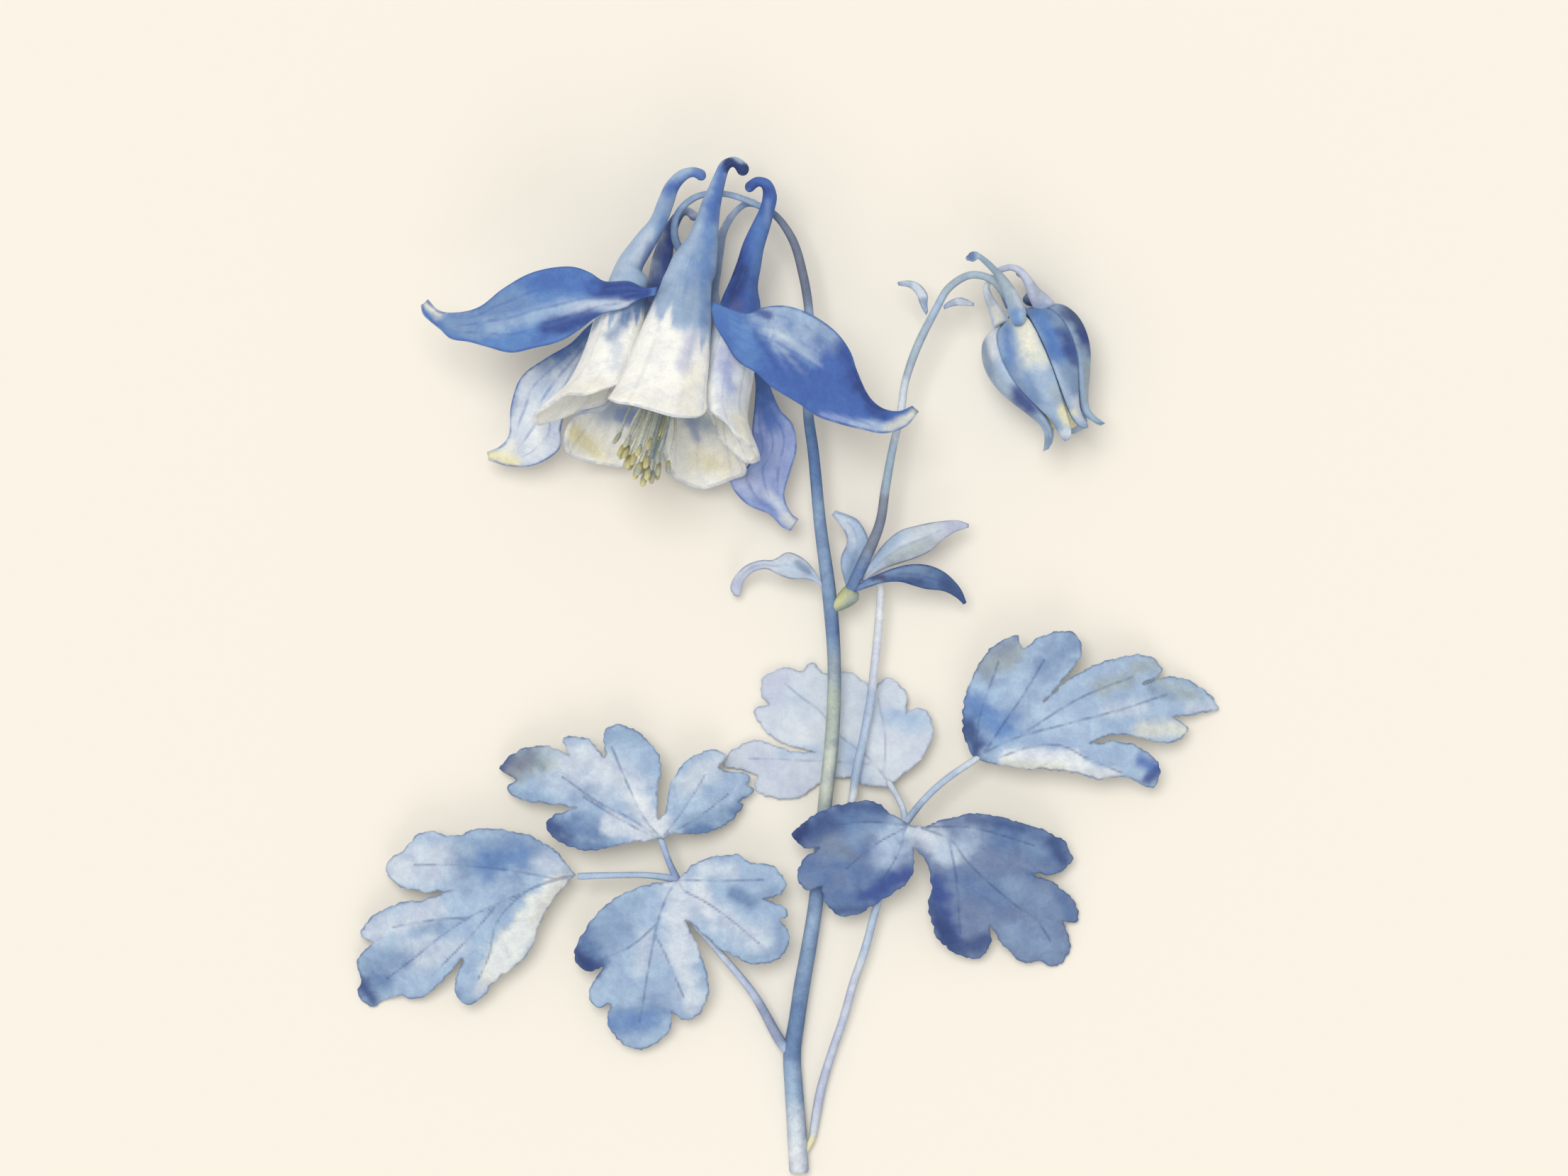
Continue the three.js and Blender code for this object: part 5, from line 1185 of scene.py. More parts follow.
@dataclass(frozen=True)
class Ribbon:
    """A narrow blade between two edges, such as a bract or a sepal.

    Attributes:
        name: of its node.
        slot: its material slot.
        finish: its surface.
        spine: the height of its middle, from base to tip.
        cup: how far its edges lift over the middle, from base to tip.
        left: one edge, from base to tip.
        right: the other edge.
        base: its first tone.
        under: the tone of its lower face.
        washes: what is laid over it.
        veins: how many lines run from base to tip.
        wave: how far its edges wander up and down.
        across: how many cells it is wide.
        row: length of a cell.
        thickness: of the solid that it stands for, which limits how deep it cups.
        drawn_thickness: of the blade itself.
        margin: how wide its thinner edge is.
    """

    name: str
    slot: str
    finish: Finish
    spine: tuple[float, ...]
    cup: tuple[float, ...]
    left: tuple[Point, ...]
    right: tuple[Point, ...]
    base: Tone
    under: Tone
    washes: tuple[Wash | Rays, ...]
    veins: int = 3
    wave: float = 0.15
    across: int = 20
    row: float = 0.42
    thickness: float = 0.7
    drawn_thickness: float = 0.55
    margin: float = 0.7

    def place(self, curves: tuple[Curve, Curve], s: float, c: float) -> Vector:
        """The upper face at a share s of its length and c across, from -1 to 1."""
        left, right = (curve.along(s) for curve in curves)
        deepest = (left - right).length_squared / (12 * self.thickness)
        point = left.lerp(right, (c + 1) / 2)
        point.z = blend(self.spine, s) + max(blend(self.cup, s), -deepest) * c * c
        return point

    def skin(self) -> bmesh.types.BMesh:
        """The blade's mesh, with its place along, across and below held in layers."""
        curves = (Curve(self.left), Curve(self.right))
        rows = max(8, round(max(c.length for c in curves) / self.row))
        line = [2 * j / self.across - 1 for j in range(self.across + 1)]
        rings: list[list[Vector]] = []
        along, across, below = [], [], []
        for r in range(rows + 1):
            s = r / rows
            upper = [self.place(curves, s, c) for c in line]
            ahead = [self.place(curves, min(s + 0.01, 1.0), c) for c in line]
            behind = [self.place(curves, max(s - 0.01, 0.0), c) for c in line]
            lower = []
            half = (upper[0] - upper[-1]).length / 2
            for j, c in enumerate(line):
                side = upper[min(j + 1, self.across)] - upper[max(j - 1, 0)]
                normal = (ahead[j] - behind[j]).cross(side).normalized()
                normal *= 1 if normal.z >= 0 else -1
                inward = min((1 - abs(c)) * half / self.margin, 1.0)
                lower.append(upper[j] - normal * (self.drawn_thickness * (0.5 + 0.5 * inward)))
            for j, c in enumerate(line):
                lift = self.wave * c**2 * math.sin(s * 17 + j * 0.35) * math.sin(math.pi * s)
                upper[j].z += lift
                lower[j].z += lift
            rings.append([*upper, *reversed(lower)])
            along.append([s] * 2 * len(line))
            across.append([*line, *reversed(line)])
            below.append([0.0] * len(line) + [1.0] * len(line))
        layers = {"along": along, "across": across, "below": below}
        return grid_skin(rings, {label: np.array(numbers) for label, numbers in layers.items()})

    def build(self) -> None:
        """Makes the blade and dresses it."""
        piece = Piece(f"{self.name}_blade", self.name, self.slot, self.finish, self.skin())
        places = piece.places()
        along, across, below = (piece.values(label) for label in ("along", "across", "below"))
        edge = [*(tuple(p) for p in Curve(self.left).spaced(0.6)),
                *(tuple(p) for p in reversed(Curve(self.right).spaced(0.6)))]
        rim = distance_to_line(places, edge, closed=True)
        spans = self.spans()
        width = np.array([blend(spans, s) for s in along])
        lanes = np.abs(((across + 1) / 2 * (self.veins + 1) + 0.5) % 1.0 - 0.5) / (self.veins + 1) * width
        vein = lanes + 0.5 * np.clip(along * 6 - 4.6, 0.0, 1.0) + 0.3 * np.clip(0.6 - along * 5, 0.0, 1.0)
        colours = painted(places, self.base, self.washes, self.under, below)
        piece.complete(colours, rim, vein)

    def spans(self) -> tuple[float, ...]:
        """The distance between its edges at even steps of its length."""
        left, right = Curve(self.left), Curve(self.right)
        return tuple((left.along(k / 8) - right.along(k / 8)).length for k in range(9))


@dataclass
class Bracts:
    """The small leaves at the node and under the bud."""

    blades: tuple[Ribbon, ...] = (
        Ribbon(
            "bract_left", "bract", BRACT_FINISH, spine=(5.4, 6.6, 6.2, 4.2, 2), cup=(-0.3, -1, -1, -0.6),
            left=(
                (4.7, 11.7), (3.4, 13.7), (1.9, 15.2), (-0.2, 16), (-2.2, 14.95), (-3.9, 14.9), (-6, 14.2),
                (-7.8, 12.4), (-8.3, 10.9), (-7.8, 9.9)),
            right=(
                (4.8, 11.2), (2.4, 12.2), (0.4, 12.2), (-1.4, 12.8), (-3.2, 13.6), (-5, 13.2), (-6.4, 11.8),
                (-6.75, 10.4), (-7.2, 9.7)),
            base=MIST, under=LAVENDER, veins=1,
            washes=laid(
                (SKY, 3.6, 12.2, 0, 13.8, 2.4, 0.6), (SLATE, 2.9, 13.1, 1.2, 14.5, 0.9, 0.7),
                (LAVENDER, -5, 13.6, -7.6, 10.8, 1.6, 0.6))),
        Ribbon(
            "bract_upper", "bract", BRACT_FINISH, spine=(5.1, 4.9, 4.6, 4.8, 5.6), cup=(0, 0.3, 0.3, 0.2),
            left=((8, 11.3), (7.4, 14.2), (7.5, 15.5), (8.3, 17.3), (8, 18.8), (7, 20.3), (6.2, 21.4)),
            right=(
                (9, 11.2), (10.6, 15), (11.2, 17.2), (10.6, 19.1), (9.6, 20.5), (8.05, 21.2), (6.5, 21.7)),
            base=SKY, under=LAVENDER, veins=1,
            washes=laid(
                (STEEL, 8.4, 12.6, 9.6, 15.6, 1.8, 0.8), (BLUE, 10.4, 15.6, 10.4, 18.6, 1, 0.7),
                (MIST, 8.8, 17.4, 7.2, 20.8, 1.8, 0.7))),
        Ribbon(
            "bract_right_pale", "bract", BRACT_FINISH, spine=(5.6, 7.4, 8, 6.8, 4.4),
            cup=(0.2, -1.2, -1.2, -0.3),
            left=(
                (9.9, 12), (11.9, 15.2), (13.7, 17.5), (15.7, 19.05), (18.25, 19.8), (20.8, 20.3),
                (23.9, 20.5), (25.4, 20)),
            right=(
                (10.5, 11.9), (13.1, 13.5), (16.2, 14.6), (18.25, 15.3), (20, 16.2), (21.8, 17.8),
                (23.6, 18.9), (25.4, 19.5)),
            base=MIST, under=LAVENDER, veins=1,
            washes=laid(
                (BLUE, 12, 14.8, 15.6, 18.8, 2.2, 0.85), (SAGE, 14.6, 15.2, 19.4, 17.4, 1.9, 0.7),
                (LAVENDER, 23, 19.6, 25.4, 19.8, 2.2, 0.85))),
        Ribbon(
            "bract_right_dark", "dark_bract", DARK_BRACT_FINISH, spine=(6.3, 7.6, 8.2, 7, 3.6),
            cup=(-0.1, -1.4, -1.6, -0.6),
            left=(
                (9, 10.9), (10.9, 12.2), (12.4, 12.85), (14.9, 13.8), (17.2, 14.3), (19.5, 14.2),
                (21.6, 13.4), (23.1, 12.2), (24.4, 10.6), (25.1, 8.9)),
            right=(
                (9.1, 10.3), (11.1, 11), (13.4, 11.7), (15.7, 11.8), (17.5, 11.3), (19.3, 10.8),
                (21.8, 10.5), (23.6, 9.6), (24.7, 8.6)),
            base=DENIM, under=DUSK, veins=1,
            washes=laid(
                (STEEL, 10, 11.2, 13.6, 12, 1.3, 0.9), (STEEL, 13.6, 13.2, 19, 13.8, 1.3, 0.7),
                (PEWTER, 16, 12.8, 20, 12.8, 1, 0.4), (NAVY, 14, 12, 18.4, 11.9, 1.1, 0.7),
                (NAVY, 22, 11.6, 24.9, 9.2, 1.8, 0.9), (UMBER, 11.8, 12.3, 13.2, 12.5, 0.7, 0.8))),
        Ribbon(
            "bractlet_left", "bract", BRACT_FINISH, spine=(7.7, 8.3, 7.8, 6.8), cup=(0, -0.4, -0.3),
            left=((19.35, 49.4), (18.9, 50), (18.4, 51.1), (17.95, 52.3), (17.1, 53.2), (15.4, 53.6)),
            right=((19.6, 49.9), (19.5, 50.9), (19.5, 52.3), (18.2, 53.9), (16.7, 54.3), (15.3, 54.1)),
            base=MIST, under=LAVENDER, veins=0, across=8,
            washes=laid((STEEL, 19.4, 49.8, 19, 51.4, 0.8, 0.8), (STEEL, 17, 53.6, 15.4, 53.9, 0.6, 0.6))),
        Ribbon(
            "bractlet_right", "bract", BRACT_FINISH, spine=(7.9, 8, 7.4, 6.6), cup=(0, -0.3, -0.2),
            left=((21.75, 50.7), (22.6, 51.4), (24.1, 51.9), (25.4, 51.5), (26.1, 51.1)),
            right=((21.85, 50.2), (22.4, 50.4), (23.5, 50.7), (25.1, 50.7), (26.1, 50.7)), base=MIST,
            under=LAVENDER, veins=0, across=8, washes=laid((STEEL, 21.8, 50.4, 23, 51, 0.8, 0.6))))

    def build(self) -> None:
        """Makes and dresses every bract."""
        for blade in self.blades:
            blade.build()


@dataclass
class Sepals:
    """The open flower's five flat sepals."""

    blades: tuple[Ribbon, ...] = (
        Ribbon(
            "sepal_left", "sepal", SEPAL_FINISH, spine=(17.6, 19.6, 19.4, 18.2, 16.8, 14.8, 13),
            cup=(0, -0.8, 0.6, 0.8, 0.6, 0.4),
            left=(
                (-18.6, 51.9), (-20.8, 51.3), (-23.3, 49.8), (-26.3, 49.1), (-29.5, 46.8), (-32, 45.4),
                (-35.7, 44.5), (-38.9, 43.9), (-42.1, 44.7), (-44.8, 45.5), (-47.4, 46), (-48.8, 47.3),
                (-50, 48.3), (-51.2, 49.5), (-51.4, 50.7)),
            right=(
                (-18.4, 53), (-20.1, 52.9), (-22.3, 53.8), (-25.8, 53.8), (-27.8, 55), (-30.2, 55.75),
                (-35.7, 55), (-39.9, 52.8), (-43.6, 50.1), (-47.6, 49.4), (-49.3, 49.8), (-50.8, 51.3)),
            base=AZURE, under=LAVENDER, veins=3,
            washes=laid(
                (STEEL, -38, 51.6, -46, 48, 3.4, 0.6), (COBALT, -29, 54.4, -36, 53.6, 2.6, 0.7),
                (MIST, -22, 50.6, -31, 50, 1.6, 0.85), (BLUE, -31, 50.2, -42, 47.2, 1.9, 0.75),
                (INDIGO, -20.6, 52.5, -27, 52.9, 1.9, 0.95, 0.6), (COBALT, -27, 53, -30.4, 52.6, 1.4, 0.7),
                (INDIGO, -27, 48.7, -34, 47.2, 1.7, 0.9, 0.6), (COBALT, -33, 46.2, -35.6, 45.6, 1.2, 0.6),
                (STEEL, -43, 46.4, -48, 48, 1.5, 0.6), Rays(SKY, (-20, 51.4), 187, 12, 4, 24, 0.35, 4),
                (DEW, -45.6, 49.9, -50, 50, 0.9, 0.85), (CREAM, -49.4, 49.6, -51, 50.8, 1.4, 0.7))),
        Ribbon(
            "sepal_right", "sepal", SEPAL_FINISH, spine=(18.8, 21.4, 20.6, 18.4, 16.6, 14.7, 13.2),
            cup=(0, -0.8, 0.8, 0.8, 0.4, 0.2),
            left=(
                (-10.6, 50.9), (-8.2, 49.9), (-5.6, 49.3), (-3.7, 50.05), (-0.6, 50.3), (2.1, 49.5),
                (5, 47.9), (7.1, 46.1), (8.7, 43.7), (9.5, 41.4), (11.3, 37.7), (13.2, 36.1), (15.5, 35.7),
                (17.4, 36.4)),
            right=(
                (-10.9, 50), (-10.3, 47.6), (-8.9, 45.2), (-7.2, 42.6), (-4.4, 40.8), (-2.4, 39),
                (1.6, 36.6), (3.9, 35.05), (6.9, 34), (10.3, 33.2), (13.4, 32.7), (16.4, 33.7),
                (18.1, 35.8)),
            base=COBALT, under=MIST, veins=5,
            washes=laid(
                (BLUE, -2.6, 49.4, 5, 47.6, 4.8, 0.95), (BLUE, -3, 47, 3, 44, 2.8, 0.6),
                (AZURE, -9.6, 50, -5.6, 43.6, 3.4, 0.95), (COBALT, -9.6, 49, -8.4, 46, 1.4, 0.5),
                Rays(MIST, (-4.6, 48.4), -34, 30, 1.2, 12, 0.95, 8),
                Rays(COBALT, (-4.6, 48.6), -10, 20, 2, 12, 0.4, 6),
                (INDIGO, -4.8, 46.6, -1.6, 41.6, 0.7, 0.5), (COBALT, 0, 40.2, 7, 38, 2.4, 0.6),
                (INDIGO, 7.4, 44.6, 9.2, 41, 1.8, 0.7), (INDIGO, 9, 40.8, 12.4, 36.6, 2.2, 0.95),
                (INK, 10.4, 39, 13, 36.6, 2, 0.8, 0.7), (INDIGO, 11, 36.4, 13.4, 35, 1.1, 0.7),
                (PERIWINKLE, 4.6, 35, 10, 34, 0.9, 0.85), (SKY, 9, 33.6, 14, 33.4, 1.3, 0.9),
                (DEW, 14, 33.4, 17.4, 35, 1.4, 0.9), (PRIMROSE, 17.6, 36, 17.6, 36, 1.2, 0.5),
                (INDIGO, -4.4, 49.6, -2.8, 48.9, 1, 0.8))),
        Ribbon(
            "sepal_lower_left", "sepal", SEPAL_FINISH, spine=(6.3, 6.8, 7.4, 7.4, 6.6, 5.4, 4.6),
            cup=(0, 0.3, 0.4, 0.3),
            left=(
                (-21.3, 52.6), (-25.2, 50.4), (-28.5, 47.6), (-30.7, 45.4), (-34.2, 43.3), (-37.7, 40.7),
                (-39.2, 36.7), (-39.5, 32.5), (-40.6, 31), (-42.6, 29.9)),
            right=(
                (-20.9, 51.6), (-25.4, 47.5), (-29, 42.5), (-31, 37.5), (-32.2, 33.5), (-32.4, 30.6),
                (-35.7, 28.4), (-39.4, 28.2), (-42.4, 29.2)),
            base=MIST, under=LAVENDER, veins=3,
            washes=laid(
                (STEEL, -27, 47.6, -34.4, 43, 4, 0.95), (MIST, -35.6, 40.4, -37, 37, 2.2, 0.7),
                (COBALT, -28, 47, -32.6, 44.4, 2, 0.75), (STEEL, -38.4, 40, -39.2, 36, 1.3, 0.6),
                (SKY, -34, 39.6, -33, 35, 2.4, 0.6), (PEARL, -35.6, 35, -36, 30.6, 2.6, 0.9),
                (LAVENDER, -33, 34, -33.4, 31, 1.2, 0.5), Rays(WHITE, (-30, 45), -114, 16, 4, 17, 0.4, 6),
                (PRIMROSE, -42, 29.6, -39, 28.6, 1.8, 0.85), (CREAM, -39, 31, -40, 30, 1.4, 0.6))),
        Ribbon(
            "sepal_lower_right", "sepal", SEPAL_FINISH, spine=(6.2, 7, 7.6, 7.2, 6.6, 5.6, 4.8),
            cup=(0, 0.2, 0.3, 0.2),
            left=(
                (-7, 47.6), (-5.6, 43.8), (-4.7, 40), (-4.8, 36.4), (-5.1, 33), (-5, 30), (-6.2, 27.4),
                (-8.2, 26.3), (-7.9, 25), (-5.8, 22.7), (-2.6, 21.3), (-0.9, 19.6), (0.3, 19.1)),
            right=(
                (-6.4, 48.2), (-4.1, 44.6), (-3, 40.3), (-1.3, 36.1), (0.5, 34), (1.05, 30.6), (0.1, 27.1),
                (-0.7, 23.9), (0.3, 21.4), (1.3, 20.6)),
            base=PERIWINKLE, under=LAVENDER, veins=3,
            washes=laid(
                (DENIM, -5, 44, -3.4, 38, 3.4, 0.95), (COBALT, -3.6, 38, -2.6, 34, 3, 0.85),
                (PERIWINKLE, -1.6, 31, -1, 28, 3, 0.6), (COBALT, -4.2, 32, -3.4, 28, 1.5, 0.4),
                (LAVENDER, -6.6, 26.6, -4, 24.4, 2.4, 0.6), (COBALT, -4.8, 23.6, -2, 22, 0.9, 0.45),
                Rays(LAVENDER, (-3.4, 40), -80, 14, 6, 18, 0.4, 6), (MIST, -2.6, 24, -0.6, 21.4, 1.2, 0.7),
                (DEW, 0.6, 20.2, -0.4, 20.8, 1.5, 0.85))),
        Ribbon(
            "sepal_behind", "sepal", SEPAL_FINISH, spine=(1.5, 0.95, 0.72, 0.7, 0.7, 0.72, 0.95, 1.3),
            cup=(0, 0), left=((-16.8, 50.6), (-20.2, 47), (-23, 42), (-23.6, 37), (-21.8, 32), (-20, 29.4)),
            right=((-14, 50.3), (-12.6, 47), (-11.4, 42), (-12.6, 37), (-16.4, 32), (-19, 29.2)), base=BLUE,
            under=PERIWINKLE, veins=3, wave=0, drawn_thickness=0.68,
            washes=laid((COBALT, -15.4, 50, -16, 45, 3, 0.6), (SKY, -18, 34, -19.4, 30, 3, 0.7))))

    def build(self) -> None:
        """Makes and dresses every sepal."""
        for blade in self.blades:
            blade.build()


# ------------------------------------------------------------------ the open flower
PETAL_FINISH = Finish("petal face", pooling=0.05, grain=0.04, rim_width=0.3, rim_strength=0.35,
                      vein_width=0.16, vein_strength=0.12, line_tone=SLATE)
DARK_PETAL_FINISH = Finish("dark petal face", pooling=0.06, grain=0.04, rim_width=0.3, rim_strength=0.35,
                           vein_width=0.16, vein_strength=0.22, line_tone=SLATE)
ANTHER_FINISH = Finish("anther face", pooling=0.1, grain=0.1, roughness=0.9)


def squared(value: float) -> float:
    """Squares up a sine or cosine a little, so that neighbouring trumpets fill the bell."""
    return math.copysign(abs(value) ** 0.8, value)


@dataclass(frozen=True)
class Petal:
    """A hooked spur that widens into a hollow trumpet with a slanting, lightly waved lip.

    Attributes:
        name: of its node.
        slot: its material slot.
        finish: its surface.
        turn: where it stands round the flower, in degrees from the front.
        width: half of its width at the lip, in degrees.
        length: how far its outer side reaches down the flower.
        narrow: its width at the throat, as a share.
        middle: the distance of its middle line from the flower's axis, from throat to lip.
        spur: x, y, z and width stations from the throat to the hooked tip.
        base: its first tone.
        inner: the tone inside the trumpet.
        washes: what is laid over the outside.
        inner_washes: what is laid over the inside, with painted shade deep in the throat.
        lip_washes: what is laid over the outside's white.
        slant: how fast the lip draws back from its outer point.
        swing: how far the lip is turned round the flower, in degrees.
        flare: how far the lip curls outwards.
        ebb: the share of its length where its blue gives way to white in teeth, how much lower that
            is on one side than on the other, and how long the teeth are.
        depths: from the middle line to the outer side, from throat to lip.
        flatness: the spur's depth as a share of its width, from the throat on.
        throat: how far down the flower the trumpet starts.
        hollow: how far down its hollow starts.
        inner_share: how far its inner side reaches down, as a share of its length.
        waves: height of the lip's wide and of its narrow waves.
        rib: height of the ribs along it.
        frill: how far the lip waves in and out.
    """

    name: str
    slot: str
    finish: Finish
    turn: float
    width: float
    length: float
    narrow: float
    middle: tuple[float, ...]
    spur: tuple[Point, ...]
    base: Tone
    inner: Tone
    washes: tuple[Wash | Rays, ...]
    inner_washes: tuple[Wash | Rays, ...] = ()
    lip_washes: tuple[Wash | Rays, ...] = ()
    slant: float = 0.6
    swing: float = 0.0
    flare: float = 0.5
    ebb: tuple[float, float, float] = (2.0, 0.0, 0.1)
    depths: tuple[float, ...] = (2.6, 3.3, 3.7, 4.1, 4.9)
    flatness: tuple[float, ...] = (0.74, 0.82, 0.92, 1.0)
    throat: float = 1.0
    hollow: float = 3.5
    inner_share: float = 0.5
    wall: float = 0.7
    roundness: float = 0.18
    waves: tuple[float, float] = (0.4, 0.14)
    rib: float = 0.07
    frill: float = 0.2
    sides: int = 112
    rows: int = 40

    def turns(self) -> list[float]:
        """The angle of each point of a ring."""
        return [2 * math.pi * i / self.sides for i in range(self.sides)]

    def trumpet_ring(self, u: float, start: float, inset: float) -> list[Vector]:
        """A ring of the trumpet, a share u of the way from its start to the lip."""
        ring = []
        for turn in self.turns():
            outer = (1 + math.cos(turn)) / 2
            end = self.length * (self.inner_share + (1 - self.inner_share) * outer**self.slant)
            down = start + (end - start) * u
            share = (down - self.throat) / (self.length - self.throat)
            depth = blend(self.depths, share) - inset
            radius = blend(self.middle, share) + depth * squared(math.cos(turn))
            narrowing = blend((self.narrow, 0.3 * self.narrow + 0.7, 1.0, 1.0, 1.0), share)
            half = self.width * narrowing - math.degrees(inset / radius)
            waved = self.waves[0] * u**6 * math.sin(turn * 4 + self.turn)
            waved += self.waves[1] * u**8 * math.sin(turn * 9)
            ribbed = self.rib * u * (1 - 0.4 * u) * math.sin(turn * 9 + self.turn) + self.flare * u**9
            ribbed += self.frill * u**12 * math.sin(turn * 6 + self.turn)
            around = self.turn + self.swing * share**2 + half * squared(math.sin(turn))
            ring.append(FLOWER.at(down + waved, radius + ribbed, around))
        return ring

    def spur_rings(self) -> list[list[Vector]]:
        """Rings along the spur, from its throat to its hooked tip, in step with the trumpet's."""
        curve = Curve([s[:3] for s in self.spur])
        away = FLOWER.at(0, 1, self.turn) - RECEPTACLE
        rings = []
        for k, station in enumerate(self.spur):
            t = k / (len(self.spur) - 1)
            along = (curve.at(max(t - 1e-3, 0)) - curve.at(min(t + 1e-3, 1))).normalized()
            away = (away - along * away.dot(along)).normalized()
            sideways = away.cross(along)
            centre, width = curve.at(t), station[3]
            depth = width * self.flatness[min(k, len(self.flatness) - 1)]
            rings.append([centre + away * (math.cos(a) * depth / 2) + sideways * (math.sin(a) * width / 2)
                          for a in self.turns()])
        return rings

    def skin(self) -> bmesh.types.BMesh:
        """The petal's mesh, with its place inside, near the lip and round it held in layers."""
        spur = self.spur_rings()
        first = [self.trumpet_ring(k / 5, self.throat, 0.0) for k in range(6)]
        outside = refined([*reversed(spur), first[0], first[1]], 4)[:-5]
        outside = [*reversed(dome(outside[0], outside[2])), *outside]
        steps = [k / self.rows for k in range(self.rows + 1)]
        trumpet = [self.trumpet_ring(u, self.throat, 0.0) for u in steps]
        inside = [self.trumpet_ring(1 - u, self.hollow, self.wall) for u in steps]
        lip = [a.lerp(b, 0.5) + FLOWER.axis * self.roundness for a, b in zip(trumpet[-1], inside[0])]
        rings = [*outside, *trumpet, lip, *inside]
        start = len(outside)
        reach = [FAR] * start + [(1 - u) * self.length * 0.8 for u in steps] + [0.0]
        reach += [u * self.length * 0.8 for u in steps]
        hidden = [0.0] * (start + len(steps)) + [0.5] + [1.0] * len(steps)
        lanes = [abs(((i / self.sides * 11) % 1.0) - 0.5) for i in range(self.sides)]
        shares = [0.0] * start + steps + [1.0] * (len(steps) + 1)
        white = [[self.whiteness(share, turn) for turn in self.turns()] for share in shares]
        return grid_skin(rings, {
            "white": np.array(white),
            "lip": np.repeat(np.array(reach)[:, None], self.sides, axis=1),
            "inside": np.repeat(np.array(hidden)[:, None], self.sides, axis=1),
            "lane": np.repeat(np.array(lanes)[None], len(rings), axis=0)})

    def whiteness(self, share: float, turn: float) -> float:
        """How far the blue has given way to white at a share of the length and a turn round the ring."""
        level, lean, teeth = self.ebb
        ragged = (0.5 * math.sin(turn * 13 + 0.7) + 0.3 * math.sin(turn * 21 + 2.0)
                  + 0.2 * math.sin(turn * 31 + 4.0))
        start = level + lean * math.sin(turn) + teeth * ragged
        rise = min(max((share - start) / (0.05 + 0.4 * teeth * (1 - ragged)), 0.0), 1.0)
        return rise * rise * (3 - 2 * rise)

    def build(self) -> None:
        """Makes the petal and dresses it."""
        piece = Piece(f"{self.name}_shell", self.name, self.slot, self.finish, self.skin())
        places = piece.places()
        lip, inside, lane = (piece.values(label) for label in ("lip", "inside", "lane"))
        white = piece.values("white")[:, None]
        outer = painted(places, self.base, self.washes)
        outer = outer * (1 - white) + painted(places, WHITE, self.lip_washes) * white
        inner = painted(places, self.inner, self.inner_washes)
        share = np.clip(inside * 2 - 0.4, 0.0, 1.0)[:, None]
        colours = outer * (1 - share) + inner * share
        vein = lane * 2.0 + 0.25 * np.clip(lip - 12, 0, 9)
        piece.complete(colours, lip, vein)


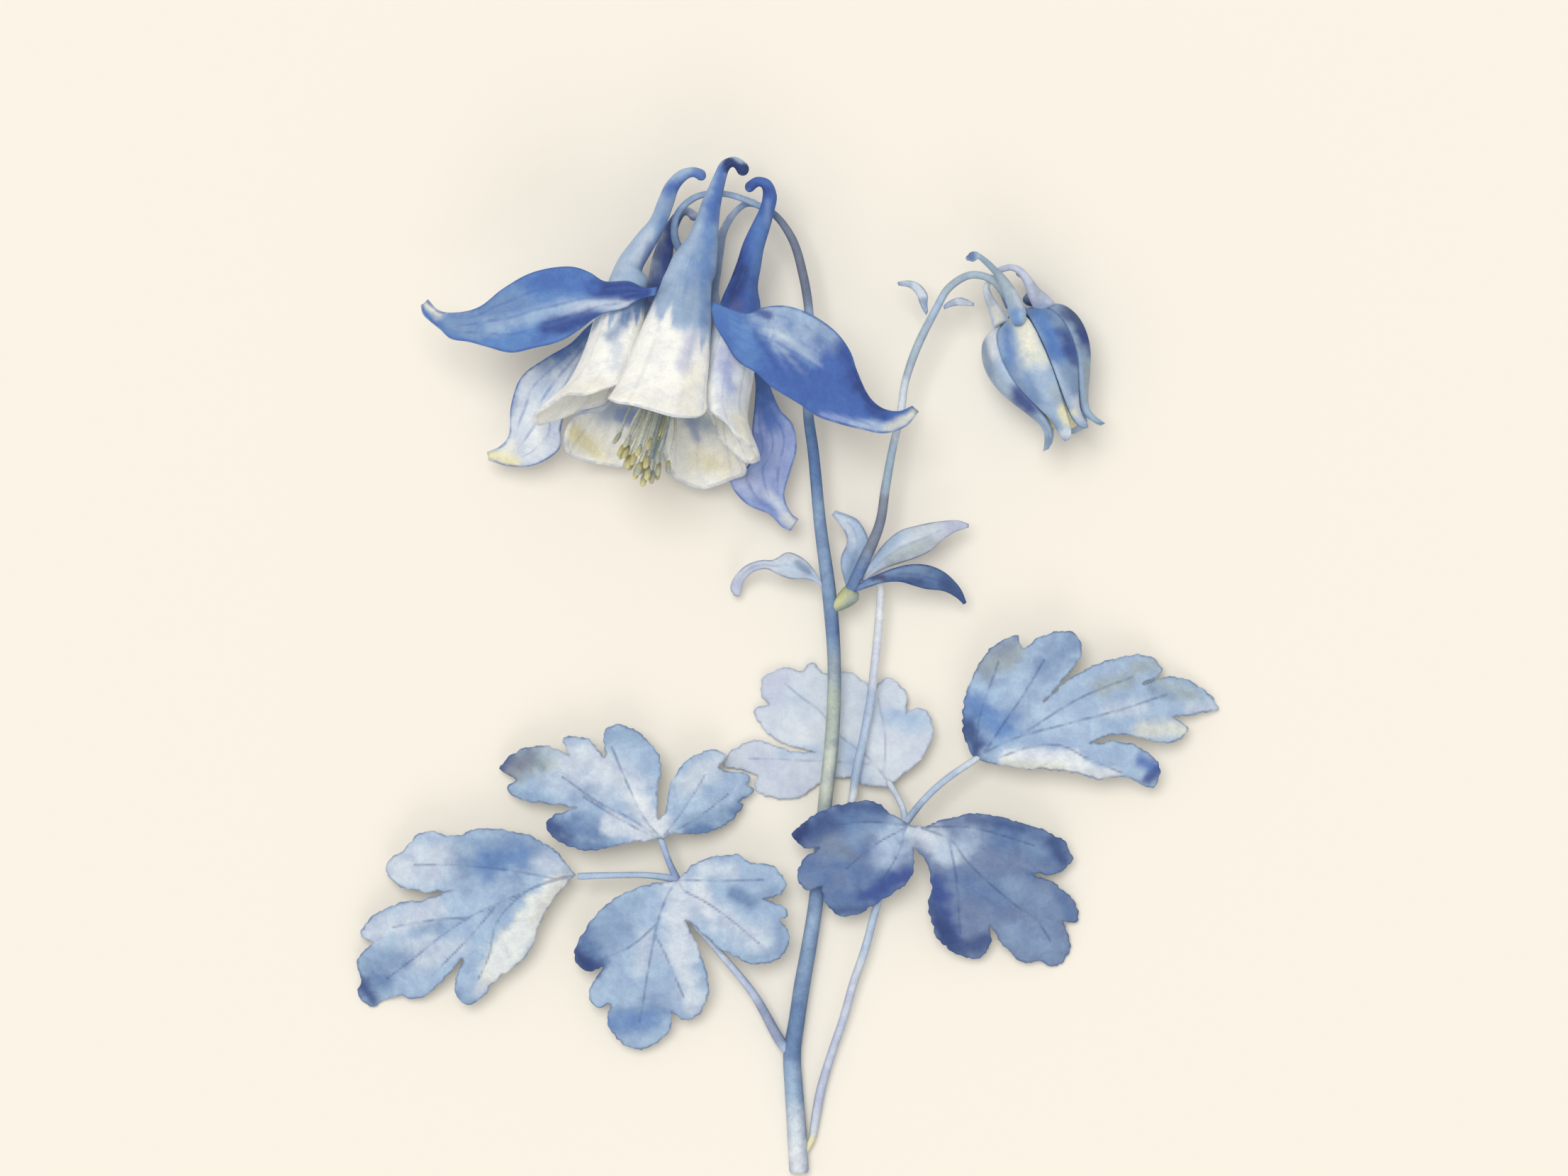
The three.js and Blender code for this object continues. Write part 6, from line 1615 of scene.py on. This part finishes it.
@dataclass
class Petals:
    """The five petals, three seen from outside and two from inside."""

    petals: tuple[Petal, ...] = (
        Petal(
            "petal_front", "petal", PETAL_FINISH, 0, 36.4, 25, 0.92, (5.5, 6.6, 7.8, 9, 10.2),
            spur=(
                (-13.4, 56, 12.5, 6.6), (-12.6, 58.2, 12.1, 5.4), (-12, 60, 11.9, 4.3),
                (-11.5, 62.2, 11.8, 3.4), (-11, 64.5, 11.9, 2.8), (-10.4, 66.4, 12.3, 2.3),
                (-9.65, 68.7, 12.1, 1.8), (-8.9, 70.3, 12, 1.6), (-7.6, 70.75, 11.9, 1.5),
                (-6.5, 69.8, 11.8, 1.9)),
            base=SKY, inner=WHITE, slant=0.85, swing=-4.5, ebb=(0.31, 0.13, 0.11),
            washes=laid(
                (BLUE, -11.6, 66, -15, 50, 6.5, 0.9), (STEEL, -11.2, 65, -13.6, 50, 3.6, 0.5),
                (STEEL, -17, 53, -20, 50, 1.6, 0.6), (AZURE, -10.6, 65, -11.8, 55, 2, 0.75),
                (AZURE, -11.6, 54, -12, 48, 1.4, 0.6), (AZURE, -13.6, 57, -14.2, 53.6, 1.4, 0.5),
                (SKY, -12.6, 62, -15, 56, 1.1, 0.5), (COBALT, -9.4, 69.6, -10.6, 63, 1.7, 0.9),
                Rays(COBALT, (-11.6, 63), -106, 16, 5, 17, 0.5, 4),
                Rays(SKY, (-11.6, 63), -108, 17, 6, 18, 0.5, 5.5),
                (INK, -8.4, 70.4, -6.3, 69.6, 1.5, 1, 0.6)),
            lip_washes=laid(
                (LAVENDER, -12.8, 48, -14.6, 42, 1.9, 0.7), (MIST, -21.6, 47, -23, 44, 1.3, 0.6),
                (CREAM, -13, 41, -14, 38, 2, 0.5), (CREAM, -25, 38, -13, 35.6, 1.2, 0.35))),
        Petal(
            "petal_left", "petal", PETAL_FINISH, -72, 33.2, 24, 0.7, (8.6, 8.7, 8.9, 9.9, 12.2),
            spur=(
                (-22.3, 56.4, 10, 5), (-21.1, 58.4, 9.7, 4), (-19.8, 60.3, 9.7, 3.2),
                (-18.4, 62.4, 10.1, 2.4), (-17.3, 65.2, 10.2, 2.3), (-16.4, 67.4, 10.4, 2),
                (-15, 68.9, 10.6, 1.7), (-13.5, 69.4, 10.8, 1.4), (-12.4, 69, 10.9, 1.6)),
            base=BLUE, inner=WHITE, slant=0.7, ebb=(0.3, 0.02, 0.12),
            washes=laid(
                (STEEL, -16.8, 66.6, -18.4, 62, 1.8, 0.7), (SKY, -22.8, 58, -24.6, 52, 2.6, 0.85),
                (SKY, -19.6, 61, -22.4, 56, 1.8, 0.75), (MIST, -19.8, 60.6, -21.4, 57.4, 1.3, 0.6),
                (AZURE, -17.4, 63, -19.2, 57, 1, 0.7), (COBALT, -12.2, 68.8, -16.6, 67, 2, 0.9),
                (COBALT, -19.6, 59, -20.6, 55.6, 0.9, 0.5), (DENIM, -20, 52, -23, 47.6, 2.2, 0.9)),
            lip_washes=laid(
                (STEEL, -21.6, 50.6, -24.8, 46, 1.7, 0.8), (DENIM, -21, 50.6, -23, 48, 1.2, 0.6),
                (MIST, -24, 45, -24.4, 42, 1.6, 0.7), (LAVENDER, -28.4, 47, -29.4, 43, 0.9, 0.5),
                (CREAM, -26, 39.6, -31, 37.6, 1.4, 0.5))),
        Petal(
            "petal_right", "dark_petal", DARK_PETAL_FINISH, 72, 33.2, 24, 0.7, (8.4, 8.4, 8.2, 8.2, 9.9),
            spur=(
                (-6.3, 53.8, 10.1, 5.2), (-5.6, 56.5, 9.8, 4.1), (-5, 59, 10.1, 3.3), (-4, 61.6, 10.7, 2.6),
                (-3.1, 64, 11.3, 2.1), (-2.7, 66, 11.7, 2), (-3.2, 67.6, 11.7, 1.6), (-4.4, 68, 11.7, 1.4),
                (-5.5, 67.3, 11.6, 1.5)),
            base=PEARL, inner=WHITE,
            washes=laid(
                (COBALT, -3, 67, -6.4, 52, 5.2, 1, 0.4), (INDIGO, -6.8, 57.4, -7.6, 51, 2.2, 0.95),
                (INK, -6.4, 56, -8, 51.6, 1.3, 0.6), (INDIGO, -2.8, 66.6, -5.5, 67.4, 1.2, 0.8),
                (STEEL, -2.9, 65, -3.1, 62, 0.8, 0.6), (AZURE, -4.2, 62, -4.2, 55.6, 1.7, 0.65),
                (PLUM, -7.4, 50.4, -7.4, 50.4, 1.8, 0.55), (LAVENDER, -8.6, 44, -8.4, 38, 2.4, 0.8),
                (PERIWINKLE, -8.6, 42, -8.2, 38.6, 1.3, 0.7), (WHITE, -11, 39, -10, 33, 0.8, 0.8),
                (CREAM, -7, 34.4, -5.6, 29, 1.8, 0.75))),
        Petal(
            "petal_back_left", "dark_petal", DARK_PETAL_FINISH, -144, 35.6, 23, 0.85,
            (5.5, 6.6, 7.8, 9, 10.2),
            spur=(
                (-18.1, 54.4, 4.4, 4), (-17.9, 57.4, 4.3, 3.1), (-17.2, 60.2, 4.5, 2.3),
                (-16.3, 62.4, 4.9, 1.7), (-15.3, 63.8, 5.4, 1.3), (-14.3, 64.1, 5.7, 1.2),
                (-13.5, 63.5, 5.8, 1.4)),
            base=MIST, inner=WHITE, swing=4.5,
            washes=laid((INDIGO, -16, 62, -18, 50, 5.5, 0.95), (WHITE, -33, 34, -24, 28, 3, 0.9)),
            inner_washes=laid(
                # painted shade: the sky and periwinkle washes deep in the trumpet, next to the stamens, are
                # the shade in its throat
                (SKY, -25.4, 36, -21, 36, 3, 0.9), (PERIWINKLE, -23.4, 35.4, -21.4, 35, 1.7, 0.9, 0.5),
                (CREAM, -30, 32, -26, 30, 3.4, 0.8), (PRIMROSE, -30.6, 33.6, -27.4, 30, 1.6, 0.7))),
        Petal(
            "petal_back_right", "petal", PETAL_FINISH, 144, 35.2, 23, 0.85, (5.5, 6.6, 7.8, 9, 10.2),
            spur=(
                (-11.6, 53, 4.4, 4), (-10.8, 56, 4.7, 2.8), (-10, 58.8, 5.2, 1.8), (-9.3, 61.2, 5.8, 1.2),
                (-8, 63.5, 6.4, 1), (-6.3, 65, 6.8, 0.9), (-5, 65.2, 6.8, 1.2)),
            base=MIST, inner=WHITE, swing=-4,
            washes=laid((STEEL, -6, 65, -12, 50, 4, 0.9), (WHITE, -14, 26, -6, 29, 3, 0.9)),
            inner_washes=laid(
                # painted shade: the sky and periwinkle washes deep in the trumpet, next to the stamens, are
                # the shade in its throat
                (SKY, -15, 36, -12, 34, 2.4, 0.8), (PERIWINKLE, -13.6, 34, -12.8, 32, 1.3, 0.7),
                (CREAM, -13, 29, -9, 28, 3.2, 0.8), (PRIMROSE, -11, 28.6, -11, 28.6, 1.8, 0.4))))

    def build(self) -> None:
        """Makes and dresses every petal."""
        for petal in self.petals:
            petal.build()


@dataclass
class Stamens:
    """The brush of filaments with their anthers, and the pistils among them.

    Attributes:
        count: of the filaments.
        lean: how far the brush leans by its end, in x, y and z.
        golden_turn: from one filament to the next round the axis, in degrees.
        inner_spread: how far the innermost filament ends from the axis.
        added_spread: how much further out the outermost one ends.
        reach: how far down the flower the innermost one ends.
        shortening: how much shorter the outermost one is.
        unevenness: how much their ends go up and down.
        bow: how far a filament bends sideways.
        anther_form: the share of its length, its width and its spread at each of its stations.
        styles: how many pistils there are.
        pistil_foot: how far down the flower they start.
    """

    count: int = 24
    filament_width: float = 0.48
    anther_length: float = 1.5
    anther_width: float = 0.8
    lean: Point = (-1.5, 0.1, 0.4)
    golden_turn: float = 137.5
    inner_spread: float = 1.2
    added_spread: float = 2.9
    reach: float = 27.6
    shortening: float = 3.4
    unevenness: float = 0.9
    bow: float = 0.25
    anther_form: tuple[Point, ...] = ((0.05, 0.95, 1.03), (0.55, 1.0, 1.08), (0.95, 0.7, 1.13),
                                      (1.05, 0.2, 1.14))
    sheath_outside: float = 1.75
    sheath_inside: float = 1.0
    sheath_from: float = 2.0
    sheath_to: float = 12.0
    styles: int = 5
    pistil_foot: float = 3.3

    def sheath(self) -> bmesh.types.BMesh:
        """The cup at the foot of the brush."""
        walls = ((self.sheath_from, self.sheath_outside), (self.sheath_to, self.sheath_outside),
                 (self.sheath_to, self.sheath_inside), (self.sheath_from + 1, self.sheath_inside))
        rings = [[FLOWER.at(down, radius, 15 * k) for k in range(24)] for down, radius in walls]
        return grid_skin(rings, {label: np.zeros((4, 24)) for label in ("anther", "down", "dark")})

    def thread(self, stations: Sequence[Point], spacing: float, sides: int, anther: float,
               dark: float = 0.0) -> bmesh.types.BMesh:
        """A filament, a style or an anther, with what it is held in layers."""
        rings = round_rings(stations, spacing, sides)
        down = np.array([[r / (len(rings) - 1)] * sides for r in range(len(rings))])
        return grid_skin(rings, {"anther": np.full(down.shape, anther), "down": down,
                                 "dark": np.full(down.shape, dark)})

    def place(self, down: float, width: float, out: float, turn: float) -> Point:
        """A station of the brush, which leans a little more the further down it is."""
        x, y, z, wide = FLOWER.station(down, width, out, turn)
        share = max(0.0, (down - self.sheath_to) / 15.0)
        return x + self.lean[0] * share, y + self.lean[1] * share, z + self.lean[2] * share, wide

    def stamen(self, index: int) -> list[bmesh.types.BMesh]:
        """One filament and its anther."""
        share = (index + 0.5) / self.count
        turn = index * self.golden_turn
        spread = self.inner_spread + self.added_spread * share
        end = self.reach - self.shortening * share + self.unevenness * math.sin(index * 2.4)
        wall = (self.sheath_outside + self.sheath_inside) / 2
        width = self.filament_width
        bow = self.bow * math.sin(index * 1.7)
        dark = float(index % 5 in (1, 3))
        filament = self.thread((
            self.place(self.sheath_to - 1.2, width, wall, turn),
            self.place(self.sheath_to + 4, width, wall + (spread - wall) * 0.25, turn),
            self.place(end - 4, width, spread * 0.9 + bow, turn + 4 * bow),
            self.place(end, width * 0.8, spread, turn)), 0.9, 6, 0.0, dark)
        size = self.anther_width * (1.2 - 0.35 * share)
        stations = [self.place(end - 0.5, size * 0.35, spread, turn)]
        stations += [self.place(end + self.anther_length * along, size * wide, spread * out, turn)
                     for along, wide, out in self.anther_form]
        return [filament, self.thread(stations, 0.28, 10, 1.0, dark)]

    def build(self) -> None:
        """Makes and dresses the stamens and the pistils."""
        meshes = [self.sheath()]
        for index in range(self.count):
            meshes.extend(self.stamen(index))
        piece = Piece("stamens_brush", "stamens", "stamen", ANTHER_FINISH, joined(meshes))
        places = piece.places()
        anther, down, dark = (piece.values(label)[:, None] for label in ("anther", "down", "dark"))
        filament = DEW.linear() * (1 - dark) + GREY_GREEN.linear() * dark
        filament = filament * (1 - 0.3 * down) + CREAM.linear() * 0.3 * down
        tip = OLIVE.linear() * (1 - 0.6 * down) + PRIMROSE.linear() * 0.6 * down
        patches = np.clip(ripple(places, 2.6, 3.0) * 1.4 + 0.5 * dark[:, 0], 0, 1)[:, None]
        tip = tip * (1 - 0.7 * patches) + SAGE.linear() * 0.7 * patches
        piece.complete(filament * (1 - anther) + tip * anther)
        core = self.thread((FLOWER.station(self.pistil_foot, 1.2), FLOWER.station(8, 1.2),
                            FLOWER.station(13, 1.0)), 0.8, 12, 0.0)
        styles = [self.thread((
            FLOWER.station(12, 0.65, 0.1, turn), FLOWER.station(16, 0.6, 0.35, turn),
            FLOWER.station(21.5, 0.5, 0.65, turn), FLOWER.station(22.5, 0.3, 0.72, turn)), 0.7, 8, 0.0)
            for turn in ((i + 0.3) / self.styles * 360 for i in range(self.styles))]
        piece = Piece("pistils_cluster", "pistils", "pistil", ANTHER_FINISH, joined([core, *styles]))
        down = piece.values("down")[:, None]
        colours = SAGE.linear() * (1 - down) + PRIMROSE.linear() * down
        piece.complete(colours)


# ------------------------------------------------------------------ the bud
BUD_FINISH = Finish("bud face", pooling=0.06, grain=0.04, rim_width=0.24, rim_strength=0.45,
                    vein_width=0.14, vein_strength=0.2, line_tone=DENIM)
SPUR_FINISH = Finish("young spur", pooling=0.07, grain=0.05)


@dataclass(frozen=True)
class BudFrame:
    """The bud's own directions and its egg shape.

    Attributes:
        foot: where it sits on its stem.
        tilt: of its axis, from -Y towards +X, in degrees.
        length: from foot to tip.
        radii: from foot to tip.
    """

    foot: Point = (32.36, 49.8, 7.42)
    tilt: float = 24.2
    length: float = 19.3
    radii: tuple[float, ...] = (2.4, 5.6, 6.9, 7.4, 7.35, 6.8, 5.7, 4.4, 3.4, 3.4)

    def at(self, s: float, radius: float, degrees: float) -> Vector:
        """A place: a share s along the bud, away from its axis, and round it from the top."""
        tilt, angle = math.radians(self.tilt), math.radians(degrees)
        axis = Vector((math.sin(tilt), -math.cos(tilt), 0.0))
        right = Vector((math.cos(tilt), math.sin(tilt), 0.0))
        place = Vector(self.foot) + axis * (self.length * s**1.25) + right * (radius * math.sin(angle))
        place.z += radius * math.cos(angle)
        return place


BUD = BudFrame()


@dataclass(frozen=True)
class BudSepal:
    """One closed sepal: a strip of the bud's shell with a low rib along its middle.

    Attributes:
        start: the angle round the bud of one side, in degrees.
        end: that of the other side.
        reach: how much of the bud's length it covers.
        base: its first tone.
        washes: what is laid over it.
        cover: how much of its angle it fills, from foot to tip.
        wall: its thickness.
        seam: between its side and the next sepal's, in degrees.
        curl: how far its tip bends outwards.
        curl_span: the share of the bud over which it does.
        thinning: the share of its wall that is gone by the tip.
        thin_span: the share of the bud over which it goes.
        tip_span: the share of its own length over which its tip is rounded.
        tip_width: the share of its width that is left at the tip.
        rib: height of the rib along its middle.
        rib_width: from the rib's middle to its side.
        droop: how far its sides turn in.
        droop_width: of the part that turns in.
        flutes: height of the folds along it, and of those near its tip.
    """

    start: float
    end: float
    reach: float
    base: Tone
    washes: tuple[Wash | Rays, ...]
    cover: tuple[float, ...] = (0.7, 0.95, 1.0, 1.0, 1.0, 1.0, 0.98, 0.92, 0.8, 0.5)
    wall: float = 0.7
    seam: float = 0.55
    curl: float = 1.2
    curl_span: float = 0.16
    thinning: float = 0.35
    thin_span: float = 0.2
    tip_span: float = 0.06
    tip_width: float = 0.3
    rib: float = 0.16
    rib_width: float = 0.9
    droop: float = 0.1
    droop_width: float = 0.4
    flutes: tuple[float, float] = (0.05, 0.3)
    rows: int = 52
    across: int = 22

    def skin(self) -> bmesh.types.BMesh:
        """The strip's mesh, with the distance from its sides and its middle held in layers."""
        rings, edge, middle = [], [], []
        for i in range(self.rows + 1):
            s = i / self.rows * self.reach
            radius = blend(BUD.radii, s) + self.curl * into_end(s, self.curl_span) ** 2
            wall = self.wall * (1 - self.thinning * into_end(s, self.thin_span))
            tip = min(into_end(s / self.reach, self.tip_span), 1.0)
            rounded = self.tip_width + (1 - self.tip_width) * math.sqrt(1 - tip * tip)
            half = ((self.end - self.start) / 2 * blend(self.cover, s) - self.seam) * rounded
            upper, lower, sides, lanes = [], [], [], []
            for j in range(self.across + 1):
                c = 2 * j / self.across - 1
                degrees = (self.start + self.end) / 2 + half * c
                arc = math.radians(half) * radius
                rib = self.rib * math.exp(-((c * arc / self.rib_width) ** 2))
                rib *= math.sin(math.pi * min(s * 1.2, 1))
                droop = self.droop * max(0.0, 1 - (1 - abs(c)) * arc / self.droop_width)
                flutes = self.flutes[0] * math.cos(c * arc * 2.6)
                flutes += self.flutes[1] * s**6 * math.sin(c * arc * 1.9 + self.start)
                upper.append(BUD.at(s, radius + rib - droop + flutes, degrees))
                lower.append(BUD.at(s, radius - wall + flutes, degrees))
                sides.append((1 - abs(c)) * arc)
                lanes.append(abs(c) * arc)
            rings.append([*upper, *reversed(lower)])
            edge.append([*sides, *reversed(sides)])
            middle.append([*lanes, *reversed(lanes)])
        return grid_skin(rings, {"edge": np.array(edge), "middle": np.array(middle)})

    def build(self, number: int) -> None:
        """Makes the strip and dresses it.

        Args:
            number: of the sepal, from 1.
        """
        node = f"bud_sepal_{number}"
        piece = Piece(f"{node}_shell", node, "bud", BUD_FINISH, self.skin())
        places = piece.places()
        colours = painted(places, self.base, self.washes)
        piece.complete(colours, piece.values("edge"), piece.values("middle") + 0.12)


@dataclass(frozen=True)
class BudSpur:
    """One young spur over the bud's foot."""

    stations: tuple[Point, ...]
    base: Tone
    washes: tuple[Wash | Rays, ...]

    def build(self, number: int) -> None:
        """Makes the spur and dresses it.

        Args:
            number: of the petal, from 1.
        """
        node = f"bud_petal_{number}"
        piece = Piece(f"{node}_spur", node, "petal", SPUR_FINISH, stalk_mesh(self.stations, 0.3, 24, True))
        piece.complete(painted(piece.places(), self.base, self.washes))


@dataclass
class Bud:
    """The closed bud: five sepals, five young spurs and the heart inside."""

    heart_places: tuple[float, ...] = (0.17, 0.25, 0.38, 0.52, 0.66, 0.74, 0.81)
    heart_clearance: float = 0.85
    heart_sides: int = 40
    sepals: tuple[BudSepal, ...] = (
        BudSepal(
            -44, 8, 1, BLUE,
            laid(
                (DEW, 32.6, 49.6, 34.6, 43, 2.7, 0.95, 0.7), (CREAM, 32.8, 48.8, 33.8, 45, 1.6, 0.7),
                (AZURE, 30.6, 47, 30.6, 41.8, 1.6, 0.8), (STEEL, 31.2, 41, 34.4, 36.8, 1.8, 0.85),
                (AZURE, 33.6, 40.6, 34.6, 37.8, 1.6, 0.45), (SKY, 34.6, 41.6, 36.6, 38.4, 1.8, 0.8),
                (SAGE, 37.2, 38.6, 38, 37, 1.2, 0.6), (PRIMROSE, 38.4, 36, 39.2, 34.2, 1.3, 0.8),
                (STEEL, 36, 35, 37.6, 33.4, 1, 0.7), (PEARL, 38.6, 32.6, 39.6, 32.8, 1.1, 0.8))),
        BudSepal(
            8, 45, 0.98, STEEL,
            laid(
                (AZURE, 35, 49.4, 38, 43.6, 2.6, 0.95), (COBALT, 36.6, 47, 37.2, 43, 1.4, 0.4),
                (INDIGO, 38.6, 47, 40, 43, 1.9, 0.85), (SKY, 37, 41.4, 38.8, 37.8, 1.8, 0.85),
                (STEEL, 39.6, 41.4, 40.6, 38, 1.2, 0.7), (MIST, 40.2, 37, 41, 34.6, 1.4, 0.8),
                (PRIMROSE, 40, 35.6, 40, 35.6, 1, 0.6))),
        BudSepal(
            47, 118, 1, BLUE,
            laid(
                (STEEL, 37.4, 50.2, 39, 48.6, 1.6, 0.7), (NAVY, 39.8, 49.8, 41.8, 46.4, 2.7, 0.95),
                (INDIGO, 41.8, 46.8, 42.8, 44.2, 2, 0.9), (STEEL, 41.4, 44, 42.6, 39, 1.5, 0.6),
                (SAGE, 42, 42.6, 42.2, 37.4, 0.9, 0.7), (SKY, 43, 38.6, 43.4, 36, 1.2, 0.7),
                (STEEL, 44.2, 35.2, 44.6, 34.4, 1.1, 0.7))),
        BudSepal(
            118, 216, 0.98, STEEL,
            laid((DENIM, 34, 49, 36, 43, 3.6, 0.7), (MIST, 38, 38, 41, 34, 2.6, 0.6))),
        BudSepal(
            216, 316, 1, SKY,
            laid(
                (PEARL, 28.4, 47.6, 28.4, 43.6, 1.8, 0.9), (STEEL, 27.4, 45.4, 28.4, 41.2, 0.8, 0.7),
                (SKY, 29.4, 42.4, 31, 39.2, 1.2, 0.8), (INDIGO, 31.8, 38.6, 34.6, 35.6, 1.7, 0.9),
                (BLUE, 34.8, 35, 36, 33, 1.3, 0.8), (STEEL, 36.4, 31.8, 37, 31, 1, 0.8))))
    spurs: tuple[BudSpur, ...] = (
        BudSpur(
            ((32.1, 47.8, 14.4, 1.2), (32.1, 48.8, 14.1, 2.3), (31.8, 50.4, 13.4, 2.4),
             (31.1, 52.2, 12.8, 1.9), (30.1, 54, 12.5, 1.4), (28.8, 55.6, 12.2, 1), (27.7, 56.7, 12, 0.9),
             (26.7, 57.5, 11.8, 0.8), (26.2, 57.6, 11.7, 1.3), (25.6, 57.4, 11.6, 1.4),
             (25.2, 57.3, 11.6, 0.8)),
            BLUE,
            laid(
                (SAGE, 31.8, 51, 29.4, 55, 1.4, 0.7), (AZURE, 31.6, 49.6, 32.2, 47.6, 1.1, 0.8),
                (MIST, 32.4, 50.6, 31.6, 52.4, 0.7, 0.6), (GREY_GREEN, 29, 55.4, 27, 57.2, 1, 0.6),
                (INDIGO, 25.6, 57.6, 25.6, 57.6, 1.1, 0.7, 0.7))),
        BudSpur(
            ((36.4, 50, 10.2, 2.9), (35.9, 50.6, 10, 2.9), (35.2, 51.5, 9.8, 2.6), (34.6, 52.3, 9.6, 2.1),
             (34, 53.4, 9.6, 1.6), (33.3, 54.6, 9.6, 1.3), (32.4, 55.6, 9.6, 1.1), (31.2, 56.05, 9.7, 0.9),
             (29.7, 55.7, 10.2, 0.9)),
            LAVENDER,
            laid(
                (SAGE, 35.2, 51.6, 34.4, 53.4, 1.1, 0.6), (STEEL, 36.4, 50.2, 35.4, 50.6, 0.9, 0.7),
                (MIST, 33.6, 54.4, 31, 56, 1, 0.5))),
        BudSpur(
            ((29.9, 48, 10.2, 2.5), (29.3, 49.4, 9.7, 2.1), (28.6, 50.8, 9.2, 1.6), (28, 52.2, 8.7, 1.2),
             (27.8, 53.4, 8.3, 0.9), (28.2, 54.1, 8, 0.7)),
            MIST,
            laid(
                (SAGE, 28.2, 53, 28.4, 51, 0.9, 0.6), (PRIMROSE, 29.6, 48.6, 29, 50, 0.9, 0.5),
                (STEEL, 29.9, 47.6, 29.9, 47.6, 1, 0.6))),
        BudSpur(
            ((33.8, 51.3, 5.6, 2), (34.4, 52.6, 4.7, 1.6), (33.9, 54, 4.2, 1.2), (33.2, 54.9, 4.1, 0.9),
             (32.5, 55.4, 4.3, 0.9)),
            SLATE, laid((MIST, 33, 55, 34, 53.6, 1.2, 0.5))),
        BudSpur(
            ((31.5, 50.8, 5.6, 2), (30.6, 52.6, 4.4, 1.6), (29.9, 53.9, 4, 1.2), (29.2, 54.6, 3.9, 0.9),
             (28.5, 54.8, 4, 0.9)),
            SLATE, laid((MIST, 28.6, 54.8, 29.6, 53.8, 1.2, 0.5))))

    def heart(self) -> None:
        """Makes the folded young stamens that show at the bud's tip."""
        rings = []
        for s in self.heart_places:
            radius = blend(BUD.radii, s) - self.heart_clearance
            ring = []
            for k in range(self.heart_sides):
                fold = 0.95 + 0.05 * math.cos(2 * math.pi * k / self.heart_sides * 10)
                ring.append(BUD.at(s, radius * fold, 360 * k / self.heart_sides))
            rings.append(ring)
        fine = refined(rings, 3)
        fine.extend(dome(fine[-1], fine[-3]))
        piece = Piece("bud_heart_core", "bud_heart", "pistil", ANTHER_FINISH, grid_skin(fine, {}))
        piece.complete(painted(piece.places(), PRIMROSE, laid((SAGE, 36, 42, 39, 36, 5, 0.6))))

    def build(self) -> None:
        """Makes and dresses the whole bud."""
        for number, sepal in enumerate(self.sepals, 1):
            sepal.build(number)
        for number, spur in enumerate(self.spurs, 1):
            spur.build(number)
        self.heart()


# ------------------------------------------------------------------ studio
@dataclass
class Studio:
    """The pale ground, the soft light and the camera that looks straight down.

    Attributes:
        ground: its colour.
        ground_size: its side, in metres.
        lens: focal length, in millimetres.
        centre: what the camera looks at, in millimetres.
        frame_width: what it sees across, in millimetres.
        sky: strength of the even light.
        sun: strength of the soft light from above.
        sun_place: where it comes from.
        fill: strength of the weak light from below the flower's mouth.
        fill_place: where it comes from.
        sun_spread: how wide both are, in radians.
    """

    ground: Point = (0.905, 0.857, 0.758)
    ground_size: float = 3.0
    lens: float = 200.0
    sensor: float = 36.0
    centre: Point = (-0.7, 10.95, 6.0)
    frame_width: float = 221.2
    sky: float = 0.54
    sun: float = 1.5
    sun_place: Point = (-0.16, 0.24, 1.0)
    fill: float = 0.35
    fill_place: Point = (0.1, -0.7, 0.6)
    sun_spread: float = 0.6

    def floor(self) -> None:
        """The pale, plain ground under the sprig."""
        mesh = bmesh.new()
        bmesh.ops.create_grid(mesh, x_segments=1, y_segments=1, size=self.ground_size / 2)
        data = bpy.data.meshes.new("ground")
        mesh.to_mesh(data)
        mesh.free()
        graph = Graph("ground paper")
        graph.shader.inputs["Base Color"].default_value = (*self.ground, 1.0)
        graph.shader.inputs["Roughness"].default_value = 1.0
        graph.shader.inputs["Specular IOR Level"].default_value = 0.0
        data.materials.append(graph.material)
        ground = bpy.data.objects.new("ground", data)
        bpy.context.scene.collection.objects.link(ground)

    def light(self) -> None:
        """An even sky, one wide soft light from the upper left and a weak one against it."""
        world = bpy.data.worlds.new("soft sky")
        world.use_nodes = True
        sky = world.node_tree.nodes["Background"]
        sky.inputs["Color"].default_value = (1.0, 0.985, 0.96, 1.0)
        sky.inputs["Strength"].default_value = self.sky
        bpy.context.scene.world = world
        for name, energy, place in (("soft sun", self.sun, self.sun_place),
                                    ("soft fill", self.fill, self.fill_place)):
            lamp = bpy.data.lights.new(name, "SUN")
            lamp.energy = energy
            lamp.angle = self.sun_spread
            holder = bpy.data.objects.new(name, lamp)
            holder.rotation_euler = (-Vector(place)).to_track_quat("-Z", "Y").to_euler()
            bpy.context.scene.collection.objects.link(holder)

    def camera(self) -> None:
        """A long lens straight above the sprig."""
        lens = bpy.data.cameras.new("camera")
        lens.lens = self.lens
        lens.sensor_width = self.sensor
        lens.clip_end = 20.0
        eye = bpy.data.objects.new("camera", lens)
        x, y, z = (value * MM for value in self.centre)
        eye.location = (x, y, z + self.frame_width * MM * self.lens / self.sensor)
        bpy.context.scene.collection.objects.link(eye)
        bpy.context.scene.camera = eye

    def build(self) -> None:
        """Sets up the ground, the light, the camera and the plain colour response."""
        self.floor()
        self.light()
        self.camera()
        bpy.context.scene.view_settings.view_transform = "Standard"


def main() -> None:
    """Builds the whole sprig and the studio round it."""
    logging.basicConfig(level=logging.INFO, format="%(name)s: %(message)s")
    for part in (Stalks(), Leaves(), Bracts(), Petals(), Sepals(), Stamens(), Bud(), Studio()):
        part.build()
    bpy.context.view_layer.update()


if __name__ == "__main__":
    main()
